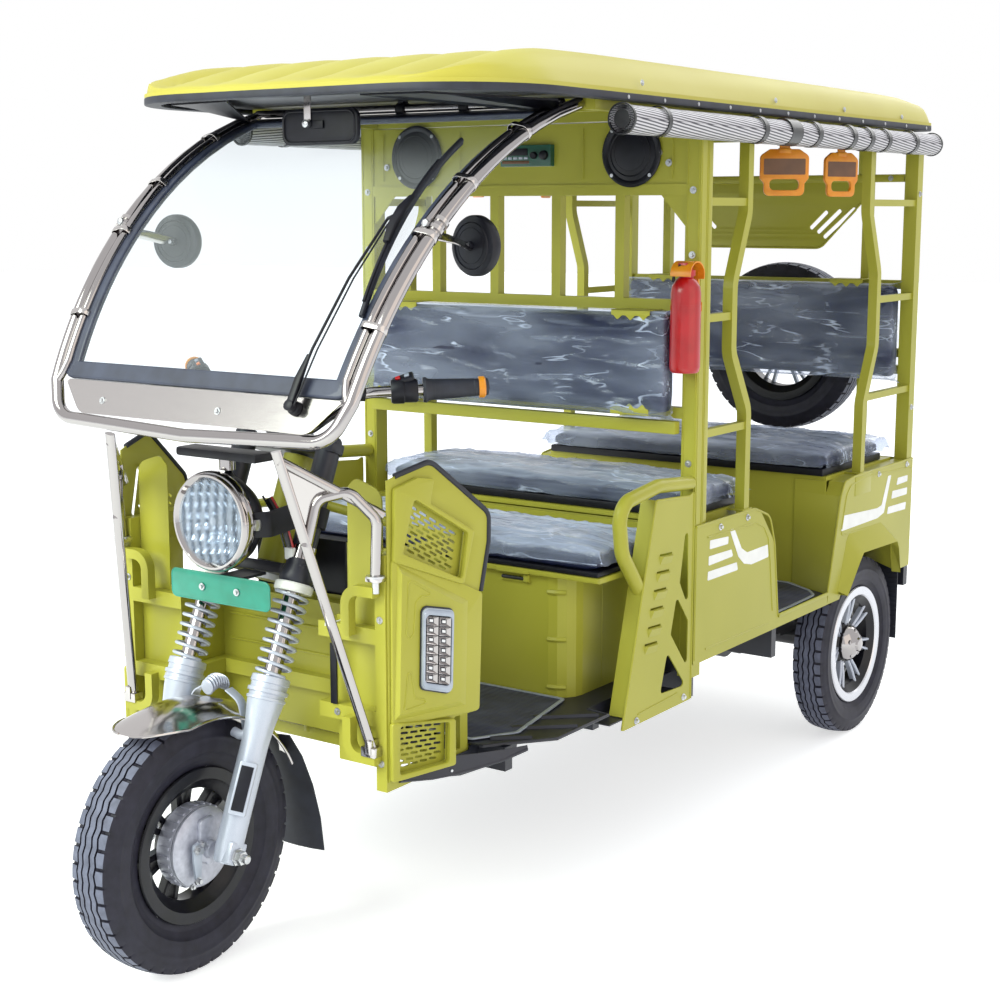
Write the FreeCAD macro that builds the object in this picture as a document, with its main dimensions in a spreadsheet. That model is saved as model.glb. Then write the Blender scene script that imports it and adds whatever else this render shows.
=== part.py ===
import FreeCAD
import Part
import math
import os
import re
from types import SimpleNamespace

from FreeCAD import Placement, Rotation, Vector

# An electric three-wheeled passenger rickshaw. Millimetres.
# Front toward -Y, the vehicle's left side toward +X, Z up, ground at Z = 0.
# Y = 0 is the front face of the posts behind the driver.

SIZES = [
    # Wheels
    ("tyre_radius", 251, "outside radius of a 3.75-12 tyre"),
    ("tyre_width", 96, "width of the tyre at its widest"),
    ("rim_radius", 165, "outside radius of the rim flange"),
    ("rim_width", 78, "rim width over both flanges"),
    ("bead_depth", 14, "height of the rim flange over the bead seat"),
    ("hub_radius", 62, "radius of the brake drum"),
    ("axle_radius", 9, "radius of a wheel spindle"),
    ("front_axle", -1150, "front axle, measured from the posts"),
    ("wheelbase", 2165, "front axle to rear axle"),
    # Steering and fork
    ("rake", 23, "lean of the steering axis in degrees"),
    ("fork_offset", 45, "fork legs ahead of the steering axis"),
    ("fork_half", 112, "fork leg from the centre plane"),
    ("slider_radius", 27, "radius of a fork slider"),
    ("stanchion_radius", 17, "radius of a chromed fork tube"),
    ("spring_radius", 36, "outside radius of a fork spring"),
    ("spring_wire", 7, "wire of a fork spring"),
    ("fork_upper_radius", 24, "radius of the black upper fork tubes"),
    ("slider_top", 345, "top of the slider above the axle, along the fork"),
    ("spring_top", 520, "top of the spring above the axle, along the fork"),
    ("yoke_low", 545, "lower yoke above the axle, along the fork"),
    ("yoke_high", 795, "upper yoke above the axle, along the fork"),
    ("yoke_thick", 22, "thickness of a yoke"),
    ("head_radius", 30, "outside radius of the steering head tube"),
    ("stem_radius", 17, "radius of the steering stem"),
    ("bar_radius", 11, "radius of the handlebar tube"),
    ("bar_half", 395, "half of the handlebar's width"),
    ("bar_rise", 130, "rise of the handlebar over the upper yoke"),
    ("bar_back", 150, "sweep of the grips behind the clamp"),
    ("grip_radius", 17, "radius of a grip"),
    ("grip_length", 125, "length of a grip"),
    # Body
    ("half_body", 485, "outside of the body sides from the centre plane"),
    ("half_track", "=half_body - 65", "middle of a rear tyre from the centre plane"),
    ("sheet", 3, "thickness of the body sheets"),
    ("post", 38, "side of the square post tubes"),
    ("tube", 25, "side of the light square tubes"),
    ("rail_width", 40, "width of a chassis rail"),
    ("rail_bottom", 340, "underside of the chassis rails"),
    ("rail_top", 390, "top of the chassis rails"),
    ("rail_half", 200, "inner face of a chassis rail from the centre plane"),
    ("floor_front", -700, "front end of the driver's floor"),
    ("drive_floor", 397, "top of the driver's floor sheet"),
    ("load_floor", 448, "top of the passenger floor sheet"),
    ("mat", 4, "thickness of the floor mats"),
    ("sill_bottom", 420, "underside of the body sides"),
    ("side_top", 745, "top of the body sides"),
    ("sill_rear", 745, "rear end of the sill, where the rear quarter starts"),
    ("bench_rear", 437, "rear end of the side panel beside the front bench"),
    ("entry_rear", 815, "rear end of the passenger entry"),
    ("body_rear", 1320, "rear end of the body sheets"),
    ("tow_radius", 10, "radius of the hole in the tow plate"),
    ("plate_bolt", 46, "bolt of the number plate from the centre plane"),
    ("plate_hole", 3.25, "radius of a bolt hole in the number plate"),
    # Seats
    ("seat_front", -335, "front face of the driver's seat box"),
    ("seat_half", "=half_body - 125", "side of the driver's seat box from the centre plane"),
    ("seat_top", 668, "top of the driver's seat box"),
    ("seat_corner", 55, "radius of the seat box's upright front corners"),
    ("lid_hinge", -82, "hinge line at the rear edge of the driver's seat lid"),
    ("lid_thick", 12, "thickness of the driver's seat lid"),
    ("cushion_thick", 62, "thickness of the driver's cushion"),
    ("cushion_half", "=half_body - 45", "half of the cushions' width"),
    ("bench_top", 752, "top of the passenger benches under their cushions"),
    ("bench_cushion", 62, "thickness of the passenger cushions"),
    ("bench_back", 290, "face of the front bench toward the passengers"),
    ("soft_gap", 0.3, "gap between a soft part and what it rests on"),
    # Roof
    ("roof_edge", 1690, "lower edge of the roof moulding"),
    ("roof_top", 1792, "top of the roof"),
    ("roof_half", "=half_body + 15", "roof edge from the centre plane"),
    ("roof_front", -845, "front edge of the roof"),
    ("roof_rear", 1345, "rear edge of the roof"),
    ("roof_skin", 5, "thickness of the roof moulding"),
    ("roof_corner", 240, "radius of the roof's front corners, seen from above"),
    ("roof_back_corner", 50, "radius of the roof's rear corners, seen from above"),
    ("post_top", 1655, "top of the posts"),
    # Windscreen
    ("glass", 5, "thickness of the windscreen"),
    ("screen_tube", 13, "radius of the bright windscreen tubes"),
]

doc = FreeCAD.newDocument("rickshaw")
sheet = doc.addObject("Spreadsheet::Sheet", "Sizes")
for row, (alias, value, note) in enumerate(SIZES, start=1):
    sheet.set(f"A{row}", note)
    sheet.set(f"B{row}", str(value))
    sheet.setAlias(f"B{row}", alias)
doc.recompute()
v = SimpleNamespace(**{alias: float(sheet.get(alias)) for alias, _, _ in SIZES})
ALIASES = {alias for alias, _, _ in SIZES}

X_AXIS = Vector(1, 0, 0)
Y_AXIS = Vector(0, 1, 0)
Z_AXIS = Vector(0, 0, 1)
NODES = []


def linked(text):
    """An expression with each alias pointed at the sheet."""
    return re.sub(r"[a-z_]+", lambda m: "Sizes." + m[0] if m[0] in ALIASES else m[0], str(text))


def block(name, x, y, z):
    """A box between the two expressions given for each side."""
    box = doc.addObject("Part::Box", name)
    for side, size, (low, high) in (("x", "Length", x), ("y", "Width", y), ("z", "Height", z)):
        low, high = linked(low), linked(high)
        box.setExpression("Placement.Base." + side, low)
        box.setExpression(size, f"({high}) - ({low})")
    return box


def cylinder(name, base, toward, radius, length):
    """A cylinder from a base point toward a direction, its size given as expressions."""
    rod = doc.addObject("Part::Cylinder", name)
    rod.setExpression("Radius", linked(radius))
    rod.setExpression("Height", linked(length))
    rod.Placement = Placement(Vector(*base), Rotation(Z_AXIS, Vector(*toward)))
    return rod


def cut(name, base, tool):
    """One piece with another taken out of it."""
    result = doc.addObject("Part::Cut", name)
    result.Base = base
    result.Tool = tool
    return result


def sleeve(name, base, toward, outer, inner, length):
    """A hollow cylinder."""
    return cut(name, cylinder(name + "_outer", base, toward, outer, length),
               cylinder(name + "_bore", base, toward, inner, length))


def rounded_path(points, bend):
    """A wire of straight runs joined by tangent arcs."""
    corners = [Vector(*p) for p in points]
    edges = []
    start = corners[0]
    for before, corner, after in zip(corners, corners[1:], corners[2:]):
        into = (corner - before).normalize()
        out = (after - corner).normalize()
        turn = into.getAngle(out)
        if turn < 0.01:
            continue
        reach = bend * math.tan(turn / 2)
        reach = min(reach, 0.45 * (corner - before).Length, 0.45 * (after - corner).Length)
        first, last = corner - into * reach, corner + out * reach
        radius = reach / math.tan(turn / 2)
        centre = corner + (out - into).normalize() * (radius / math.cos(turn / 2))
        middle = centre + (corner - centre).normalize() * radius
        edges.append(Part.LineSegment(start, first).toShape())
        edges.append(Part.Arc(first, middle, last).toShape())
        start = last
    edges.append(Part.LineSegment(start, corners[-1]).toShape())
    return Part.Wire(edges)


def pipe(name, points, radius, bend=40):
    """A round tube swept along bent runs."""
    path = doc.addObject("Part::Feature", name + "_path")
    path.Shape = rounded_path(points, bend)
    ring = doc.addObject("Part::Circle", name + "_ring")
    ring.setExpression("Radius", linked(radius))
    heading = Vector(*points[1]) - Vector(*points[0])
    ring.Placement = Placement(Vector(*points[0]), Rotation(Z_AXIS, heading))
    sweep = doc.addObject("Part::Sweep", name)
    sweep.Sections = [ring]
    sweep.Spine = (path, [f"Edge{i + 1}" for i in range(len(path.Shape.Edges))])
    sweep.Solid = True
    sweep.Frenet = True
    return sweep


def bar(name, points, side, bend=40):
    """A square tube swept along bent runs, its sides square to the frame."""
    path = doc.addObject("Part::Feature", name + "_path")
    path.Shape = rounded_path(points, bend)
    square = doc.addObject("Part::RegularPolygon", name + "_square")
    square.Polygon = 4
    square.Circumradius = side / math.sqrt(2)
    heading = Vector(*points[1]) - Vector(*points[0])
    square.Placement = Placement(Vector(*points[0]), Rotation(Z_AXIS, heading) * Rotation(Z_AXIS, 45))
    sweep = doc.addObject("Part::Sweep", name)
    sweep.Sections = [square]
    sweep.Spine = (path, [f"Edge{i + 1}" for i in range(len(path.Shape.Edges))])
    sweep.Solid = True
    sweep.Frenet = True
    return sweep


def origin_plane(body, role):
    """One of a body's own origin planes."""
    return next(f for f in body.Origin.OriginFeatures if f.Role == role)


def draw(sketch, outline):
    """A closed outline of straight lines, or a circle given as (x, y, radius)."""
    if not isinstance(outline[0], (tuple, list)):
        x, y, radius = outline
        sketch.addGeometry(Part.Circle(Vector(x, y, 0), Z_AXIS, radius), False)
        return
    for start, end in zip(outline, outline[1:] + outline[:1]):
        sketch.addGeometry(Part.LineSegment(Vector(*start, 0), Vector(*end, 0)), False)


def rounded(outline, radius, steps=4):
    """An outline with its corners rounded; radius is one number or one a corner."""
    radii = radius if isinstance(radius, (list, tuple)) else [radius] * len(outline)
    result = []
    for i, (x, y) in enumerate(outline):
        corner = Vector(x, y, 0)
        before = Vector(*outline[i - 1], 0)
        after = Vector(*outline[(i + 1) % len(outline)], 0)
        into = (corner - before).normalize()
        out = (after - corner).normalize()
        turn = into.getAngle(out)
        if radii[i] <= 0 or turn < 0.02:
            result.append((x, y))
            continue
        reach = radii[i] * math.tan(turn / 2)
        centre = corner + (out - into).normalize() * (radii[i] / math.cos(turn / 2))
        first = corner - into * reach - centre
        sign = 1 if into.cross(out).z > 0 else -1
        for k in range(steps + 1):
            spoke = Rotation(Z_AXIS, math.degrees(sign * turn * k / steps)).multVec(first)
            result.append((centre.x + spoke.x, centre.y + spoke.y))
    return result


def panel(name, plane, outline, offset, thick, holes=()):
    """A sheet cut to an outline on a plane, offset along its normal and padded."""
    body = doc.addObject("PartDesign::Body", name)
    sketch = body.newObject("Sketcher::SketchObject", name + "_outline")
    sketch.AttachmentSupport = [(origin_plane(body, plane + "_Plane"), "")]
    sketch.MapMode = "FlatFace"
    sign = -1 if plane == "XZ" else 1
    sketch.AttachmentOffset = Placement(Vector(0, 0, sign * offset), Rotation())
    draw(sketch, outline)
    for hole in holes:
        draw(sketch, hole)
    pad = body.newObject("PartDesign::Pad", name + "_pad")
    pad.Profile = sketch
    pad.setExpression("Length", linked(thick))
    pad.Reversed = plane == "XZ"
    return body


def turned(name, profile, place, angle=360):
    """A body turned round its own X axis from a profile of (along, out) points."""
    body = doc.addObject("PartDesign::Body", name)
    sketch = body.newObject("Sketcher::SketchObject", name + "_profile")
    sketch.AttachmentSupport = [(origin_plane(body, "XY_Plane"), "")]
    sketch.MapMode = "FlatFace"
    draw(sketch, profile)
    spin = body.newObject("PartDesign::Revolution", name + "_turn")
    spin.Profile = sketch
    spin.ReferenceAxis = (sketch, ["H_Axis"])
    spin.Angle = angle
    body.Placement = place
    return body


def mirrored(piece):
    """The same piece on the other side of the centre plane."""
    twin = doc.addObject("Part::Mirroring", piece.Name + "_right")
    twin.Source = piece
    twin.Normal = X_AXIS
    return twin


def joined(name, pieces):
    """Several pieces as one object."""
    if len(pieces) == 1:
        return pieces[0]
    union = doc.addObject("Part::MultiFuse", name)
    union.Shapes = pieces
    union.Refine = False
    return union


def node(label, pieces, both=False):
    """A sub-part of the finished object, with its own label."""
    whole = joined(label + "_all", pieces)
    if both:
        pair = doc.addObject("Part::Compound", label + "_pair")
        pair.Links = [whole, mirrored(whole)]
        whole = pair
    whole.Label = label
    NODES.append(whole)
    return whole


# Steering frame: along the fork, and forward of it
RAKE = math.radians(v.rake)
UP_FORK = Vector(0, math.sin(RAKE), math.cos(RAKE))
AHEAD = Vector(0, -math.cos(RAKE), math.sin(RAKE))
AXLE = Vector(0, v.front_axle, v.tyre_radius)
REAR_AXLE_Y = v.front_axle + v.wheelbase


def fork_point(x, along, ahead=0.0):
    """A point given across, along the fork above the axle, and ahead of its legs."""
    return Vector(x, 0, 0) + AXLE + UP_FORK * along + AHEAD * ahead


def fork_block(name, x, along, ahead):
    """A box squared to the fork, between two values each way."""
    box = doc.addObject("Part::Box", name)
    box.Length, box.Height, box.Width = x[1] - x[0], along[1] - along[0], ahead[1] - ahead[0]
    box.Placement = Placement(fork_point(x[0], along[0], ahead[1]), Rotation(X_AXIS, -v.rake))
    return box


def wheel(label_tyre, label_rim, centre, facing):
    """A tyre and the barrel of its rim, turned about the axle and facing a direction."""
    place = Placement(centre, Rotation(Z_AXIS, facing))
    half, seat = v.tyre_width / 2, v.rim_radius - v.bead_depth
    shoulder = v.tyre_radius - 16
    tyre = [
        (-v.rim_width / 2 + 6, seat), (-v.rim_width / 2 + 6, v.rim_radius + 2), (-half, v.rim_radius + 30),
        (-half, shoulder - 14), (-half + 9, shoulder + 6), (-half + 22, v.tyre_radius - 3),
        (0, v.tyre_radius),
        (half - 22, v.tyre_radius - 3), (half - 9, shoulder + 6), (half, shoulder - 14),
        (half, v.rim_radius + 30), (v.rim_width / 2 - 6, v.rim_radius + 2), (v.rim_width / 2 - 6, seat),
        (v.rim_width / 2 - 22, seat + 8), (v.rim_width / 2 - 26, shoulder - 22),
        (-v.rim_width / 2 + 26, shoulder - 22),
        (-v.rim_width / 2 + 22, seat + 8),
    ]
    node(label_tyre, [turned(label_tyre + "_carcass", tyre, place)])
    edge = v.rim_width / 2
    barrel = [
        (-edge, v.rim_radius), (-edge + 6, v.rim_radius), (-edge + 6, seat), (-edge + 22, seat),
        (-14, seat - 22),
        (14, seat - 22), (edge - 22, seat), (edge - 6, seat), (edge - 6, v.rim_radius), (edge, v.rim_radius),
        (edge, seat - 8), (edge - 20, seat - 9), (16, seat - 31), (-16, seat - 31), (-edge + 20, seat - 9),
        (-edge, seat - 8),
    ]
    return place, turned(label_rim + "_barrel", barrel, place), seat


def spokes(label, place, seat, count, width, thick, inner, out):
    """Straight spokes from the hub to the barrel."""
    arms = []
    for i in range(count):
        arm = doc.addObject("Part::Box", f"{label}_spoke{i}")
        arm.Length, arm.Width, arm.Height = thick, width, seat - 27 - inner
        turn = Rotation(X_AXIS, 360.0 * i / count)
        local = Placement(turn.multVec(Vector(out, -width / 2, inner)), turn)
        arm.Placement = place.multiply(local)
        arms.append(arm)
    return arms


def front_wheel():
    """Front tyre and the rim with its ribbed brake drum."""
    place, barrel, seat = wheel("front_tyre", "front_rim", AXLE, 0)
    arms = spokes("front", place, seat, 14, 13, 20, v.hub_radius - 8, -10)
    drum = turned("front_drum", [(-34, v.axle_radius), (-34, 40), (-20, v.hub_radius),
                                 (34, v.hub_radius + 18),
                                 (34, v.hub_radius - 2), (38, 20), (38, v.axle_radius)], place)
    node("front_rim", [barrel, drum] + arms)


def rear_wheel(side, outward):
    """Rear tyre and the rim with its spokes and hub cap."""
    centre = Vector(outward * v.half_track, REAR_AXLE_Y, v.tyre_radius)
    tyre, rim = f"rear_tyre_{side}", f"rear_rim_{side}"
    place, barrel, seat = wheel(tyre, rim, centre, 0 if outward > 0 else 180)
    arms = spokes(rim, place, seat, 12, 16, 14, 48, 6)
    hub = turned(rim + "_hub", [(-30, v.axle_radius), (-30, 56), (6, 60), (24, 56), (34, 40), (40, 24),
                                (52, 20), (52, 0), (44, 0), (44, v.axle_radius)], place)
    node(rim, [barrel, hub] + arms)


def chassis():
    """Rails, cross members, floors, mats, axle and what hangs under the body."""
    rails = [block("rail_left", ("rail_half", "rail_half + rail_width"),
                   ("floor_front + 30", "body_rear - 30"),
                   ("rail_bottom", "rail_top"))]
    rails.append(mirrored(rails[0]))
    floor_half, wide, narrow = "half_body - 60 - sheet", "half_body - 12", "half_track - 60"
    for i, (y, reach) in enumerate((("floor_front + 30", floor_half), ("seat_front", floor_half), ("0", wide),
                                    ("bench_rear", wide), ("entry_rear", narrow))):
        rails.append(block(f"cross{i}", (f"-({reach})", reach), (y, f"{y} + tube"),
                           ("rail_bottom", "rail_top")))
    rails.append(block("cross_rear", ("-rail_half - rail_width", "rail_half + rail_width"),
                       ("body_rear - 30 - tube", "body_rear - 30"), ("rail_bottom", "rail_top")))
    apron = panel("apron", "YZ", [(-925, 382), (-820, 356), (-731, 336), (-639, 329), (-567, 325),
                                  (-532, 338), (-515, 390), (-700, 390), (-700, 382)], 352, "sheet")
    rails += [apron, mirrored(apron)]
    for i, (y, reach) in enumerate((("0", "half_body - sheet - post"), ("bench_rear", wide),
                                    ("entry_rear", narrow))):
        rails.append(block(f"riser{i}", (f"-({reach})", reach), (y, f"{y} + tube"),
                           ("rail_top", "load_floor - sheet")))
    node("chassis_frame", rails)

    step_in = v.half_body - 60
    left = [(387, v.floor_front), (v.half_body, v.floor_front + 125), (v.half_body, v.seat_front - 40),
            (step_in, v.seat_front - 30), (step_in, -v.sheet)]
    drive = panel("drive_floor_sheet", "XY", left + [(-x, y) for x, y in reversed(left)],
                  v.drive_floor - v.sheet,
                  "sheet")
    riser = block("floor_riser", ("-half_body + 60", "half_body - 60"), ("-sheet", "0"),
                  ("drive_floor - sheet", "load_floor"))
    load = block("load_floor_sheet", ("-half_body + sheet", "half_body - sheet"), ("post", "entry_rear"),
                 ("load_floor - sheet", "load_floor"))
    strip = block("load_floor_strip", ("-half_body + sheet + post", "half_body - sheet - post"),
                  ("0", "post"),
                  ("load_floor - sheet", "load_floor"))
    step = block("side_step", ("half_body - 60", "half_body - sheet"), ("seat_front - 30", "-post"),
                 ("drive_floor - 30", "drive_floor - 30 + sheet"))
    step_riser = block("step_riser", ("half_body - 60 - sheet", "half_body - 60"),
                       ("seat_front - 30", "-post"),
                       ("drive_floor - 30", "drive_floor"))
    node("floor_pan", [drive, riser, load, strip, step, mirrored(step), step_riser, mirrored(step_riser)])

    front_mat = block("front_mat", ("-seat_half", "seat_half"), ("floor_front + 10", "seat_front - 10"),
                      ("drive_floor", "drive_floor + mat"))
    reach = v.half_body - 15
    right = [(reach, v.bench_back + 10), (reach, v.sill_rear - 8), (v.seat_half - 15, v.entry_rear - 12)]
    rear_mat = panel("rear_mat", "XY", right + [(-x, y) for x, y in reversed(right)], v.load_floor, "mat")
    node("floor_mats", [front_mat, rear_mat])


def rear_axle():
    """Axle tube with differential and motor, carried by two leaf springs."""
    centre_z = v.tyre_radius
    reach = v.half_track - 52
    tube = cylinder("axle_tube", (-reach, REAR_AXLE_Y, centre_z), (1, 0, 0), 28, 2 * reach)
    case = turned("differential", [(-70, 0), (-70, 45), (-45, 80), (45, 80), (70, 45), (70, 0)],
                  Placement(Vector(60, REAR_AXLE_Y, centre_z), Rotation()))
    motor = cylinder("motor", (110, REAR_AXLE_Y - 110, centre_z + 10), (-1, 0, 0), 75, 190)
    gearbox = block("gearbox", (5, 95), (REAR_AXLE_Y - 130, REAR_AXLE_Y), (centre_z - 50, centre_z + 60))
    node("rear_axle", [tube, case, motor, gearbox])
    for side in (1, -1):
        spindle = cylinder(f"spindle{side}", (side * reach, REAR_AXLE_Y, centre_z), (side, 0, 0), 8.7, 40)
        NODES[-1].Shapes = NODES[-1].Shapes + [spindle]

    leaf = []
    for i, half_length in enumerate((400, 320, 240, 160)):
        top = v.rail_bottom - 20 - 9 * i
        leaf.append(block(f"leaf{i}", ("rail_half + 50", "rail_half + 100"),
                          (REAR_AXLE_Y - half_length, REAR_AXLE_Y + min(half_length, 260)), (top - 9, top)))
    seat = block("spring_seat", ("rail_half + 45", "rail_half + 105"), (REAR_AXLE_Y - 45, REAR_AXLE_Y + 45),
                 (v.tyre_radius + 28, v.rail_bottom - 56))
    hanger = []
    for i, y in enumerate((REAR_AXLE_Y - 395, REAR_AXLE_Y + 235)):
        hanger.append(block(f"hanger{i}", ("rail_half + rail_width", "rail_half + 100"), (y, y + 25),
                            ("rail_bottom - 25", "rail_bottom + 30")))
    node("leaf_springs", leaf + [seat] + hanger, both=True)


def front_frame():
    """Steering head, its down tubes, and the rails that carry the front sheets."""
    low = fork_point(0, v.yoke_low + v.yoke_thick + 3, -v.fork_offset)
    high = fork_point(0, v.yoke_high - 3, -v.fork_offset)
    head = sleeve("head_tube", low, UP_FORK, "head_radius", "stem_radius + 1", (high - low).Length)
    neck = fork_block("head_neck", (-20, 20), (v.yoke_low + v.yoke_thick + 13, v.yoke_high - 13),
                      (-v.fork_offset - 78, -v.fork_offset - 22))
    foot_cross = block("foot_cross", (-325, 325), (-790, -765), (365, 390))
    down = pipe("down_tube", [tuple(fork_point(0, v.yoke_low + 90, -v.fork_offset - 50)), (0, -776, 665),
                              (0, -776, 380)], "16", 60)
    stay = pipe("top_stay", [tuple(fork_point(5, v.yoke_high - 80, -v.fork_offset - 50)),
                             (337, v.floor_front - 13, 810)], "10", 60)
    post = block("cowl_post", (325, 350), (-960, -935), (365, 800))
    foot = block("cowl_foot", (325, 350), (-935, "floor_front + 30"), (365, 390))
    back = block("cowl_back_post", (325, 350), ("floor_front - tube", "floor_front"), (390, 825))
    top = block("cowl_top_side", (325, 350), (-960, "floor_front - tube"), (800, 825))
    parts = [head, neck, foot_cross, down]
    pieces = [stay, post, foot, back, top]
    for tag, z in (("high", 650), ("low", 490)):
        pieces.append(block(f"cowl_rail_{tag}", (185, 325), (-960, -935), (z, z + 30)))
        pieces.append(block(f"cowl_return_{tag}", (185, 210), (-935, -810), (z, z + 30)))
        parts.append(block(f"cowl_cross_{tag}", (-185, 185), (-835, -810), (z, z + 30)))
    for tag, end, bend_z in (("high", 664, 755), ("low", 505, 430)):
        pieces.append(bar(f"cowl_loop_{tag}", [(268, -970, end), (268, -970, bend_z),
                                               (336, -970, bend_z)], 20, 30))
    for piece in pieces:
        parts += [piece, mirrored(piece)]
    node("front_frame", parts)


def cowl():
    """Front sheet, the two wings with their grilles and their lamps."""
    outline = rounded([(214, 400), (324, 400), (324, 800), (324, 940), (260, 960), (240, 940), (240, 690),
                       (214, 690)],
                      [0, 0, 0, 30, 20, 10, 0, 0])
    side = panel("cowl_sheet", "XZ", outline, -934, "sheet")
    cheek = block("cowl_cheek", (211, 214), (-934, -810), (400, 690))
    centre = block("cowl_centre", (-214, 214), (-810, -807), (400, 690))
    node("front_cowl", [side, mirrored(side), cheek, mirrored(cheek), centre])

    wing_outline = rounded([(0, 384), (160, 384), (160, 480), (232, 486), (226, 726), (246, 862), (160, 940),
                            (105, 988), (56, 910), (20, 815), (0, 815)],
                           [0, 12, 0, 10, 0, 12, 12, 16, 6, 0, 0])
    slots = []
    for i in range(8):
        z = 400 + 10 * i
        for k in range(3):
            x = 22 + 42 * k + (i % 2) * 10
            slots.append([(x, z), (x + 30, z), (x + 30, z + 4), (x, z + 4)])
    for i in range(10):
        z = 770 + 13 * i
        for k in range(3):
            x = 62 + 40 * k + (i % 2) * 12
            slots.append([(x, z), (x + 26, z), (x + 26, z + 5), (x, z + 5)])
    wing = panel("wing_sheet", "YZ", wing_outline, 0, "sheet", slots)
    bulge = panel("wing_lamp_panel", "YZ", rounded([(8, 506), (210, 500), (216, 700), (60, 752),
                                                    (14, 700)], 12), 3, "16")
    place = Placement(Vector(350, -955, 0), Rotation(Z_AXIS, -14))
    wing.Placement = place
    bulge.Placement = place
    node("cowl_wings", [wing, bulge], both=True)
    lamp = panel("lamp_body", "YZ", rounded([(64, 550), (140, 536), (142, 692), (64, 716)], 12), 19.3, "14")
    lamp.Placement = place
    node("corner_lamps", [lamp], both=True)


SCREEN = [Vector(0, -1090, 1105), Vector(0, -868, 1420), Vector(0, -409, 1666)]
SCREEN_CURVE = Part.Arc(*SCREEN).toShape().Curve
SCREEN_TOP = 1664
SCREEN_CIRCLE = SCREEN_CURVE.Center, SCREEN_CURVE.Radius


def screen_point(x, z, out=0.0):
    """A point at a height on the windscreen's curve, or a distance out from it."""
    centre, radius = SCREEN_CIRCLE
    spoke = Vector(0, -math.sqrt(radius ** 2 - (z - centre.z) ** 2), z - centre.z)
    return centre + spoke * (1 + out / radius) + Vector(x, 0, 0)


def screen_slab(name, out_low, out_high):
    """A part cylinder that follows the windscreen's curve."""
    centre, radius = SCREEN_CIRCLE
    rings = []
    for tag, out in (("outer", out_high), ("inner", out_low)):
        ring = doc.addObject("Part::Cylinder", f"{name}_{tag}")
        ring.Radius = radius + out
        ring.Height = 1000
        ring.Placement = Placement(Vector(-500, centre.y, centre.z), Rotation(Z_AXIS, X_AXIS))
        rings.append(ring)
    return cut(name + "_slab", *rings)


def common(name, base, tool):
    """What two pieces share."""
    result = doc.addObject("Part::Common", name)
    result.Base = base
    result.Tool = tool
    return result


def screen_outline(inset):
    """The windscreen's outline from the front, set in by a distance."""
    low, high = 1125 + inset, 1666 - inset
    return [(-367 + inset, low), (367 - inset, low), (412 - inset, high), (-412 + inset, high)]


def windscreen():
    """Glass in its rubber, the bright tubes round it and the panel below it."""
    glass_outline = rounded(screen_outline(24), [30, 30, 8, 8])
    outer = rounded(screen_outline(0), [52, 52, 8, 8])
    glass = common("glass", screen_slab("glass", -v.glass / 2, v.glass / 2),
                   panel("glass_prism", "XZ", glass_outline, -1200, "850"))
    node("windscreen_glass", [glass])
    seal = common("seal", screen_slab("seal", -7, 7),
                  panel("seal_prism", "XZ", outer, -1200, "850", [glass_outline]))
    node("windscreen_seal", [seal])
    lower = common("lower_panel", screen_slab("lower", -1, 2),
                   panel("lower_prism", "XZ", rounded([(-298, 1062.5), (298, 1062.5), (361, 1124.7),
                                                       (-361, 1124.7)],
                                                      [40, 40, 4, 4]), -1200, "850"))
    node("windscreen_panel", [lower])
    side = [tuple(screen_point(430 - 0.083 * (1690 - z), z, 4)) for z in
            (SCREEN_TOP, 1580, 1500, 1410, 1310, 1210, 1120)]
    bottom_z = 1040
    corner = [tuple(screen_point(352, 1052, 2))]
    across = [tuple(screen_point(0, bottom_z, 0))]
    half = side + corner + across
    whole = half + [(-x, y, z) for x, y, z in reversed(half[:-1])]
    loop = pipe("screen_loop", whole, "screen_tube", 70)
    bridge_at = screen_point(-424, 1632, 19)
    bridge = cylinder("screen_bridge", tuple(bridge_at), (1, 0, 0), "11", "848")
    node("windscreen_tubes", [loop, bridge])


def crash_guards():
    """The bright struts and bars each side of the headlamp."""
    top, foot = Vector(217, -1104, 1026), Vector(323, -972, 450)
    strut = pipe("guard_strut", [tuple(top), tuple(foot)], "9", 20)
    upper = pipe("guard_upper", [tuple(top + (foot - top) * 0.05), (345, -956, 900)], "8", 20)
    loop = pipe("guard_loop", [tuple(top + (foot - top) * 0.31), (262, -1046, 935), (305, -1005, 948),
                               (345, -975, 895), (338, -972, 785)], "10", 28)
    bracket = block("guard_foot", (305, 340), (-985, -960), (440, 465))
    upper_bracket = block("guard_cup", (320, 352), (-985, -960), (765, 785))
    node("crash_guards", [strut, upper, loop, bracket, upper_bracket], both=True)


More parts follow.
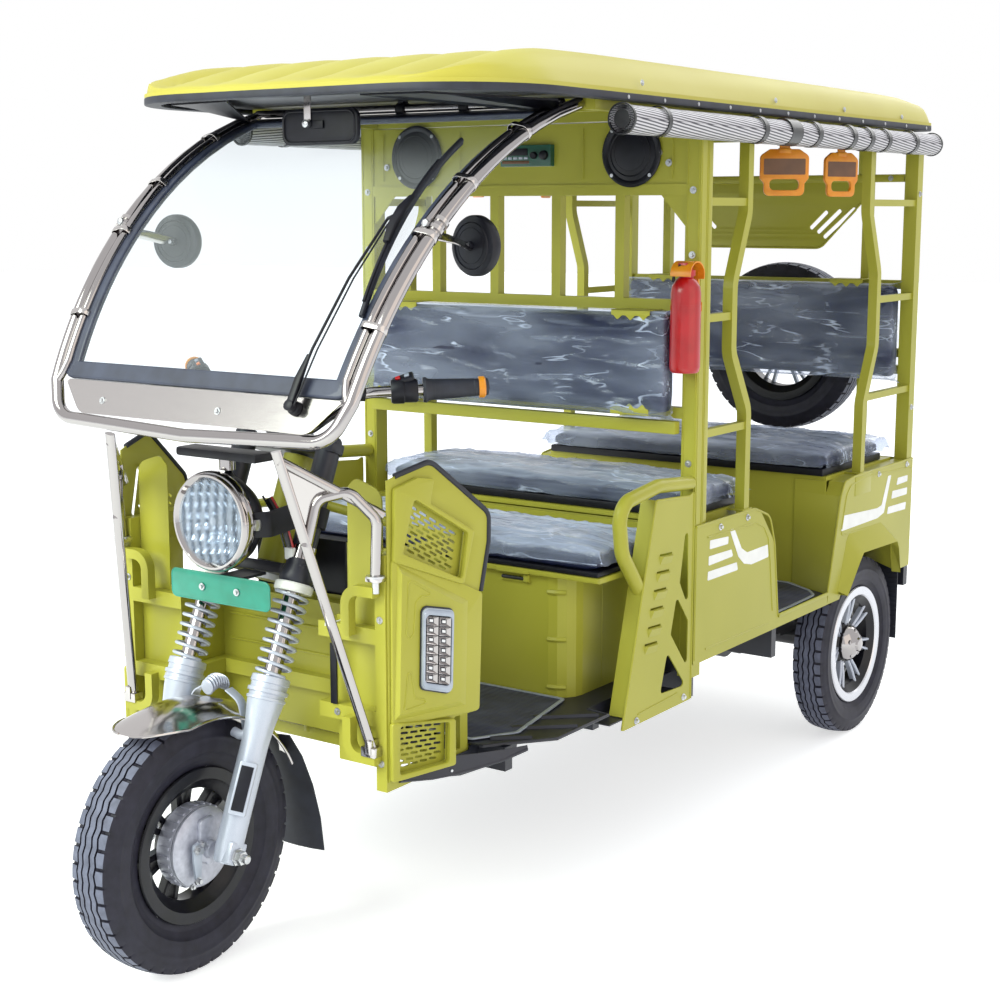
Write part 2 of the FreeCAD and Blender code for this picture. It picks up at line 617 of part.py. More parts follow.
def cabin_frame():
    """Posts, partition, ladder rails, rear frame and the tubes under the roof."""
    in_post = ("half_body - sheet - post", "half_body - sheet")
    post = block("b_post", in_post, ("0", "post"), ("rail_top", "post_top"))
    bars = []
    inner = ("-half_body + sheet + post", "half_body - sheet - post")
    for tag, z in (("high", 1489), ("back", 1233), ("low", 990), ("seat", 715)):
        bars.append(block(f"partition_{tag}", inner, ("0", "tube"), (z, f"{z} + tube")))
    for i, x in enumerate((-248, -74, 102, 275)):
        bars.append(block(f"partition_bar{i}", (x - 12, x + 12), ("0", "tube"), ("1233 + tube", 1489)))
    sheet_low = block("partition_sheet", inner, ("0", "sheet"), ("load_floor", 715))
    node("partition_frame", [post, mirrored(post), sheet_low] + bars)

    inside = v.half_body - v.sheet - v.post
    holes = [(-305, 1583, 67), (305, 1583, 67), [(-48.3, 1556.7), (94.3, 1556.7), (94.3, 1606.3),
                                                 (-48.3, 1606.3)]]
    speaker_sheet = panel("speaker_sheet", "XZ", [(-inside, 1514), (inside, 1514), (inside, 1652),
                                                  (-inside, 1652)], 3,
                          "sheet", holes)
    NODES[-1].Shapes = NODES[-1].Shapes + [speaker_sheet]
    speaker = turned("speaker_cone", [(-14, 0), (-14, 74), (-3, 78), (-3.3, 66), (26, 34), (26, 0)],
                     Placement(Vector(305, 3, 1583), Rotation(Z_AXIS, 90)))
    radio = block("radio_case", (-48, 94), (-12, 120), (1557, 1606))
    node("speakers_radio", [speaker, mirrored(speaker), radio])

    rear_post = block("rear_post", in_post, ("body_rear - sheet - post", "body_rear - sheet"),
                      ("load_floor", "post_top"))
    rear = [rear_post, mirrored(rear_post)]
    rear_y = ("body_rear - sheet - tube", "body_rear - sheet")
    for tag, z in (("back", 1233), ("carrier", 1038), ("low", 990)):
        rear.append(block(f"rear_bar_{tag}", inner, rear_y, (z, f"{z} + tube")))
    for i, x in enumerate((-340, 315)):
        rear.append(block(f"rear_upright{i}", (x, x + 25), rear_y, ("side_top", "post_top")))
    rear.append(block("carrier_plate", (6, 86), ("body_rear - sheet - tube / 2",
                                                 "body_rear + tyre_width / 2 - 34 - soft_gap"),
                      (1010, 1090)))
    node("rear_frame", rear)

    plane = v.half_body - v.sheet - v.tube / 2 - 1
    front_rail = bar("ladder_front", [(plane, 245, v.post_top), (plane, 245, 1450), (plane, 177, 1290),
                                       (plane, 177, 1130), (plane, 262, 990), (plane, 262, v.side_top)],
                     v.tube, 60)
    rear_rail = bar("ladder_rear", [(plane, 960, v.post_top), (plane, 960, 1450), (plane, 1030, 1290),
                                     (plane, 1030, 1090), (plane, 960, 940), (plane, 960, v.side_top)],
                    v.tube, 60)
    rungs = []
    for i, (z, near, far) in enumerate(((1475, 245, 960), (1215, 177, 1030), (952, 262, 966))):
        rungs.append(block(f"rung_front{i}", (plane - 9, plane + 9), ("post", near), (z - 9, z + 9)))
        rungs.append(block(f"rung_rear{i}", (plane - 9, plane + 9), (far, "body_rear - sheet - post"),
                           (z - 9, z + 9)))
    node("ladder_rails", [front_rail, rear_rail] + rungs, both=True)

    rail_front = screen_point(0, SCREEN_TOP, 4).y + 0.35 * v.screen_tube
    side = block("roof_rail", ("half_body - 53", "half_body - 23"), (rail_front, 1285),
                 ("post_top", "post_top + 29.7"))
    crosses = []
    for i, y in enumerate((-370, 5, 650, 1260)):
        crosses.append(block(f"roof_cross{i}", ("-half_body + 53", "half_body - 53"), (y, y + 25),
                             ("post_top", "post_top + 25")))
    node("roof_frame", [side, mirrored(side)] + crosses)


def body_sides():
    """Side guards, side panels, rear quarters, tail and bumper."""
    openings = [[(-36, 800), (-70, 628), (-28, 563)], [(-83, 600), (-108, 516), (-28, 422), (-28, 534)],
                [(-122, 478), (-152, 388), (-34, 382)]]
    for y, z in ((-163, 709), (-175, 672), (-187, 633), (-201, 594), (-210, 554), (-225, 518)):
        openings.append([(y, z), (y, z - 8), (y + 55, z - 11), (y + 55, z - 3)])
    guard = panel("guard_sheet", "YZ", rounded([(-317, 343), (-8, 343), (-8, 830), (-28, 823),
                                                (-183, 833)], 6),
                  v.half_body - v.sheet, "sheet", [rounded(shape, 8) for shape in openings[:3]] + openings[3:])
    flange = panel("guard_flange", "YZ", [(-309, 372), (-306, 372), (-180, 830), (-183, 833)],
                   v.half_body - v.sheet - 35, "35")
    plane = v.half_body - 16
    handle = pipe("guard_handle", [(plane, -3, 846), (plane, -150, 858), (plane, -318, 838),
                                   (plane, -300, 730), (plane, -215, 625)], "16", 60)
    node("side_guards", [guard, flange, handle], both=True)

    side_outline = [(0, v.sill_bottom), (v.sill_rear, v.sill_bottom), (v.sill_rear, v.load_floor + 2),
                    (v.bench_rear + 4, v.load_floor + 2), (413, 645), (323, v.side_top), (0, v.side_top)]
    side_sheet = panel("side_sheet", "YZ", rounded(side_outline, [6, 0, 0, 6, 60, 60, 6]),
                       v.half_body - v.sheet, "sheet")
    node("side_panels", [side_sheet], both=True)

    # The quarter leans back from the sill, and its front face runs in toward the bench
    lean, lip = (812, 704), (835, 738)
    quarter = [(v.sill_rear, v.sill_bottom), (824, v.sill_bottom), (904, 517), (925, 537), (1172, 528),
               (1198, 430), (v.body_rear, 430), (v.body_rear, v.side_top), (900, v.side_top), lip, lean]
    quarter_sheet = panel("quarter_sheet", "YZ", rounded(quarter, [0, 6, 12, 12, 10, 6, 6, 6, 30, 12, 12]),
                          v.half_body - v.sheet, "sheet")
    ends = []
    for tag, x, foot in (("inner", 350, lean[0]), ("outer", v.half_body - v.sheet, v.sill_rear)):
        end = doc.addObject("Part::Feature", f"quarter_face_{tag}")
        corners = [Vector(x, foot, v.load_floor), Vector(x, foot + v.sheet, v.load_floor),
                   Vector(x, lean[0] + v.sheet, lean[1]), Vector(x, *lean)]
        end.Shape = Part.makePolygon(corners + corners[:1])
        ends.append(end)
    front_face = doc.addObject("Part::Loft", "quarter_face")
    front_face.Sections = ends
    front_face.Solid = True
    front_face.Ruled = True
    brow = block("quarter_brow", (350, "cushion_half + 1"), ("entry_rear - sheet", "entry_rear"),
                 (lean[1], "bench_top - 12"))
    shelf_end = v.body_rear - v.sheet - v.post
    top_lip = [lean, lip, (900, v.side_top), (shelf_end, v.side_top), (shelf_end, 742), (901, 742),
               (837, 735), (815, 704)]
    shelf = panel("quarter_shelf", "YZ", top_lip, v.cushion_half + 1, "half_body - sheet - cushion_half - 1")
    side_face = v.half_body - v.sheet
    tail = panel("tail_sheet", "XZ", rounded([(-side_face, 430), (side_face, 430), (side_face, 745),
                                              (-side_face, 745)], 8),
                 v.body_rear - v.sheet, "sheet")
    quarter_pieces = [quarter_sheet, front_face, brow, shelf]
    node("rear_body", quarter_pieces + [mirrored(piece) for piece in quarter_pieces] + [tail])
    lamp = block("tail_lamp", ("half_body - 135", "half_body - 35"),
                 ("body_rear + 0.3", "body_rear + 20"), (560, 640))
    node("tail_lamps", [lamp], both=True)
    bumper = block("bumper_bar", ("-half_body + 15", "half_body - 15"),
                   ("body_rear + 2", "body_rear + 30"), (365, 430))
    arm = block("bumper_arm", ("rail_half", "rail_half + rail_width"),
                ("body_rear - 30", "body_rear + 2"), (365, 390))
    tow_y = v.body_rear + 55
    tow = cut("tow_eye", block("tow_plate", (-30, 30), ("body_rear + 30", tow_y + 25), (385, 393)),
              cylinder("tow_hole", (0, tow_y, 380), (0, 0, 1), "tow_radius", 20))
    node("rear_bumper", [bumper, arm, mirrored(arm), tow])
    flap = block("mud_flap", ("half_track - 48", "half_track + 50"), (1276, 1279), (215, 445))
    flange = block("flap_flange", ("half_track - 48", "half_track + 50"),
                   (1279, "body_rear - sheet - soft_gap"), (442, 445))
    node("rear_mud_flaps", [flap, flange], both=True)

    upper = panel("upper_sheet", "XZ", rounded([(-335, 1500), (-190, 1346), (190, 1346), (335, 1500)], 18),
                  v.body_rear - v.sheet - 25 - 6, "sheet")
    hang = block("upper_hanger", (300, 315), ("body_rear - sheet - 31", "body_rear - sheet - 25"),
                 (1480, "post_top"))
    node("rear_upper_panel", [upper, hang, mirrored(hang)])


def seats():
    """Seat boxes, the driver's lid, cushions, backrests and what is under the seats."""
    back_y = -v.sheet - 1
    outer = rounded([(-v.seat_half, v.seat_front), (v.seat_half, v.seat_front), (v.seat_half, back_y),
                     (-v.seat_half, back_y)], [v.seat_corner, v.seat_corner, 0, 0])
    inside = v.seat_half - v.sheet
    inner = rounded([(-inside, v.seat_front + v.sheet), (inside, v.seat_front + v.sheet),
                     (inside, back_y - v.sheet),
                     (-inside, back_y - v.sheet)], [v.seat_corner - v.sheet, v.seat_corner - v.sheet, 0, 0])
    box = panel("seat_box", "XY", outer, v.drive_floor, "seat_top - drive_floor", [inner])
    ledge = block("seat_ledge", ("-seat_half", "seat_half"), ("lid_hinge + 3", "-sheet - 1"),
                  ("seat_top - sheet", "seat_top"))
    node("driver_seat_box", [box, ledge])
    lid = block("seat_lid_board", ("-cushion_half", "cushion_half"), ("seat_front - 8", "lid_hinge"),
                ("seat_top + 0.5", "seat_top + 0.5 + lid_thick"))
    node("driver_seat_lid", [lid])
    cushion = block("driver_cushion_pad", ("-cushion_half", "cushion_half"),
                    ("seat_front - 8", "lid_hinge - 3"),
                    ("seat_top + 0.5 + lid_thick + soft_gap", "seat_top + lid_thick + cushion_thick"))
    node("driver_cushion", [cushion])
    back = block("driver_back_pad", ("-cushion_half + 15", "cushion_half - 15"), (-58, "-soft_gap"),
                 (985, 1222))
    face = block("bench_face", ("-cushion_half", "cushion_half"), ("bench_back - sheet", "bench_back"),
                 ("load_floor", "bench_top - 12"))
    end = block("bench_end", ("cushion_half - sheet", "cushion_half"), ("post", "bench_back - sheet"),
                ("load_floor", "bench_top - 12"))
    top = block("bench_board", ("-cushion_half", "cushion_half"), ("post", "bench_back"),
                ("bench_top - 12", "bench_top"))
    front_bench = [face, end, mirrored(end), top]
    pad = block("front_bench_pad", ("-cushion_half", "cushion_half"), ("post + 5", "bench_back + 15"),
                ("bench_top + soft_gap", "bench_top + bench_cushion"))
    rear_face = block("rear_bench_face", ("-seat_half - 20", "seat_half + 20"),
                      ("entry_rear", "entry_rear + sheet"),
                      ("load_floor - sheet", "bench_top - 12"))
    rear_top = block("rear_bench_board", ("-cushion_half", "cushion_half"), ("entry_rear", "body_rear - 60"),
                     ("bench_top - 12", "bench_top"))
    rear_side = block("rear_bench_side", ("seat_half - 20 - sheet", "seat_half - 20"),
                      ("entry_rear + sheet", "body_rear - 60"),
                      ("load_floor - sheet", "bench_top - 12"))
    rear_floor = block("rear_bench_floor", ("-seat_half + 20", "seat_half - 20"),
                       ("entry_rear + sheet", "body_rear - 60"),
                       ("load_floor - sheet", "load_floor"))
    node("bench_boxes", front_bench + [rear_face, rear_top, rear_side, mirrored(rear_side), rear_floor])
    rear_pad = block("rear_bench_pad", ("-cushion_half", "cushion_half"),
                     ("entry_rear - 15", "body_rear - 115"),
                     ("bench_top + soft_gap", "bench_top + bench_cushion"))
    node("bench_cushions", [pad, rear_pad])
    rear_back = block("rear_back_pad", ("-cushion_half", "cushion_half"),
                      ("body_rear - sheet - tube - soft_gap - 58", "body_rear - sheet - tube - soft_gap"),
                      (980, 1246))
    node("backrests", [back, rear_back])
    battery = block("battery_block", ("-seat_half + 60", "seat_half - 60"), (860, 1200), ("load_floor", 690))
    node("battery_pack", [battery])


def roof():
    """Moulded roof, its dark edge, and what hangs from its frame."""
    def plan(inset, front, rear, z):
        points = rounded([(-v.roof_half + inset, v.roof_front + front),
                          (v.roof_half - inset, v.roof_front + front),
                          (v.roof_half - inset, v.roof_rear - rear),
                          (-v.roof_half + inset, v.roof_rear - rear)],
                         [v.roof_corner - inset, v.roof_corner - inset, v.roof_back_corner,
                          v.roof_back_corner])
        wire = doc.addObject("Part::Feature", f"roof_plan_{len(doc.Objects)}")
        wire.Shape = Part.makePolygon([Vector(x, y, z) for x, y in points + points[:1]])
        return wire

    def moulding(name, shrink, low):
        loft = doc.addObject("Part::Loft", name)
        loft.Sections = [plan(shrink, shrink, shrink, low),
                         plan(20 + shrink, 40 + shrink, 12 + shrink, v.roof_edge + 45 - shrink),
                         plan(95 + shrink, 300 + shrink, 60 + shrink, v.roof_top - shrink)]
        loft.Solid = True
        loft.Ruled = True
        return loft

    outer = moulding("roof_outer", 0, v.roof_edge)
    inner = moulding("roof_inner", v.roof_skin, v.roof_edge - 1)
    node("roof_shell", [cut("roof_moulding", outer, inner)])

    def edge(grow):
        return rounded([(-v.roof_half - grow, v.roof_front - grow), (v.roof_half + grow, v.roof_front - grow),
                        (v.roof_half + grow, v.roof_rear + grow), (-v.roof_half - grow, v.roof_rear + grow)],
                       [v.roof_corner + grow, v.roof_corner + grow, v.roof_back_corner, v.roof_back_corner])
    trim = panel("trim_ring", "XY", edge(4), v.roof_edge - 20, "20", [edge(-30)])
    liner = panel("roof_liner", "XY", edge(-30), v.roof_edge - 5, "3")
    node("roof_trim", [trim, liner])

    roll = cylinder("curtain_roll", (v.half_body - v.sheet + 32 + v.soft_gap, -400, 1636), (0, 1, 0),
                    "32", 1690)
    node("curtain_rolls", [roll], both=True)

    handles = []
    for i, (y0, y1) in enumerate(((410, 530), (745, 865))):
        ring = panel(f"grab_ring{i}", "YZ", rounded([(y0 + 15, 1600), (y0, 1540), (y0, 1488), (y1, 1488),
                                                     (y1, 1540), (y1 - 15, 1600)], 12), 452, "9",
                     [rounded([(y0 + 20, 1502), (y1 - 20, 1502), (y1 - 20, 1528), (y0 + 20, 1528)], 10)])
        strap = block(f"grab_strap{i}", (455, 458), ((y0 + y1) / 2 - 15, (y0 + y1) / 2 + 15),
                      (1590, "post_top"))
        handles += [ring, strap]
    node("grab_handles", handles, both=True)

    mirror = panel("inner_mirror_face", "XZ", rounded([(-100, 1585), (100, 1585), (100, 1658),
                                                       (-100, 1658)], 25),
                   -720, "22")
    stalk = block("inner_mirror_stalk", (-9, 9), (-715, -703), (1658, "roof_edge - 5.3"))
    side = turned("side_mirror_head", [(-12, 0), (-12, 50), (-4, 56), (10, 52), (14, 40), (14, 0)],
                  Placement(Vector(395, -734, 1390), Rotation(Z_AXIS, 80)))
    clamp = tuple(screen_point(430 - 0.083 * 270, 1420, 4 - 19.5))
    arm = pipe("side_mirror_arm", [clamp, (402, -800, 1415), (395, -745, 1392)], "6", 20)
    node("mirrors", [mirror, stalk, side, arm, mirrored(side), mirrored(arm)])

    pivot, foot = screen_point(258, 1104, 22), screen_point(258, 1104, 2.3)
    wiper_arm = pipe("wiper_arm", [tuple(pivot), tuple(screen_point(262, 1290, 26)),
                                   tuple(screen_point(284, 1440, 18))],
                     "5", 60)
    blade = pipe("wiper_blade", [tuple(screen_point(304, 1277, 16)), tuple(screen_point(286, 1430, 16)),
                                 tuple(screen_point(262, 1560, 16))], "5", 200)
    boss = cylinder("wiper_boss", tuple(foot), tuple(pivot - foot), "12", "24")
    node("wiper", [wiper_arm, blade, boss])

    bottle = turned("bottle", [(0, 0), (0, 26), (8, 30), (165, 30), (185, 24), (200, 14), (228, 14),
                               (228, 0)],
                    Placement(Vector(v.half_body - 22, -40, 1108), Rotation(Y_AXIS, -90)))
    grip = block("bottle_grip", ("half_body - 45", "half_body + 1"), (-60, -20), (1312, 1336))
    clip = block("bottle_clip", ("half_body - 35", "half_body - 9"), (-14, 0), (1180, 1260))
    node("fire_extinguisher", [bottle, grip, clip])


def spare_wheel():
    """Spare wheel on the rear frame."""
    centre = Vector(46, v.body_rear + v.tyre_width / 2, 1050)
    place, barrel, seat = wheel("spare_tyre", "spare_rim", centre, -90)
    arms = spokes("spare", place, seat, 14, 13, 20, 40, -10)
    hub = turned("spare_hub", [(-30, 0), (-30, 56), (34, 56), (34, 0)], place)
    node("spare_rim", [barrel, hub] + arms)


def steering():
    """Fork, springs, handlebar, headlamp, plate and front fender."""
    low, high = v.yoke_low, v.yoke_high
    pieces = []
    slider = doc.addObject("Part::Cylinder", "slider")
    slider.setExpression("Radius", "Sizes.slider_radius")
    slider.Height = v.slider_top + 18
    slider.Placement = Placement(fork_point(v.fork_half, -18), Rotation(Z_AXIS, UP_FORK))
    collar = doc.addObject("Part::Cylinder", "slider_collar")
    collar.Radius = v.spring_radius + 3
    collar.Height = 45
    collar.Placement = Placement(fork_point(v.fork_half, v.slider_top - 45), Rotation(Z_AXIS, UP_FORK))
    stanchion = doc.addObject("Part::Cylinder", "stanchion")
    stanchion.setExpression("Radius", "Sizes.stanchion_radius")
    stanchion.Height = low - v.slider_top
    stanchion.Placement = Placement(fork_point(v.fork_half, v.slider_top), Rotation(Z_AXIS, UP_FORK))
    upper = doc.addObject("Part::Cylinder", "fork_upper")
    upper.setExpression("Radius", "Sizes.fork_upper_radius")
    upper.Height = high + v.yoke_thick + 8 - v.spring_top
    upper.Placement = Placement(fork_point(v.fork_half, v.spring_top), Rotation(Z_AXIS, UP_FORK))
    boss = doc.addObject("Part::Cylinder", "dropout")
    boss.Radius = 16
    boss.Height = 2 * v.slider_radius + 6
    boss.Placement = Placement(fork_point(v.fork_half - v.slider_radius - 3, 0), Rotation(Z_AXIS, X_AXIS))
    for piece in (slider, collar, stanchion, upper, boss):
        pieces += [piece, mirrored(piece)]
    for tag, along in (("low", low), ("high", high)):
        pieces.append(fork_block(f"yoke_{tag}", (-v.fork_half - 32, v.fork_half + 32),
                                 (along, along + v.yoke_thick),
                                 (-v.fork_offset - 30, 32)))
    stem = doc.addObject("Part::Cylinder", "stem")
    stem.setExpression("Radius", "Sizes.stem_radius")
    stem.Height = high - low + v.yoke_thick + 30
    stem.Placement = Placement(fork_point(0, low, -v.fork_offset), Rotation(Z_AXIS, UP_FORK))
    pieces.append(stem)
    spindle = cylinder("front_spindle", (-v.fork_half - 45, AXLE.y, AXLE.z), (1, 0, 0), v.axle_radius - 0.05,
                       2 * v.fork_half + 90)
    node("fork", pieces + [spindle])

    coil = sleeve("spring_coil", fork_point(v.fork_half, v.slider_top), UP_FORK, "spring_radius",
                  "spring_radius - spring_wire", "spring_top - slider_top")
    node("fork_springs", [coil], both=True)

    clamp = fork_point(0, high + v.yoke_thick + 18, 20)
    rise = clamp + Vector(0, -10, v.bar_rise)
    bend = v.bar_half - v.grip_length - 60
    bar_points = [(clamp.x, clamp.y, clamp.z), (70, clamp.y, clamp.z), (bend, rise.y, rise.z - 10),
                  (v.bar_half, clamp.y + v.bar_back, rise.z)]
    bar = pipe("bar_tube", bar_points, "bar_radius", 50)
    start = Vector(*bar_points[2])
    heading = (Vector(*bar_points[3]) - start).normalize()
    grip = cylinder("bar_grip", tuple(Vector(*bar_points[3]) - heading * v.grip_length), tuple(heading),
                    "grip_radius",
                    "grip_length")
    pod = cylinder("bar_switch", tuple(Vector(*bar_points[3]) - heading * (v.grip_length + 62)),
                   tuple(heading), "24", 50)
    saddle = fork_block("bar_clamp", (-32, 32), (high + v.yoke_thick, high + v.yoke_thick + 36), (2, 38))
    node("handlebar", [bar, mirrored(bar), grip, mirrored(grip), pod, mirrored(pod), saddle])

    face = Vector(0, -1060, 866)
    bowl = turned("lamp_bowl", [(0, 0), (0, 90), (8, 98), (22, 98), (60, 84), (100, 50), (112, 0)],
                  Placement(face, Rotation(Z_AXIS, 90)))
    ear = pipe("lamp_ear", [tuple(face + Vector(92, 22, 0)), tuple(face + Vector(120, 60, 0)),
                            tuple(fork_point(v.fork_half, 665, v.fork_upper_radius + 5))], "8", 20)
    band = sleeve("lamp_band", fork_point(v.fork_half, 650), UP_FORK, "fork_upper_radius + 8",
                  "fork_upper_radius + soft_gap", 30)
    node("headlamp", [bowl, ear, mirrored(ear), band, mirrored(band)])
    plate = panel("plate_sheet", "XZ", [(-130, 702), (130, 702), (130, 758), (-130, 758)], -1036, "sheet",
                  [(side * v.plate_bolt, 730, v.plate_hole) for side in (-1, 1)])
    hold = block("plate_holder", (-30, 30), (-1033, -935), (745, 751))
    node("number_plate", [plate, hold])

    arc = 88
    half = 62
    inner, thick = v.tyre_radius + 30, 2.5
    profile = [(-half, inner - 24), (-half + 12, inner - 4), (-half + 30, inner), (half - 30, inner),
               (half - 12, inner - 4), (half, inner - 24), (half + thick, inner - 24), (half - 11, inner - 2),
               (half - 30, inner + thick), (-half + 30, inner + thick), (-half + 11, inner - 2),
               (-half - thick, inner - 24)]
    fender = turned("fender_blade", profile, Placement(AXLE, Rotation(X_AXIS, 30)), arc)
    stay = block("fender_stay", (half - 8, v.fork_half - v.slider_radius - 0.3),
                 (AXLE.y + 97, AXLE.y + 113), (AXLE.z + 240, AXLE.z + 256))
    flap = turned("flap_blade", profile, Placement(AXLE, Rotation(X_AXIS, -12)), 42)
    node("front_fender", [fender, stay, mirrored(stay), flap])


front_wheel()
rear_wheel("left", 1)
rear_wheel("right", -1)
chassis()
rear_axle()
front_frame()
cowl()
windscreen()
crash_guards()
cabin_frame()
body_sides()
seats()
roof()
spare_wheel()
steering()

doc.recompute()
failed = [o.Name for o in doc.Objects if "Invalid" in o.State or "Error" in o.State]
if failed:
    raise RuntimeError("these objects did not build: " + ", ".join(failed))
for piece in NODES:
    if piece.Shape.isNull() or not piece.Shape.isValid() or not piece.Shape.Solids:
        raise RuntimeError(piece.Label + " has no valid solid")

os.makedirs("parts", exist_ok=True)
for piece in NODES:
    piece.Shape.exportStep(f"parts/{piece.Label}.step")
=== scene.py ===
"""An electric passenger rickshaw on three wheels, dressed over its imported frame.

Metres. Front toward -Y, the vehicle's left side toward +X, Z up, ground at Z = 0.
"""
import math

import bmesh
import bpy
from mathutils import Matrix, Quaternion, Vector, noise


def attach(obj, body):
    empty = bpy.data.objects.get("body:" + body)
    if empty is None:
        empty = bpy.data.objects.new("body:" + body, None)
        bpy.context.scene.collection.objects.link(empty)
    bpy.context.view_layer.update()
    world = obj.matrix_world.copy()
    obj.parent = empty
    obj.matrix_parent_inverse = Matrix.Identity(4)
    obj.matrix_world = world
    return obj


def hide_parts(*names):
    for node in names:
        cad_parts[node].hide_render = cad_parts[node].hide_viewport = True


bl_info = {
    "name": "Passenger rickshaw",
    "version": (1, 0, 0),
    "blender": (4, 5, 0),
    "location": "3D View > Sidebar > Rickshaw",
    "description": "Dresses the frame of an electric three-wheeled rickshaw and sets its stage",
    "category": "Object",
}

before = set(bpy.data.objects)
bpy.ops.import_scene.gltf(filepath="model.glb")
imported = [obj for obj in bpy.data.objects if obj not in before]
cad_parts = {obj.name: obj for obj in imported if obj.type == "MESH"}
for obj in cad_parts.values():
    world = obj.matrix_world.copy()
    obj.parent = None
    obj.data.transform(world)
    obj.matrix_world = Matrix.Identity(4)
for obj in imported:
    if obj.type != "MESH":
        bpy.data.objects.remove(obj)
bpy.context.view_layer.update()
MM = 0.001
# The vehicle's left and right
SIDES = (1, -1)

# Named values that the pieces share with the frame
AXLE = Vector((0, -1.15, 0.251))
RAKE = math.radians(23)
UP_FORK = Vector((0, math.sin(RAKE), math.cos(RAKE)))
AHEAD = Vector((0, -math.cos(RAKE), math.sin(RAKE)))
FORK_HALF = 0.112
REAR_AXLE = Vector((0.42, 1.015, 0.251))
TYRE_RADIUS = 0.251
RIM_RADIUS = 0.165
SPARE = Vector((0.046, 1.368, 1.05))
SCREEN_ARC = [Vector((0, -1.09, 1.105)), Vector((0, -0.868, 1.42)), Vector((0, -0.409, 1.666))]


def fork_point(x, along, ahead=0.0):
    """A point given across, along the fork above the axle, and ahead of its legs."""
    return Vector((x, 0, 0)) + AXLE + UP_FORK * along + AHEAD * ahead


def arc_centre(a, b, c):
    """Centre and radius of the circle through three points in the YZ plane."""
    (ay, az), (by, bz), (cy, cz) = ((p.y, p.z) for p in (a, b, c))
    d = 2 * (ay * (bz - cz) + by * (cz - az) + cy * (az - bz))
    a2, b2, c2 = ay * ay + az * az, by * by + bz * bz, cy * cy + cz * cz
    y = (a2 * (bz - cz) + b2 * (cz - az) + c2 * (az - bz)) / d
    z = (a2 * (cy - by) + b2 * (ay - cy) + c2 * (by - ay)) / d
    centre = Vector((0, y, z))
    return centre, (a - centre).length


SCREEN_CENTRE, SCREEN_RADIUS = arc_centre(*SCREEN_ARC)


def screen_point(x, z, out=0.0):
    """A point at a height on the windscreen's curve, or a distance out from it."""
    rise = z - SCREEN_CENTRE.z
    spoke = Vector((0, -math.sqrt(SCREEN_RADIUS ** 2 - rise ** 2), rise))
    return SCREEN_CENTRE + spoke * (1 + out / SCREEN_RADIUS) + Vector((x, 0, 0))


# Colour and shader trees

def srgb(code):
    """A hex colour as linear red, green, blue and alpha."""
    def channel(value):
        """One channel from its coded to its linear value."""
        return value / 12.92 if value <= 0.04045 else ((value + 0.055) / 1.055) ** 2.4
    return tuple(channel(int(code[i:i + 2], 16) / 255) for i in (1, 3, 5)) + (1.0,)


# What a user would change

TONES = {
    "sprayed_enamel": ("Sprayed enamel", "#A9A638", "#B5B146"),
    "gelcoat": ("Roof gelcoat", "#B8AD44", "#C5BD5A"),
    "black_enamel": ("Black enamel", "#191A24", "#2A2C38"),
    "silver_enamel": ("Silver enamel", "#B0B6C5", "#C6CCD9"),
    "cast_alloy": ("Cast alloy", "#A9ABB8", "#C2C4D0"),
    "gloss_black_alloy": ("Black alloy", "#0B0B12", "#15151E"),
    "tread_rubber": ("Scuffed tread", "#555868", "#72768A"),
    "tyre_rubber": ("Tyre rubber", "#1B1A25", "#2B2A38"),
    "moulded_rubber": ("Moulded rubber", "#191B25", "#262936"),
    "moulded_abs": ("Moulded ABS", "#0C0C14", "#161721"),
    "seat_vinyl": ("Seat vinyl", "#121834", "#1B2346"),
    "curtain_sheeting": ("Curtain stripes", "#4C4B54", "#D8D6DA"),
    "orange_nylon": ("Orange nylon", "#E2860F", "#EE9A22"),
    "ribbed_matting": ("Floor matting", "#2E3144", "#44485E"),
    "channel_rubber": ("Channel rubber", "#242A3C", "#343B50"),
    "red_enamel": ("Red enamel", "#A8060E", "#BE0C16"),
    "green_plate": ("Green plate", "#0F7E66", "#18917A"),
    "white_film": ("White stripes", "#E8E8E4", "#F4F4F0"),
    "zinc_plate": ("Zinc plate", "#B4B6BA", "#D0D1D4"),
    "mirror_silver": ("Mirror silver", "#C4CAD4", "#D4DAE2"),
    "dark_axle_paint": ("Axle paint", "#1A1B1E", "#2A2B2F"),
    "amber_lens": ("Amber lens", "#D8620C", "#E87A1C"),
    "red_lens": ("Red lens", "#A80C10", "#C4161C"),
    "brown_label": ("Brown label", "#5A3616", "#6E4522"),
    "cable_black": ("Cable black", "#101114", "#1A1B1F"),
    "green_panel": ("Radio face", "#1E4E3E", "#2A6350"),
    "led_white": ("Lamp white", "#F2F4F8", "#FFFFFF"),
    "satin_bezel": ("Satin bezel", "#9AA3B2", "#B4BCC9"),
    "white_nylon": ("White nylon", "#E4E4E0", "#F2F2EE"),
    "red_wire": ("Red wire", "#A01818", "#B82424"),
}
SINGLE_TONES = {
    "polished_stainless": ("Polished stainless", "#BDB9B8"),
    "bright_chrome": ("Bright chrome", "#A8A4A4"),
    "machined_alloy": ("Machined alloy", "#C9CAD0"),
    "screen_glass": ("Windscreen glass", "#FAFDFF"),
    # The film's pale tone, laid over its clear part as its milkiness and as painted highlights and sky
    # reflection
    "poly_film": ("Polythene film", "#CDD8F0"),
}
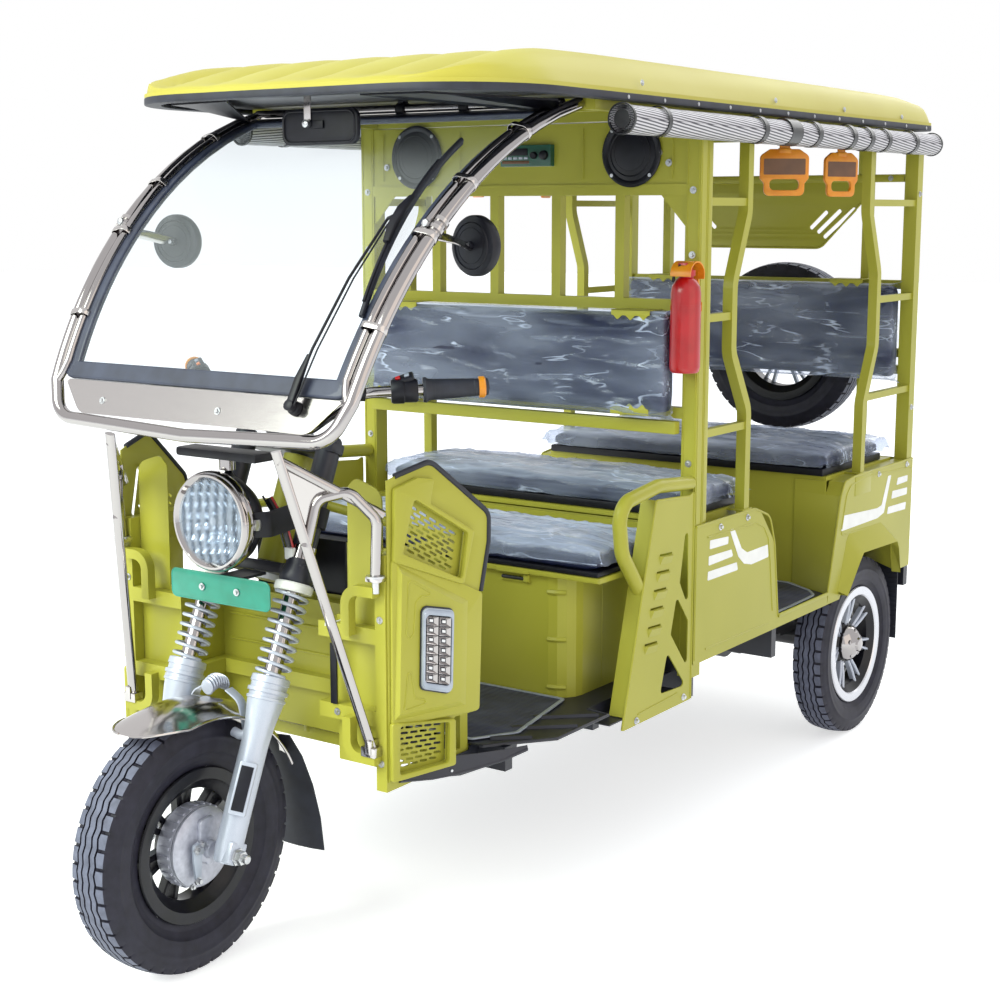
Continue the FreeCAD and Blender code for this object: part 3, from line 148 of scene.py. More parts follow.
# Roughness and metal share of the plain gloss finishes
GLOSS = {
    "channel_rubber": (0.5, 0.0),
    "red_enamel": (0.3, 0.0),
    "green_plate": (0.4, 0.0),
    "white_film": (0.35, 0.0),
    "zinc_plate": (0.3, 0.9),
    "mirror_silver": (0.02, 1.0),
    "dark_axle_paint": (0.55, 0.2),
    "amber_lens": (0.15, 0.0),
    "red_lens": (0.15, 0.0),
    "brown_label": (0.45, 0.0),
    "cable_black": (0.45, 0.0),
    "green_panel": (0.35, 0.0),
    "led_white": (0.1, 0.0),
    "satin_bezel": (0.35, 0.3),
    "white_nylon": (0.35, 0.0),
    "red_wire": (0.4, 0.0),
}


def tone(name, description, code):
    """A colour that the panel shows."""
    return bpy.props.FloatVectorProperty(name=name, description=description, default=srgb(code), size=4,
                                         min=0.0, max=1.0, subtype="COLOR")


def size(name, description, millimetres):
    """A length that the panel shows."""
    return bpy.props.FloatProperty(name=name, description=description, default=millimetres * MM, min=0.0,
                                   precision=4, subtype="DISTANCE", unit="LENGTH")


class RickshawFinishes(bpy.types.PropertyGroup):
    """Tones of every finish: a deep and a light one where the surface varies, or a single one."""
    __annotations__ = {}
    for key, (label, deep, light) in TONES.items():
        __annotations__[key + "_deep"] = tone(label + ", deep", f"Deeper tone of the {label.lower()}", deep)
        __annotations__[key + "_light"] = tone(label + ", light", f"Lighter tone of the {label.lower()}",
                                               light)
    for key, (label, code) in SINGLE_TONES.items():
        __annotations__[key] = tone(label, f"Tone of the {label.lower()}", code)


class RickshawSizes(bpy.types.PropertyGroup):
    """Sizes that the dressing adds; the vehicle's own come with the frame."""
    tread_depth: size("Tread depth", "Depth of the grooves in the tyres", 4.5)
    spring_wire: size("Spring wire", "Radius of the wire of the fork's springs", 3.6)
    spring_turns: bpy.props.FloatProperty(name="Spring turns", description="Turns of each fork spring",
                                          default=8.5, min=1.0, max=20.0)
    fender_sheet: size("Fender sheet", "Thickness of the front fender", 1.6)
    guard_tube: size("Guard tube", "Radius of the bent loops of the crash guards", 10.5)
    slot_length: size("Grille slot length", "Length of one slot in the upper grilles", 21.5)
    slot_height: size("Grille slot height", "Height of one slot in the grilles", 5.0)
    flute_depth: size("Roof flute depth", "Depth of the valleys along the roof's nose", 26.0)
    screen_tube: size("Windscreen tube", "Radius of the outer tube round the windscreen", 13.0)
    inner_tube: size("Inner windscreen tube", "Radius of the tube inside the outer one", 8.5)
    channel_half: size("Seal half width", "Half of the width of the windscreen's rubber channel", 18.0)
    cushion_crown: size("Cushion crown", "Rise of a cushion's middle over its edge", 10.0)
    film_crease: size("Film crease", "Height of the creases in the wrappers on the cushions", 8.0)
    back_crease: size("Backrest film crease", "Height of the creases in the wrappers on the backrests", 9.0)
    curtain_turns: bpy.props.IntProperty(name="Curtain turns", description="Turns of each rolled curtain",
                                         default=3, min=1, max=8)
    stripe_film: size("Stripe film", "Thickness of the white stripes on the sides", 0.5)


def finishes():
    """The scene's colours."""
    return bpy.context.scene.rickshaw_finishes


def sizes():
    """The scene's sizes."""
    return bpy.context.scene.rickshaw_sizes


def tones(name, low=0.3, high=0.7):
    """A finish's two tones as the stops of a ramp."""
    return [(low, getattr(finishes(), name + "_deep")), (high, getattr(finishes(), name + "_light"))]


def add(tree, kind, links=None, **settings):
    """A node with its settings; links gives each input a value or another node's output."""
    node = tree.nodes.new(kind)
    for key, value in settings.items():
        setattr(node, key, value)
    for key, value in (links or {}).items():
        if isinstance(value, bpy.types.NodeSocket):
            tree.links.new(value, node.inputs[key])
        else:
            node.inputs[key].default_value = value
    return node


def ramp(tree, factor, stops):
    """A colour ramp through (place, colour) stops, a colour being hex or linear."""
    node = add(tree, "ShaderNodeValToRGB", {"Fac": factor})
    bar = node.color_ramp.elements
    while len(bar) < len(stops):
        bar.new(0.5)
    for element, (place, code) in zip(bar, stops):
        element.position = place
        element.color = srgb(code) if isinstance(code, str) else code
    return node.outputs["Color"]


def start_material(name, **inputs):
    """A new material, its tree, its principled shader and its object coordinates."""
    material = bpy.data.materials.new(name)
    material.use_nodes = True
    tree = material.node_tree
    shader = tree.nodes["Principled BSDF"]
    for key, value in inputs.items():
        shader.inputs[key.replace("_", " ")].default_value = value
    coords = add(tree, "ShaderNodeTexCoord").outputs["Object"]
    return material, tree, shader, coords


def bump(tree, shader, height, depth, strength=1.0):
    """A bump of that depth in metres on the shader."""
    node = add(tree, "ShaderNodeBump", {"Height": height, "Distance": depth, "Strength": strength})
    tree.links.new(node.outputs["Normal"], shader.inputs["Normal"])
    return node


def spread(tree, noise_out, low, high):
    """A texture's 0 to 1 as a number between two others."""
    return add(tree, "ShaderNodeMapRange", {"Value": noise_out, "To Min": low,
                                            "To Max": high}).outputs["Result"]


def grain(tree, coords, size, detail=3.0, stretch=(1, 1, 1)):
    """Noise whose features are about that many metres across."""
    place = add(tree, "ShaderNodeMapping", {"Vector": coords, "Scale": stretch})
    node = add(tree, "ShaderNodeTexNoise", {"Vector": place.outputs["Vector"], "Scale": 1 / size,
                                            "Detail": detail})
    return node.outputs["Fac"]


def base_colour(tree, shader, colour):
    """A node's colour as the shader's own."""
    tree.links.new(colour, shader.inputs["Base Color"])


def calc(tree, operation, *values, **settings):
    """A sum or product of numbers and outputs."""
    return add(tree, "ShaderNodeMath", dict(enumerate(values)), operation=operation,
               **settings).outputs["Value"]


def remap(tree, value, low, high, to_low, to_high, **settings):
    """A number's run between two values as a run between two others."""
    return add(tree, "ShaderNodeMapRange", {"Value": value, "From Min": low, "From Max": high,
                                            "To Min": to_low, "To Max": to_high},
               **settings).outputs["Result"]


def see_through(tree, shader, tint, share):
    """A shader laid by its share over clear, tinted plastic or glass."""
    clear = add(tree, "ShaderNodeBsdfTransparent", {"Color": tint})
    mix = add(tree, "ShaderNodeMixShader", {0: share, 1: clear.outputs["BSDF"], 2: shader.outputs["BSDF"]})
    tree.links.new(mix.outputs["Shader"], tree.nodes["Material Output"].inputs["Surface"])


MATERIALS = {}
# Finishes that drift between their two tones over a fine relief. Each has the shader's own values, the
# drift's size in metres and detail, its ramp's stops, and the relief's size, detail, depth and strength.
EVEN = (0.3, 0.7)
GRAINED = {
    # Gloss enamel sprayed on sheet and tube, even lime olive with a faint orange peel
    "sprayed_enamel": ({"Roughness": 0.36, "Coat_Weight": 0.05, "Coat_Roughness": 0.15,
                        "Specular_IOR_Level": 0.28},
                       (0.35, 2), EVEN, (3 * MM, 1), 0.03, 0.5),
    # Moulded glass-fibre roof, yellower, with slow waves in the surface
    "gelcoat": ({"Roughness": 0.48, "Coat_Weight": 0.05, "Coat_Roughness": 0.2, "Specular_IOR_Level": 0.24},
                (0.5, 2), EVEN, (60 * MM, 2), 0.6, 0.4),
    # Semi-gloss black paint on the chassis and under the roof
    "black_enamel": ({"Roughness": 0.42}, (0.12, 4), (0.35, 0.75), (2.5 * MM, 2), 0.05, 0.6),
    # Silver paint on the cast fork legs, metal flake under a soft gloss
    "silver_enamel": ({"Metallic": 0.3, "Roughness": 0.36, "Coat_Weight": 0.3}, (0.8 * MM, 2), EVEN,
                      (1.5 * MM, 2), 0.04, 0.5),
    # Sand-blasted grey casting of the brake drum
    "cast_alloy": ({"Metallic": 0.35, "Roughness": 0.45}, (12 * MM, 4), EVEN, (1.0 * MM, 3), 0.08, 0.7),
    # Cast wheel painted gloss black
    "gloss_black_alloy": ({"Roughness": 0.34, "Coat_Weight": 0.1, "Specular_IOR_Level": 0.3}, (0.05, 2), EVEN,
                          (2 * MM, 2), 0.04, 0.5),
    # Lands of the tread, paler than the grooves and sidewalls
    "tread_rubber": ({"Roughness": 0.65}, (0.02, 5), (0.3, 0.75), (0.9 * MM, 3), 0.06, 0.7),
    # Cured tyre rubber, dull blue-black with a dusty bloom
    "tyre_rubber": ({"Roughness": 0.55, "Specular_IOR_Level": 0.3}, (0.03, 5), (0.3, 0.75), (0.9 * MM, 3),
                    0.06, 0.7),
    # Extruded black rubber of seals, flaps and trims
    "moulded_rubber": ({"Roughness": 0.55}, (0.04, 4), EVEN, (1.2 * MM, 2), 0.04, 0.5),
    # Black moulded ABS with a fine spark-eroded texture
    "moulded_abs": ({"Roughness": 0.42, "Specular_IOR_Level": 0.3}, (0.03, 2), EVEN, (0.6 * MM, 2), 0.03,
                    0.6),
    # Calendered vinyl in dark navy with a pebbled grain
    "seat_vinyl": ({"Roughness": 0.4}, (0.02, 4), EVEN, (1.4 * MM, 3), 0.12, 0.7),
    # Injection-moulded orange nylon
    "orange_nylon": ({"Roughness": 0.35, "Subsurface_Weight": 0.1}, (0.04, 2), EVEN, (1 * MM, 2), 0.03, 0.5),
}


def grained(name, settings, drift, stops, relief, depth, strength):
    """A finish of the table above."""
    material, tree, shader, coords = start_material(name, **settings)
    base_colour(tree, shader, ramp(tree, grain(tree, coords, *drift), tones(name, *stops)))
    bump(tree, shader, grain(tree, coords, *relief), depth * MM, strength)
    return material


def plain_gloss(name, roughness, metallic):
    """Smooth gloss paint or moulding between two close tones."""
    settings = {"Roughness": roughness, "Metallic": metallic, "Coat_Weight": 0.3}
    return grained(name, settings, (0.05, 2), EVEN, (2 * MM, 1), 0.02, 0.4)


def bright(name, haze, low, high):
    """A bright metal whose roughness drifts over a haze of that size, detail and stretch."""
    material, tree, shader, coords = start_material(name, Metallic=1.0)
    shader.inputs["Base Color"].default_value = getattr(finishes(), name)
    lines = grain(tree, coords, *haze)
    tree.links.new(spread(tree, lines, low, high), shader.inputs["Roughness"])
    return material, tree, shader, coords, lines


def polished_stainless():
    """Stainless sheet buffed bright, with fine buffing lines that blur what it mirrors."""
    material, tree, shader, _, lines = bright("polished_stainless", (1.2 * MM, 3, (0.05, 1, 1)), 0.1, 0.22)
    bump(tree, shader, lines, 0.01 * MM, 0.5)
    return material


def bright_chrome():
    """Nickel and chromium plate on tube: a mirror with very slight haze."""
    return bright("bright_chrome", (25 * MM, 3), 0.03, 0.12)[0]


def machined_alloy():
    """Cast aluminium turned bright, with a fine turned grain."""
    material, tree, shader, coords, _ = bright("machined_alloy", (0.9 * MM, 3), 0.2, 0.38)
    bump(tree, shader, grain(tree, coords, 0.7 * MM, 2), 0.02 * MM, 0.5)
    return material


def screen_glass():
    """Laminated float glass: clear, with a weak gloss over what is seen through it."""
    material, tree, shader, coords = start_material("screen_glass", Roughness=0.02)
    shader.inputs["Base Color"].default_value = finishes().screen_glass
    see_through(tree, shader, finishes().screen_glass, spread(tree, grain(tree, coords, 0.2, 2), 0.04, 0.08))
    return material


def poly_film():
    """Clear polythene wrapper: a painted pale sky reflection where it lies on top, in streaks, and painted
    white highlights along its long folds.
    """
    material, tree, shader, coords = start_material("poly_film", Roughness=0.16, Coat_Weight=0.3)
    shader.inputs["Base Color"].default_value = finishes().poly_film
    place = add(tree, "ShaderNodeMapping", {"Vector": coords, "Rotation": (0.0, 0.16, 0.12),
                                            "Scale": (1, 6, 5)})
    folds = add(tree, "ShaderNodeTexNoise", {"Vector": place.outputs["Vector"], "Scale": 3.4, "Detail": 3.0,
                                             "Roughness": 0.55, "Distortion": 0.35}).outputs["Fac"]
    # Painted highlights: thin white lines along the long folds, broken into patches
    away = calc(tree, "ABSOLUTE", calc(tree, "SUBTRACT", folds, 0.5))
    crease = remap(tree, away, 0.0, 0.022, 0.7, 0.0, interpolation_type="SMOOTHSTEP")
    patches = remap(tree, grain(tree, coords, 0.1, 2), 0.48, 0.66, 0.0, 1.0)
    broken = calc(tree, "MULTIPLY", crease, patches)
    # A pale veil in slow patches, partly the film's own milkiness and partly painted reflection
    haze = remap(tree, grain(tree, coords, 0.34, 2, (1, 5, 3)), 0.34, 0.66, 0.04, 0.34)
    # Painted sky reflection: the film is paler where it faces up, broken into streaks
    facing_up = add(tree, "ShaderNodeSeparateXYZ", {0: add(tree, "ShaderNodeNewGeometry").outputs["Normal"]})
    lying = remap(tree, facing_up.outputs["Z"], 0.2, 0.95, 0.0, 0.46)
    streaks = spread(tree, grain(tree, coords, 0.16, 4, (1, 9, 6)), 0.3, 1.8)
    painted_sky_reflection = calc(tree, "MULTIPLY", lying, streaks)
    milk_and_painted_light = calc(tree, "ADD", calc(tree, "ADD", broken, haze), painted_sky_reflection, use_clamp=True)
    see_through(tree, shader, srgb("#E6EAF4"), milk_and_painted_light)
    bump(tree, shader, folds, 5 * MM, 1.0)
    return material


def curtain_sheeting():
    """Woven plastic sheeting, white with fine dark lines along the roll."""
    material, tree, shader, coords = start_material("curtain_sheeting", Roughness=0.5)
    uv = add(tree, "ShaderNodeTexCoord").outputs["UV"]
    stripes = add(tree, "ShaderNodeTexWave", {"Vector": uv, "Scale": 46.0, "Distortion": 0.6, "Detail": 2.0,
                                              "Detail Scale": 0.4}, bands_direction="Y")
    base_colour(tree, shader, ramp(tree, stripes.outputs["Fac"], tones("curtain_sheeting", 0.25, 0.6)))
    bump(tree, shader, grain(tree, coords, 0.01, 4), 0.3 * MM, 0.6)
    return material


def ribbed_matting():
    """Ribbed black floor matting, with ribs 9 mm apart along the vehicle."""
    material, tree, shader, coords = start_material("ribbed_matting", Roughness=0.5)
    base_colour(tree, shader, ramp(tree, grain(tree, coords, 0.06, 4), tones("ribbed_matting")))
    ribs = add(tree, "ShaderNodeTexWave", {"Vector": coords, "Scale": 1 / (9 * MM) * 0.05 * math.tau / 2},
               bands_direction="X")
    bump(tree, shader, ribs.outputs["Fac"], 1.0 * MM, 0.7)
    return material


def flute_wave(tree, coords, scale, distortion, direction):
    """Upright or level flutes."""
    return add(tree, "ShaderNodeTexWave", {"Vector": coords, "Scale": scale, "Distortion": distortion},
               bands_direction=direction).outputs["Fac"]


def fluted_reflector():
    """Vacuum-metallised reflector pressed in upright flutes, its colour painted dark in the valleys and
    bright on the crests as shade and highlights.
    """
    material, tree, shader, coords = start_material("fluted_reflector", Metallic=0.8, Roughness=0.12)
    both = calc(tree, "MULTIPLY", flute_wave(tree, coords, 24.0, 1.5, "X"),
                flute_wave(tree, coords, 15.0, 1.0, "Z"))
    # Painted shade and highlights: the colour runs dark in each flute's valley and bright on its crest
    base_colour(tree, shader, ramp(tree, both, [(0.02, "#4A5260"), (0.2, "#9AA2B0"), (0.6, "#DDE2EA")]))
    bump(tree, shader, both, 3.0 * MM, 0.9)
    return material


def lamp_acrylic():
    """Clear moulded lens: its flutes catch the light and the rest is seen through."""
    material, tree, shader, coords = start_material("lamp_acrylic", Roughness=0.05)
    shader.inputs["Base Color"].default_value = srgb("#C9D2E0")
    flutes = flute_wave(tree, coords, 14.0, 1.5, "X")
    see_through(tree, shader, srgb("#F4F8FC"), spread(tree, flutes, 0.06, 0.3))
    bump(tree, shader, flutes, 0.6 * MM, 0.35)
    return material


def make_materials():
    """Every finish of the vehicle, by the name used for it below."""
    for name, row in GRAINED.items():
        MATERIALS[name] = grained(name, *row)
    for name, row in GLOSS.items():
        MATERIALS[name] = plain_gloss(name, *row)
    for maker in (polished_stainless, bright_chrome, machined_alloy, screen_glass, poly_film,
                  curtain_sheeting, ribbed_matting, fluted_reflector, lamp_acrylic):
        MATERIALS[maker.__name__] = maker()


# Mesh helpers

def soften(mesh, angle=32):
    """Smooth shading that breaks at edges sharper than an angle in degrees."""
    mesh.shade_smooth()
    mesh.set_sharp_from_angle(angle=math.radians(angle))


def arc_at(before, corner, after, bend, share, steps):
    """The points that replace a corner, with no arc reaching past that share of a side."""
    into, out = (corner - before).normalized(), (after - corner).normalized()
    turn = into.angle(out)
    if bend <= 0 or turn < 0.02:
        return [corner]
    half = math.tan(turn / 2)
    reach = min(bend * half, share * (corner - before).length, share * (after - corner).length)
    centre = corner + (out - into).normalized() * (reach / half / math.cos(turn / 2))
    first = corner - into * reach - centre
    axis = into.cross(out)
    return [centre + Quaternion(axis, turn * k / steps) @ first for k in range(steps + 1)]


def rounded_route(points, bend, steps=6):
    """Straight runs joined by arcs, as a list of points."""
    corners = [Vector(p) for p in points]
    route = [corners[0]]
    for before, corner, after in zip(corners, corners[1:], corners[2:]):
        route += arc_at(before, corner, after, bend, 0.47, steps)
    return route + [corners[-1]]


def ring_section(radius, sides=14):
    """A round section."""
    return [(radius * math.cos(math.tau * i / sides), radius * math.sin(math.tau * i / sides))
            for i in range(sides)]


def square_section(width, height, corner=0.003):
    """A square tube's section with small round corners."""
    w, h = width / 2, height / 2
    points = []
    for cx, cy, start in ((w - corner, h - corner, 0), (corner - w, h - corner, 90),
                          (corner - w, corner - h, 180), (w - corner, corner - h, 270)):
        for k in range(3):
            a = math.radians(start + 45 * k)
            points.append((cx + corner * math.cos(a), cy + corner * math.sin(a)))
    return points


def rounded_outline(outline, radius, steps=5):
    """A flat outline with its corners rounded; radius is one number or one a corner."""
    radii = radius if isinstance(radius, (list, tuple)) else [radius] * len(outline)
    flat = [Vector((x, y, 0)) for x, y in outline]
    result = []
    for i, corner in enumerate(flat):
        result += arc_at(flat[i - 1], corner, flat[(i + 1) % len(flat)], radii[i], 0.48, steps)
    return [(p.x, p.y) for p in result]


def turned(origin, degrees, axis):
    """A place turned about one axis."""
    return Matrix.Translation(origin) @ Matrix.Rotation(math.radians(degrees), 4, axis)


def grid_faces(rows, n, wrap=False):
    """Faces of a grid of rows of n points, closed into a ring of rows or not."""
    faces = []
    for j in range(rows if wrap else rows - 1):
        m = (j + 1) % rows
        faces += [(j * n + k, j * n + k + 1, m * n + k + 1, m * n + k) for k in range(n - 1)]
    return faces


def facing(origin, normal, up=(0, 0, 1)):
    """A place whose Z looks along normal and whose Y is as near up as it can be."""
    z = Vector(normal).normalized()
    x = Vector(up).cross(z).normalized()
    y = z.cross(x)
    return Matrix.Translation(origin) @ Matrix((x, y, z)).transposed().to_4x4()


def along(origin, axis):
    """A place whose X runs along axis."""
    turn = Vector((1, 0, 0)).rotation_difference(Vector(axis))
    return Matrix.Translation(origin) @ turn.to_matrix().to_4x4()


class Shape:
    """Surfaces gathered into one mesh, each with its own finish."""

    def __init__(self):
        self.bm = bmesh.new()
        self.uv = self.bm.loops.layers.uv.new("UVMap")
        self.finishes = []

    def finish_index(self, finish):
        """The number of a finish, added when it is new."""
        if finish not in self.finishes:
            self.finishes.append(finish)
        return self.finishes.index(finish)

    def faces(self, points, faces, finish, place=None, uvs=None):
        """Faces over points, each face a list of point numbers."""
        place = place or Matrix()
        verts = [self.bm.verts.new(place @ Vector(p)) for p in points]
        index = self.finish_index(finish)
        for face in faces:
            if len(set(face)) < 3:
                continue
            made = self.bm.faces.new([verts[i] for i in face])
            made.material_index = index
            if uvs:
                for loop, i in zip(made.loops, face):
                    loop[self.uv].uv = uvs[i]

    def sweep(self, route, section, finish, up=(0, 0, 1), closed=False, scales=None):
        """A section carried along a route, with capped ends."""
        route = [Vector(p) for p in route]
        count, n = len(route), len(section)
        points, uvs, travelled = [], [], 0.0
        side = None
        for i, here in enumerate(route):
            if closed:
                heading = (route[(i + 1) % count] - route[i - 1]).normalized()
            else:
                heading = (route[min(i + 1, count - 1)] - route[max(i - 1, 0)]).normalized()
            if side is None:
                side = heading.cross(Vector(up))
                if side.length < 1e-4:
                    side = heading.orthogonal()
            side = (side - heading * side.dot(heading)).normalized()
            top = side.cross(heading)
            size = scales[i] if scales else 1.0
            if i:
                travelled += (here - route[i - 1]).length
            for k, (u, w) in enumerate(section):
                points.append(here + (side * u + top * w) * size)
                uvs.append((travelled, k / n))
        faces = []
        for i in range(count if closed else count - 1):
            j = (i + 1) % count
            faces += [(i * n + k, i * n + (k + 1) % n, j * n + (k + 1) % n, j * n + k) for k in range(n)]
        if not closed:
            faces += [tuple(reversed(range(n))), tuple((count - 1) * n + k for k in range(n))]
        self.faces(points, faces, finish, uvs=uvs)

    def lathe(self, profile, finish, place, steps=48, closed=False, angle=math.tau, start=0.0):
        """A profile of (along, out) points turned about the place's X axis."""
        whole = angle >= math.tau - 1e-6
        turns = steps if whole else steps + 1
        points, n = [], len(profile)
        for i in range(turns):
            a = start + angle * i / steps
            points += [(x, r * math.cos(a), r * math.sin(a)) for x, r in profile]
        faces = []
        for i in range(steps):
            j = (i + 1) % turns
            for k in range(n if closed else n - 1):
                m = (k + 1) % n
                faces.append((i * n + k, i * n + m, j * n + m, j * n + k))
        if not whole and closed:
            faces += [tuple(reversed(range(n))), tuple(steps * n + k for k in range(n))]
        self.faces(points, faces, finish, place)

    def box(self, low, high, finish, bevel=0.0015, place=None):
        """A box with its edges just broken."""
        low, high = Vector(low), Vector(high)
        solid = bmesh.new()
        bmesh.ops.create_cube(solid, size=1)
        bmesh.ops.scale(solid, vec=high - low, verts=solid.verts)
        bmesh.ops.translate(solid, vec=(low + high) / 2, verts=solid.verts)
        if bevel:
            bmesh.ops.bevel(solid, geom=solid.edges[:], offset=bevel, segments=2, affect="EDGES", profile=0.6)
        self.take(solid, finish, place)

    def take(self, solid, finish, place=None):
        """All of another bmesh, which is freed."""
        solid.verts.ensure_lookup_table()
        solid.verts.index_update()
        points = [v.co.copy() for v in solid.verts]
        self.faces(points, [[v.index for v in f.verts] for f in solid.faces], finish, place)
        solid.free()

    def take_mesh(self, mesh):
        """All of a mesh with the finishes that it names."""
        offset = {i: self.finish_index(m.name) for i, m in enumerate(mesh.materials)}
        verts = [self.bm.verts.new(v.co) for v in mesh.vertices]
        for polygon in mesh.polygons:
            made = self.bm.faces.new([verts[i] for i in polygon.vertices])
            made.material_index = offset.get(polygon.material_index, 0)

    def take_into(self, other):
        """These surfaces moved into another shape."""
        mesh = self.plain_mesh("part")
        other.take_mesh(mesh)
        bpy.data.meshes.remove(mesh)

    def plain_mesh(self, name):
        """The gathered mesh with its finishes, and no shading of its own yet."""
        mesh = bpy.data.meshes.new(name)
        self.bm.to_mesh(mesh)
        self.bm.free()
        for finish in self.finishes:
            mesh.materials.append(MATERIALS[finish])
        return mesh

    def align(self):
        """Turns every face to look out."""
        bmesh.ops.recalc_face_normals(self.bm, faces=self.bm.faces)

    def rod(self, route, radius, finish, up=(0, 0, 1), sides=14, closed=False):
        """A round rod or tube along a route."""
        self.sweep(route, ring_section(radius, sides), finish, up, closed)

    def plate(self, outline, thick, finish, place, holes=(), bevel=0.0):
        """A sheet cut to an outline with holes, its back on the place and its face along +Z."""
        curve = bpy.data.curves.new("outline", "CURVE")
        curve.dimensions, curve.fill_mode = "2D", "BOTH"
        curve.extrude = thick / 2 - bevel
        curve.bevel_depth, curve.bevel_resolution = bevel, 1
        curve.offset = -bevel
        for loop in (outline, *holes):
            spline = curve.splines.new("POLY")
            spline.points.add(len(loop) - 1)
            for point, (x, y) in zip(spline.points, loop):
                point.co = (x, y, 0, 1)
            spline.use_cyclic_u = True
        holder = bpy.data.objects.new("outline", curve)
        bpy.context.scene.collection.objects.link(holder)
        mesh = bpy.data.meshes.new_from_object(holder.evaluated_get(bpy.context.evaluated_depsgraph_get()))
        solid = bmesh.new()
        solid.from_mesh(mesh)
        bmesh.ops.remove_doubles(solid, verts=solid.verts, dist=1e-6)
        bmesh.ops.recalc_face_normals(solid, faces=solid.faces)
        self.take(solid, finish, place @ Matrix.Translation((0, 0, thick / 2)))
        bpy.data.objects.remove(holder)
        bpy.data.curves.remove(curve)
        bpy.data.meshes.remove(mesh)

    def mirror(self):
        """The same surfaces again on the other side of the centre plane."""
        twin = bmesh.ops.duplicate(self.bm, geom=self.bm.verts[:] + self.bm.edges[:]
                                   + self.bm.faces[:])["geom"]
        verts = [g for g in twin if isinstance(g, bmesh.types.BMVert)]
        faces = [g for g in twin if isinstance(g, bmesh.types.BMFace)]
        for vert in verts:
            vert.co.x = -vert.co.x
        bmesh.ops.reverse_faces(self.bm, faces=faces)

    def mesh(self, name, angle=32):
        """The gathered mesh, smoothed up to an angle."""
        mesh = self.plain_mesh(name)
        soften(mesh, angle)
        return mesh

    def piece(self, name, body, slot, replaces=(), angle=32):
        """The gathered mesh as a piece that rides on a body."""
        return place_piece(self.mesh(name, angle), name, body, replaces)


def sheet_of(points, faces, finish, thickness, out=None):
    """Faces thickened into a sheet; out is the way that its outer side looks."""
    shape = Shape()
    shape.faces(points, faces, finish)
    shape.align()
    if out and sum(face.normal.dot(Vector(out)) for face in shape.bm.faces) < 0:
        bmesh.ops.reverse_faces(shape.bm, faces=shape.bm.faces)
    bmesh.ops.solidify(shape.bm, geom=shape.bm.faces[:], thickness=thickness)
    return shape


def place_piece(mesh, name, body, replaces=()):
    """An object of a mesh that is already in place."""
    obj = bpy.data.objects.new(name, mesh)
    bpy.context.scene.collection.objects.link(obj)
    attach(obj, body)
    if replaces:
        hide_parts(*replaces)
    return obj


def dress(finish, *nodes):
    """One finish on each of the frame's own nodes."""
    for name in nodes:
        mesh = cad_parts[name].data
        mesh.materials.clear()
        mesh.materials.append(MATERIALS[finish])


# Geometry Nodes

def new_tree(name, inputs):
    """An empty geometry tree with named inputs, given as (name, kind, value)."""
    tree = bpy.data.node_groups.new(name, "GeometryNodeTree")
    tree.interface.new_socket("Geometry", in_out="INPUT", socket_type="NodeSocketGeometry")
    for label, kind, value in inputs:
        socket = tree.interface.new_socket(label, in_out="INPUT", socket_type="NodeSocket" + kind)
        if value is not None:
            socket.default_value = value
    tree.interface.new_socket("Geometry", in_out="OUTPUT", socket_type="NodeSocketGeometry")
    return tree, tree.nodes.new("NodeGroupInput").outputs


def end_tree(tree, source, geometry, instances=False):
    """Realizes what the tree made and gives it its finish."""
    if instances:
        geometry = add(tree, "GeometryNodeRealizeInstances", {"Geometry": geometry}).outputs["Geometry"]
    done = add(tree, "GeometryNodeSetMaterial", {"Geometry": geometry, "Material": source["Material"]})
    add(tree, "NodeGroupOutput", {"Geometry": done.outputs["Geometry"]})


def grown(name, tree, values, base=None):
    """The plain mesh that a tree grows on a base mesh."""
    base = base or bpy.data.meshes.new(name + "_base")
    holder = bpy.data.objects.new(name + "_holder", base)
    bpy.context.scene.collection.objects.link(holder)
    modifier = holder.modifiers.new("grow", "NODES")
    modifier.node_group = tree
    sockets = {item.name: item.identifier for item in tree.interface.items_tree if item.in_out == "INPUT"}
    for label, value in values.items():
        modifier[sockets[label]] = value
    holder.update_tag()
    bpy.context.view_layer.update()
    mesh = bpy.data.meshes.new_from_object(holder.evaluated_get(bpy.context.evaluated_depsgraph_get()))
    mesh.name = name
    bpy.data.objects.remove(holder)
    return mesh


def bolt_tree():
    """A domed hex bolt on every point, turned along the point's own facing."""
    tree, source = new_tree("bolt_heads", [("Radius", "Float", 0.006), ("Height", "Float", 0.004),
                                           ("Material", "Material", None)])
    facing_at = add(tree, "GeometryNodeInputNamedAttribute", {"Name": "facing"}, data_type="FLOAT_VECTOR")
    turn = add(tree, "FunctionNodeAlignRotationToVector", {"Vector": facing_at.outputs["Attribute"]},
               axis="Z")
    rim, foot, tip = (calc(tree, "MULTIPLY", source["Radius"], share) for share in (0.93, 0.66, 0.5))
    washer = add(tree, "GeometryNodeMeshCone", {"Vertices": 16, "Radius Bottom": source["Radius"],
                                                "Radius Top": rim, "Depth": 0.0014}, fill_type="NGON")
    head = add(tree, "GeometryNodeMeshCone", {"Vertices": 6, "Radius Bottom": foot, "Radius Top": tip,
                                              "Depth": source["Height"]}, fill_type="NGON")
    both = add(tree, "GeometryNodeJoinGeometry", {"Geometry": washer.outputs["Mesh"]})
    tree.links.new(head.outputs["Mesh"], both.inputs["Geometry"])
    put = add(tree, "GeometryNodeInstanceOnPoints", {"Points": source["Geometry"],
                                                     "Instance": both.outputs["Geometry"],
                                                     "Rotation": turn.outputs["Rotation"]})
    end_tree(tree, source, put.outputs["Instances"], instances=True)
    return tree


def both_sides(spots, way):
    """Places at (x, y, z) spots on the left and again on the right, each facing that way."""
    return [((side * x, y, z), (side * way[0], way[1], way[2])) for side in SIDES for x, y, z in spots]


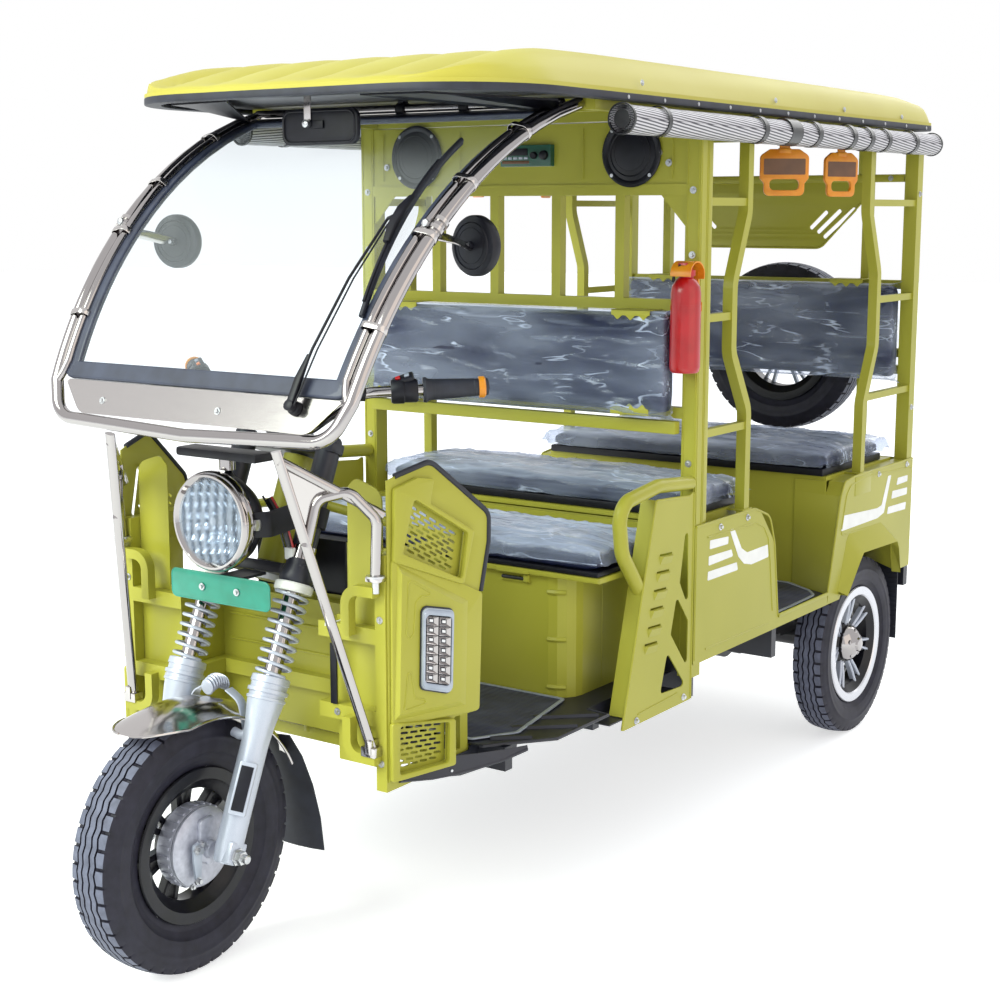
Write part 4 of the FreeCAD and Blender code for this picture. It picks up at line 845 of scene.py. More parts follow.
def bolts(name, places, body, finish="zinc_plate", radius=0.007, height=0.005):
    """Bolt heads at (point, facing) places, as one piece."""
    base = bpy.data.meshes.new(name + "_points")
    base.from_pydata([tuple(p) for p, _ in places], [], [])
    attribute = base.attributes.new("facing", "FLOAT_VECTOR", "POINT")
    for i, (_, way) in enumerate(places):
        attribute.data[i].vector = Vector(way).normalized()
    mesh = grown(name, TREES["bolts"], {"Radius": radius, "Height": height, "Material": MATERIALS[finish]},
                 base)
    soften(mesh)
    return place_piece(mesh, name, body)


def coil_tree():
    """A wire coil round the Z axis."""
    tree, source = new_tree("wire_coil", [("Turns", "Float", 9.0), ("Radius", "Float", 0.033),
                                          ("Height", "Float", 0.17), ("Wire", "Float", 0.0035),
                                          ("Material", "Material", None)])
    line = add(tree, "GeometryNodeCurveSpiral", {"Resolution": 20, "Rotations": source["Turns"],
                                                 "Start Radius": source["Radius"],
                                                 "End Radius": source["Radius"], "Height": source["Height"]})
    ring = add(tree, "GeometryNodeCurvePrimitiveCircle", {"Resolution": 8, "Radius": source["Wire"]})
    wire = add(tree, "GeometryNodeCurveToMesh", {"Curve": line.outputs["Curve"],
                                                 "Profile Curve": ring.outputs["Curve"], "Fill Caps": True})
    end_tree(tree, source, wire.outputs["Mesh"])
    return tree


def ring_tree():
    """Copies of a shape set evenly round the X axis."""
    tree, source = new_tree("ring_of_shapes", [("Count", "Int", 12), ("Start", "Float", 0.0),
                                               ("Material", "Material", None)])
    line = add(tree, "GeometryNodeMeshLine", {"Count": source["Count"], "Start Location": (0, 0, 0),
                                              "Offset": (0, 0, 0)})
    number = add(tree, "GeometryNodeInputIndex").outputs["Index"]
    turn = calc(tree, "MULTIPLY_ADD", calc(tree, "DIVIDE", number, source["Count"]), math.tau,
                source["Start"])
    angles = add(tree, "ShaderNodeCombineXYZ", {"X": turn}).outputs["Vector"]
    put = add(tree, "GeometryNodeInstanceOnPoints", {"Points": line.outputs["Mesh"],
                                                     "Instance": source["Geometry"], "Rotation": angles})
    end_tree(tree, source, put.outputs["Instances"], instances=True)
    return tree


def row_tree():
    """Copies of a shape in an even row."""
    tree, source = new_tree("row_of_shapes", [("Count", "Int", 6), ("Step", "Vector", (0, 0.01, 0)),
                                              ("Material", "Material", None)])
    line = add(tree, "GeometryNodeMeshLine", {"Count": source["Count"], "Start Location": (0, 0, 0),
                                              "Offset": source["Step"]})
    put = add(tree, "GeometryNodeInstanceOnPoints", {"Points": line.outputs["Mesh"],
                                                     "Instance": source["Geometry"]})
    end_tree(tree, source, put.outputs["Instances"], instances=True)
    return tree


TREES = {}


def make_trees():
    """The Geometry Nodes trees that the pieces share."""
    TREES.update(bolts=bolt_tree(), coil=coil_tree(), ring=ring_tree(), row=row_tree())


def ring_of(name, shape, count, place, finish, start=0.0):
    """A shape set round an axle, as a mesh in place."""
    mesh = grown(name, TREES["ring"], {"Count": count, "Start": start, "Material": MATERIALS[finish]},
                 shape.mesh(name + "_one"))
    mesh.transform(place)
    return mesh


def row_of(name, shape, count, step, finish):
    """A shape repeated in a row, as a mesh."""
    return grown(name, TREES["row"], {"Count": count, "Step": step, "Material": MATERIALS[finish]},
                 shape.mesh(name + "_one"))


# Wheels

TREAD_PITCHES = 46
TREAD_STEPS = (0.0, 0.03, 0.17, 0.2, 0.5, 0.75)
TREAD_ZIG = 0.0018
TREAD_CURVE = 2.9
SHOULDER = 0.029
SIDEWALL = [(0.031, 0.153), (0.033, 0.165), (0.0345, 0.168), (0.0385, 0.173), (0.043, 0.182),
            (0.044, 0.1825), (0.0465, 0.191), (0.0478, 0.201), (0.048, 0.21), (0.0486, 0.211),
            (0.0484, 0.215), (0.0476, 0.216), (0.0462, 0.225), (0.044, 0.233), (0.0425, 0.2365)]


def tread_columns(zig):
    """(across, in a groove) of the tread from its middle to one shoulder."""
    columns = [(0.0, False)]
    for groove in (0.0085, 0.0225):
        for step, low in ((-0.0021, False), (-0.0014, True), (0.0014, True), (0.0021, False)):
            columns.append((groove + zig + step, low))
    return columns + [(0.0295, False), (0.035, False), (0.04, False)]


def crown_at(x):
    """Radius of the tread's lands at a distance from the tyre's middle."""
    return TYRE_RADIUS - TREAD_CURVE * x * x


def tyre(place, name, body, node):
    """A tyre with zigzag ribs and shoulder blocks."""
    depth = sizes().tread_depth
    points = []
    for pitch in range(TREAD_PITCHES):
        for part in TREAD_STEPS:
            a = math.tau * (pitch + part) / TREAD_PITCHES
            zig = TREAD_ZIG * (4 * abs(part - 0.5) - 1)
            slot = 0.02 < part < 0.18
            right, left = [[(x, crown_at(x) - (depth if low or (slot and x > SHOULDER) else 0))
                            for x, low in tread_columns(way)] for way in (zig, -zig)]
            left = [(-x, r) for x, r in left[:0:-1]]
            ring = [(-x, r) for x, r in SIDEWALL] + left + right + SIDEWALL[::-1]
            points += [(x, r * math.cos(a), r * math.sin(a)) for x, r in ring]
    rows = TREAD_PITCHES * len(TREAD_STEPS)
    n = len(points) // rows
    faces = grid_faces(rows, n, wrap=True)
    for i in range(rows):
        j = (i + 1) % rows
        faces.append((i * n + n - 1, i * n, j * n, j * n + n - 1))
    shape = Shape()
    shape.faces(points, faces, "tyre_rubber", place)
    shape.align()
    # The lands that touch the road take the paler tread finish, the grooves and sidewalls stay dark
    land = shape.finish_index("tread_rubber")
    back = place.inverted()
    for face in shape.bm.faces:
        spots = [back @ v.co for v in face.verts]
        if all(crown_at(p.x) - math.hypot(p.y, p.z) < 0.001 for p in spots):
            face.material_index = land
    return shape.piece(name, body, "tyre", (node,), 40)


def rim_barrel(shape, place, lip_finish, well_finish, radius=RIM_RADIUS):
    """The rolled barrel of a wheel with a rounded lip on its outer side."""
    half, seat = 0.039, radius - 0.014
    outer = [(half - 0.0005, seat - 0.01), (half + 0.0005, seat - 0.002), (half, radius - 0.002),
             (half - 0.003, radius), (half - 0.006, radius - 0.003), (half - 0.007, seat + 0.002)]
    inner = [(-x, r) for x, r in outer]
    well = [(0.016, seat - 0.022), (0.012, seat - 0.023), (-0.012, seat - 0.023), (-0.016, seat - 0.022)]
    under = [(-0.034, seat - 0.01), (-0.018, seat - 0.03), (0.018, seat - 0.031), (0.03, seat - 0.018)]
    shape.lathe([outer[-1]] + well + inner[-1:], well_finish, place, 72)
    shape.lathe(inner[::-1] + under, well_finish, place, 72)
    shape.lathe([under[-1], (half - 0.004, seat - 0.013)], well_finish, place, 72)
    shape.lathe([(half - 0.004, seat - 0.013)] + outer, lip_finish, place, 72)


def spoke_shape(inner, outer, width_in, width_out, thick, lean, finish):
    """One cast spoke along +Z, its face toward +X, with a chamfered front."""
    shape = Shape()
    points, faces = [], []
    for r, w, x in ((inner, width_in, 0.0), ((inner + outer) / 2, (width_in + width_out) / 2, lean * 0.6),
                    (outer, width_out, lean)):
        h = w / 2
        points += [(x - thick, -h, r), (x - 0.003, -h, r), (x, -h + 0.002, r), (x, h - 0.002, r),
                   (x - 0.003, h, r), (x - thick, h, r)]
    n = 6
    for i in range(2):
        for k in range(n):
            m = (k + 1) % n
            faces.append((i * n + k, i * n + m, (i + 1) * n + m, (i + 1) * n + k))
    faces += [tuple(range(n)), tuple(2 * n + k for k in reversed(range(n)))]
    shape.faces(points, faces, finish)
    shape.align()
    return shape


def joined_piece(meshes, name, body, slot, replaces=(), angle=32):
    """Several meshes in place as one piece."""
    shape = Shape()
    for mesh in meshes:
        shape.take_mesh(mesh)
    return shape.piece(name, body, slot, replaces, angle)


def front_wheel():
    """Tyre, black cast rim with paired spokes and the ribbed brake drum."""
    place = Matrix.Translation(AXLE)
    tyre(place, "front_tyre_tread", "front_wheel", "front_tyre")
    rim = Shape()
    rim_barrel(rim, place, "gloss_black_alloy", "gloss_black_alloy", 0.154)
    rim.lathe([(-0.03, 0.0), (-0.03, 0.046), (-0.022, 0.06), (0.002, 0.066), (0.006, 0.058), (0.006, 0.0)],
              "gloss_black_alloy", place, 48)
    meshes = [rim.mesh("front_barrel")]
    for k, side in enumerate((-1, 1)):
        spoke = spoke_shape(0.056, 0.123, 0.013, 0.012, 0.02, 0.006, "gloss_black_alloy")
        meshes.append(ring_of(f"front_spokes_{k}", spoke, 7, place, "gloss_black_alloy",
                              side * math.radians(8)))
    drum = Shape()
    drum.lathe([(0.004, 0.0), (0.004, 0.079), (0.008, 0.081), (0.036, 0.0805), (0.04, 0.0795), (0.041, 0.076),
                (0.041, 0.0)], "cast_alloy", place, 72)
    meshes.append(drum.mesh("drum"))
    fin = Shape()
    fin.box((0.012, -0.0032, 0.074), (0.037, 0.0032, 0.083), "cast_alloy", 0.0012)
    meshes.append(ring_of("drum_fins", fin, 28, place, "cast_alloy"))
    joined_piece(meshes, "front_rim_and_drum", "front_wheel", "black_alloy", ("front_rim",))


def rear_wheels():
    """Tyres and silver rims with thin spokes and a plated hub cap."""
    for side, outward in (("left", 1), ("right", -1)):
        centre = Vector((outward * REAR_AXLE.x, REAR_AXLE.y, REAR_AXLE.z))
        place = Matrix.Translation(centre) @ Matrix.Rotation(0 if outward > 0 else math.pi, 4, "Z")
        body = f"rear_wheel_{side}"
        tyre(place, f"rear_tyre_{side}_tread", body, f"rear_tyre_{side}")
        silver_wheel(place, f"rear_rim_{side}_cast", body, f"rear_rim_{side}")


def silver_wheel(place, name, body, node):
    """A machined rim with six pairs of thin spokes round a lobed hub cap."""
    rim = Shape()
    rim_barrel(rim, place, "machined_alloy", "gloss_black_alloy")
    rim.lathe([(-0.03, 0.0), (-0.03, 0.056), (0.004, 0.06), (0.01, 0.054), (0.012, 0.04), (0.012, 0.0)],
              "gloss_black_alloy", place, 48)
    cap = [(0.012, 0.05), (0.018, 0.052), (0.026, 0.048), (0.034, 0.04), (0.042, 0.028), (0.045, 0.02),
           (0.0505, 0.018), (0.052, 0.014), (0.052, 0.0)]
    rim.lathe(cap, "bright_chrome", place, 48)
    meshes = [rim.mesh(name + "_barrel")]
    for k, lean in enumerate((-1, 1)):
        spoke = spoke_shape(0.046, 0.137, 0.0095, 0.0085, 0.016, 0.018, "silver_enamel")
        outward = place @ Matrix.Translation((0.008, 0, 0))
        meshes.append(ring_of(f"{name}_spokes_{k}", spoke, 7, outward, "silver_enamel",
                              lean * math.radians(6.5)))
    lobe = Shape()
    lobe.lathe([(0.022, 0.0), (0.022, 0.009), (0.036, 0.008), (0.0385, 0.004), (0.0385, 0.0)],
               "bright_chrome", Matrix.Translation((0, 0, 0.034)), 16)
    meshes.append(ring_of(name + "_lobes", lobe, 5, place, "bright_chrome"))
    joined_piece(meshes, name, body, "alloy", (node,))


def spare_wheel():
    """The spare on the rear frame, its face to the rear."""
    place = turned(SPARE, 90, "Z")
    tyre(place, "spare_tyre_tread", "body", "spare_tyre")
    silver_wheel(place, "spare_rim_cast", "body", "spare_rim")


# Fork, lamp and handlebar

def fork():
    """Silver sliders with ribbed collars, chromed stanchions, black upper tubes and yokes."""
    shape = Shape()
    for side in SIDES:
        place = along(fork_point(side * FORK_HALF, 0), UP_FORK)
        shape.lathe([(-0.018, 0), (-0.018, 0.02), (-0.012, 0.024), (0.01, 0.0265), (0.215, 0.0268),
                     (0.25, 0.029), (0.285, 0.0345), (0.297, 0.036), (0.298, 0.0385), (0.303, 0.0385),
                     (0.304, 0.0355), (0.311, 0.0355), (0.312, 0.04), (0.319, 0.04), (0.32, 0.036),
                     (0.33, 0.036), (0.331, 0.0385), (0.343, 0.0375), (0.345, 0.034), (0.345, 0)],
                    "silver_enamel", place, 36)
        shape.lathe([(0.34, 0), (0.34, 0.017), (0.54, 0.017), (0.54, 0)], "bright_chrome", place, 28)
        shape.lathe([(0.512, 0), (0.512, 0.036), (0.515, 0.0385), (0.527, 0.0385), (0.53, 0.036), (0.53, 0)],
                    "white_nylon", place, 32)
        shape.lathe([(0.53, 0), (0.53, 0.031), (0.536, 0.034), (0.552, 0.033), (0.566, 0.0275),
                     (0.578, 0.0275), (0.578, 0)], "black_enamel", place, 32)
        shape.lathe([(0.578, 0), (0.578, 0.0262), (0.604, 0.0262), (0.604, 0)], "bright_chrome", place, 32)
        shape.lathe([(0.604, 0), (0.604, 0.0245), (0.795, 0.0245), (0.822, 0.0235), (0.828, 0.019),
                     (0.828, 0)],
                    "black_enamel", place, 32)
        shape.lathe([(0.828, 0), (0.828, 0.013), (0.835, 0.011), (0.835, 0)], "zinc_plate", place, 6)
        # Axle lug, nut and threaded end
        shape.box((-0.016, -0.022, -0.02), (0.016, 0.022, 0.022), "silver_enamel", 0.005,
                  Matrix.Translation(fork_point(side * (FORK_HALF + 0.01), 0.004))
                  @ Matrix.Rotation(-RAKE, 4, "X"))
        nut = along(AXLE + Vector((side * 0.138, 0, 0)), (side, 0, 0))
        shape.lathe([(0, 0), (0, 0.017), (0.003, 0.017), (0.003, 0.0135), (0.016, 0.0135), (0.017, 0.0085),
                     (0.019, 0.0085), (0.019, 0)], "zinc_plate", nut, 6)
        shape.lathe([(0.017, 0), (0.017, 0.0085), (0.027, 0.0085), (0.029, 0.006), (0.029, 0)], "zinc_plate",
                    nut, 20)
        # Blank label boss and the fender lug
        label = Matrix.Translation(fork_point(side * (FORK_HALF + 0.012), 0.075, 0.014)) \
            @ Matrix.Rotation(-RAKE, 4, "X") @ Matrix.Rotation(side * math.radians(35), 4, "Z")
        shape.box((-0.017, -0.02, 0), (0.017, 0.008, 0.102), "silver_enamel", 0.004, label)
        shape.box((-0.012, -0.0215, 0.008), (0.012, -0.0185, 0.094), "moulded_abs", 0.0008, label)
        lug = fork_point(side * FORK_HALF, 0.228, 0.012)
        reach = [lug, lug + Vector((-side * 0.03, -0.004, -0.004)),
                 lug + Vector((-side * 0.046, -0.004, 0.0))]
        shape.rod(rounded_route(reach, 0.01), 0.0095, "silver_enamel")
    for low, high in ((0.545, 0.567), (0.795, 0.817)):
        outline = rounded_outline([(-0.14, 0.03), (-0.062, -0.004), (0.062, -0.004), (0.14, 0.03),
                                   (0.14, -0.016), (0.062, -0.072), (-0.062, -0.072), (-0.14, -0.016)], 0.02)
        place = Matrix.Translation(fork_point(0, low)) @ Matrix.Rotation(-RAKE, 4, "X")
        flipped = [(x, -y) for x, y in outline]
        shape.plate(flipped, high - low, "black_enamel", place, bevel=0.003)
    stem = along(fork_point(0, 0.545, -0.045), UP_FORK)
    shape.lathe([(-0.012, 0), (-0.012, 0.03), (0.0, 0.034), (0.0, 0.018), (0.285, 0.018), (0.285, 0.02),
                 (0.3, 0.02), (0.302, 0.008), (0.302, 0)], "zinc_plate", stem, 6)
    # Brake plate over the drum, its torque arm, and the lever with its pinch bolts
    plate = Matrix.Translation(AXLE)
    shape.lathe([(0.043, 0.079), (0.047, 0.0785), (0.052, 0.072), (0.055, 0.055), (0.056, 0.03),
                 (0.063, 0.026), (0.066, 0.018), (0.078, 0.016), (0.078, 0.0)], "cast_alloy", plate, 72)
    arm = [(-0.02, 0.06), (0.018, 0.064), (0.03, 0.004), (0.02, -0.03), (-0.004, -0.034), (-0.022, 0.01)]
    shape.plate(rounded_outline(arm, 0.01, 4), 0.01, "cast_alloy",
                plate @ Matrix.Translation((0.054, 0, 0)) @ SIDEWAYS, bevel=0.003)
    lever = [(-0.046, 0.02), (-0.03, 0.024), (-0.022, 0.004), (-0.028, -0.058), (-0.04, -0.062),
             (-0.046, -0.01)]
    shape.plate(rounded_outline(lever, 0.006, 3), 0.006, "satin_bezel",
                plate @ Matrix.Translation((0.064, 0, 0)) @ SIDEWAYS, bevel=0.0015)
    for y, z, r, reach in ((-0.035, 0.01, 0.011, 0.016), (-0.036, -0.052, 0.008, 0.012),
                           (-0.02, 0.016, 0.007, 0.01), (-0.05, -0.06, 0.006, 0.008)):
        boss = along(AXLE + Vector((0.066, y, z)), (1, 0, 0))
        shape.lathe([(0, 0), (0, r), (reach * 0.4, r), (reach * 0.4, r * 0.62), (reach, r * 0.6), (reach, 0)],
                    "zinc_plate", boss, 6)
    shape.piece("fork_legs", "steering", "fork_silver", ("fork",))


def fork_springs():
    """Open wire coils round the stanchions."""
    meshes = []
    for side in SIDES:
        mesh = grown(f"coil_{side}", TREES["coil"], {"Turns": sizes().spring_turns, "Radius": 0.032,
                                                     "Height": 0.165, "Wire": sizes().spring_wire,
                                                     "Material": MATERIALS["silver_enamel"]})
        turn = Vector((0, 0, 1)).rotation_difference(UP_FORK).to_matrix().to_4x4()
        mesh.transform(Matrix.Translation(fork_point(side * FORK_HALF, 0.3465)) @ turn)
        meshes.append(mesh)
    joined_piece(meshes, "fork_coils", "steering", "alloy", ("fork_springs",), 60)


def headlamp():
    """Chromed round lamp in a black shell, on brackets clamped to the fork."""
    shape = Shape()
    place = along((0, -1.06, 0.866), (0, 1, 0))
    shape.lathe([(0.006, 0.08), (0.001, 0.084), (-0.003, 0.088), (-0.003, 0.092), (0.001, 0.096),
                 (0.008, 0.0985), (0.02, 0.0985), (0.026, 0.096), (0.027, 0.092)], "bright_chrome", place, 72)
    shape.lathe([(0.022, 0.092), (0.03, 0.094), (0.052, 0.088), (0.078, 0.07), (0.1, 0.044), (0.11, 0.018),
                 (0.112, 0.0)], "moulded_abs", place, 64)
    shape.lathe([(0.008, 0.083), (0.014, 0.079), (0.03, 0.064), (0.044, 0.045), (0.054, 0.024), (0.056, 0.0)],
                "fluted_reflector", place, 64)
    shape.lathe([(0.012, 0.0), (0.012, 0.008), (0.02, 0.012), (0.05, 0.012)], "bright_chrome", place, 24)
    shape.lathe([(-0.006, 0.0), (-0.005, 0.03), (-0.002, 0.06), (0.003, 0.083), (0.007, 0.083), (0.003, 0.06),
                 (0.0, 0.03), (-0.001, 0.0)], "lamp_acrylic", place, 64)
    for side in SIDES:
        ear = [(side * 0.088, -1.03, 0.866), (side * 0.112, -1.012, 0.866),
               fork_point(side * FORK_HALF, 0.665, 0.03)]
        shape.sweep(rounded_route(ear, 0.02), square_section(0.006, 0.05, 0.002), "moulded_abs", (0, 0, 1))
        nut = along((side * 0.09, -1.028, 0.866), (side, 0, 0))
        shape.lathe([(0, 0), (0, 0.012), (0.01, 0.012), (0.012, 0.006), (0.012, 0)], "zinc_plate", nut, 6)
        band = along(fork_point(side * FORK_HALF, 0.645), UP_FORK)
        shape.lathe([(0, 0.0246), (0, 0.0325), (0.04, 0.0325), (0.04, 0.0246)], "moulded_abs", band, 32, True)
    # Instrument pod and its plated nut above the lamp
    shape.box((-0.105, -1.04, 0.985), (0.105, -0.985, 1.003), "moulded_abs", 0.006)
    shape.lathe([(0, 0.016), (0.022, 0.016), (0.022, 0.0)], "bright_chrome",
                along((0, -1.005, 0.962), (0, 0, 1)), 24)
    shape.rod([(0, -1.005, 0.955), (0, -0.985, 0.93), (0, -0.975, 0.9)], 0.009, "moulded_abs")
    shape.piece("round_headlamp", "steering", "chrome", ("headlamp",))


def number_plate():
    """Blank plate with a turned lip and two bolts."""
    shape = Shape()
    place = turned((0, -1.033, 0.73), 90, "X")
    outline = [(-0.13, -0.028), (0.13, -0.028), (0.13, 0.028), (-0.13, 0.028)]
    shape.plate(rounded_outline(outline, 0.012), 0.003, "green_plate", place, bevel=0.0008)
    rim = [(x, -1.035, 0.73 + y) for x, y in rounded_outline(outline, 0.012)]
    shape.rod(rim, 0.0016, "green_plate", (0, 1, 0), 8, closed=True)
    shape.box((-0.03, -1.033, 0.745), (0.03, -0.935, 0.751), "black_enamel", 0.001)
    shape.piece("blank_plate", "steering", "plate_green", ("number_plate",))
    bolts("plate_bolt_heads", [((side * 0.046, -1.0375, 0.73), (0, -1, 0)) for side in (-1, 1)], "steering",
          radius=0.0075, height=0.005)


FENDER_STEPS, FENDER_COLUMNS = 40, 13


def fender_shell():
    """The pressed shell and the points of its grid: a narrow rounded nose, then a crowned band."""
    points = []
    for i in range(FENDER_STEPS + 1):
        t = (i / FENDER_STEPS) ** 1.5
        a = math.radians(120 - 95 * t)
        nose = min(1.0, t / 0.2)
        width = 0.073 * (0.2 + 0.8 * math.sqrt(max(0.0, 1 - (1 - nose) ** 2)))
        lift = 0.006 * (1 - min(1.0, t / 0.25)) ** 2
        for k in range(FENDER_COLUMNS):
            u = -1 + 2 * k / (FENDER_COLUMNS - 1)
            crown = 0.2845 + lift - 0.03 * abs(u) ** 2.6 * nose
            points.append((u * width, AXLE.y + crown * math.cos(a), AXLE.z + crown * math.sin(a)))
    faces = grid_faces(FENDER_STEPS + 1, FENDER_COLUMNS)
    return points, sheet_of(points, faces, "polished_stainless", sizes().fender_sheet, (0, 0, 1))


def fender_flap():
    """The rubber flap behind the wheel, given by (angle, radius, half width) down its middle."""
    points = []
    flap = [(34, 0.288, 0.06), (22, 0.292, 0.064), (8, 0.3, 0.068), (-6, 0.316, 0.072), (-18, 0.336, 0.076)]
    for degrees, r, half in flap:
        a = math.radians(degrees)
        centre = Vector((0, AXLE.y + r * math.cos(a), AXLE.z + r * math.sin(a)))
        points += [centre + Vector((u * half, -0.01 * (1 - u * u), 0)) for u in (-1, -0.6, -0.2, 0.2, 0.6, 1)]
    return sheet_of(points, grid_faces(len(flap), 6), "moulded_rubber", 0.003)


def fender():
    """Pressed stainless fender with a rounded nose, its stay, and the rubber flap behind."""
    points, shell = fender_shell()
    meshes = [shell.mesh("fender_shell"), fender_flap().mesh("flap")]
    shape = Shape()
    # Rolled edges and the hoop stay
    for side in SIDES:
        column = FENDER_COLUMNS - 1 if side > 0 else 0
        edge = [points[i * FENDER_COLUMNS + column] for i in range(FENDER_STEPS + 1)]
        shape.rod(edge, 0.0028, "polished_stainless", (1, 0, 0), 8)
        hoop = [(side * 0.03, -1.05, 0.538), (side * 0.062, -1.048, 0.52), (side * 0.07, -1.046, 0.47),
                (side * 0.083, -1.052, 0.44)]
        shape.sweep(rounded_route(hoop, 0.03), square_section(0.004, 0.022, 0.0015), "silver_enamel",
                    (0, 1, 0))
    # Ribbed breather over the fender
    for i in range(8):
        t = i / 7
        at = Vector((-0.004, -1.075 + 0.045 * t, 0.541 + 0.008 * math.sin(math.pi * t)))
        shape.lathe([(0, 0.0), (0, 0.014), (0.002, 0.016), (0.004, 0.014), (0.004, 0.0)], "silver_enamel",
                    along(at, (0, 1, 0.1)), 20)
    meshes.append(shape.mesh("fender_trim"))
    joined_piece(meshes, "pressed_fender", "steering", "stainless", ("front_fender",))


def crash_guards():
    """Bright guards each side of the lamp: strut, arm, bent loop and gusset."""
    shape = Shape()
    top, foot = Vector((0.217, -1.104, 1.026)), Vector((0.323, -0.972, 0.45))
    end = Vector((0.345, -0.956, 0.9))
    oval = [(0.007 * math.cos(math.tau * k / 16), 0.0125 * math.sin(math.tau * k / 16)) for k in range(16)]
    shape.sweep([top, foot], oval, "bright_chrome", (1, 0, 0))
    arm = top + (foot - top) * 0.03
    shape.rod([arm, end], 0.0095, "bright_chrome")
    start = top + (foot - top) * 0.31
    loop = [start, start.lerp(Vector((0.262, -1.046, 0.935)), 0.5), (0.262, -1.046, 0.935),
            (0.305, -1.005, 0.948), (0.345, -0.975, 0.895), (0.338, -0.972, 0.785)]
    shape.rod(rounded_route(loop, 0.028, 8), sizes().guard_tube, "bright_chrome", sides=16)
    inner = top + (foot - top) * 0.27
    knee = Vector((0.292, -1.012, 0.944))
    corners = [top + (foot - top) * 0.04, inner, Vector((0.262, -1.04, 0.94)), knee, top.lerp(end, 0.62)]
    normal = (corners[1] - corners[0]).cross(corners[3] - corners[0]).normalized()
    points = [c + normal * 0.0012 for c in corners] + [c - normal * 0.0012 for c in corners]
    n = len(corners)
    faces = [tuple(range(n)), tuple(n + k for k in reversed(range(n)))]
    faces += [(k, n + k, n + (k + 1) % n, (k + 1) % n) for k in range(n)]
    shape.faces(points, faces, "polished_stainless")
    # Flange with its bolt under the loop, foot bracket, and the flange at the arm's end
    flange = along((0.338, -0.972, 0.788), (0, 0, -1))
    shape.lathe([(0, 0), (0, 0.018), (0.004, 0.018), (0.004, 0.007), (0.034, 0.007), (0.036, 0.0)],
                "zinc_plate", flange, 20)
    shape.box((0.306, -0.984, 0.436), (0.34, -0.96, 0.456), "polished_stainless", 0.002)
    shape.box((0.318, -0.986, 0.442), (0.332, -0.96, 0.47), "polished_stainless", 0.002)
    shape.box((0.322, -0.984, 0.776), (0.352, -0.958, 0.786), "polished_stainless", 0.002)
    shape.align()
    shape.mirror()
    shape.piece("bright_guards", "body", "chrome", ("crash_guards",))


WING = turned((0.35, -0.9555, 0), -14, "Z")
SIDEWAYS = Matrix(((0, 0, 1, 0), (1, 0, 0, 0), (0, 1, 0, 0), (0, 0, 0, 1)))


def slots(corners, rows, columns, length, height):
    """Staggered slots that fill a four-sided field."""
    a, b, c, d = (Vector((x, y)) for x, y in corners)
    way = (b - a).normalized()
    up = Vector((-way.y, way.x))
    found = []
    for j in range(rows):
        v = (j + 0.5) / rows
        count = columns - (j % 2)
        for i in range(count):
            u = (i + 0.5 + 0.5 * (j % 2)) / columns
            centre = a.lerp(b, u).lerp(d.lerp(c, u), v)
            reach, rise = way * length / 2, up * height / 2
            tip = way * height * 0.4
            found.append([tuple(p) for p in (centre - reach - rise + tip, centre + reach - rise - tip,
                                             centre + reach, centre + reach + rise - tip,
                                             centre - reach + rise + tip, centre - reach)])
    return found


def raised(shape, low, high, x_low, x_high, finish, place):
    """A raised field with sloping sides between two outlines."""
    n = len(low)
    points = [(y, z, x_low) for y, z in low] + [(y, z, x_high) for y, z in high]
    faces = [tuple(n + k for k in range(n))] + [(k, (k + 1) % n, n + (k + 1) % n, n + k) for k in range(n)]
    shape.faces(points, faces, finish, place)


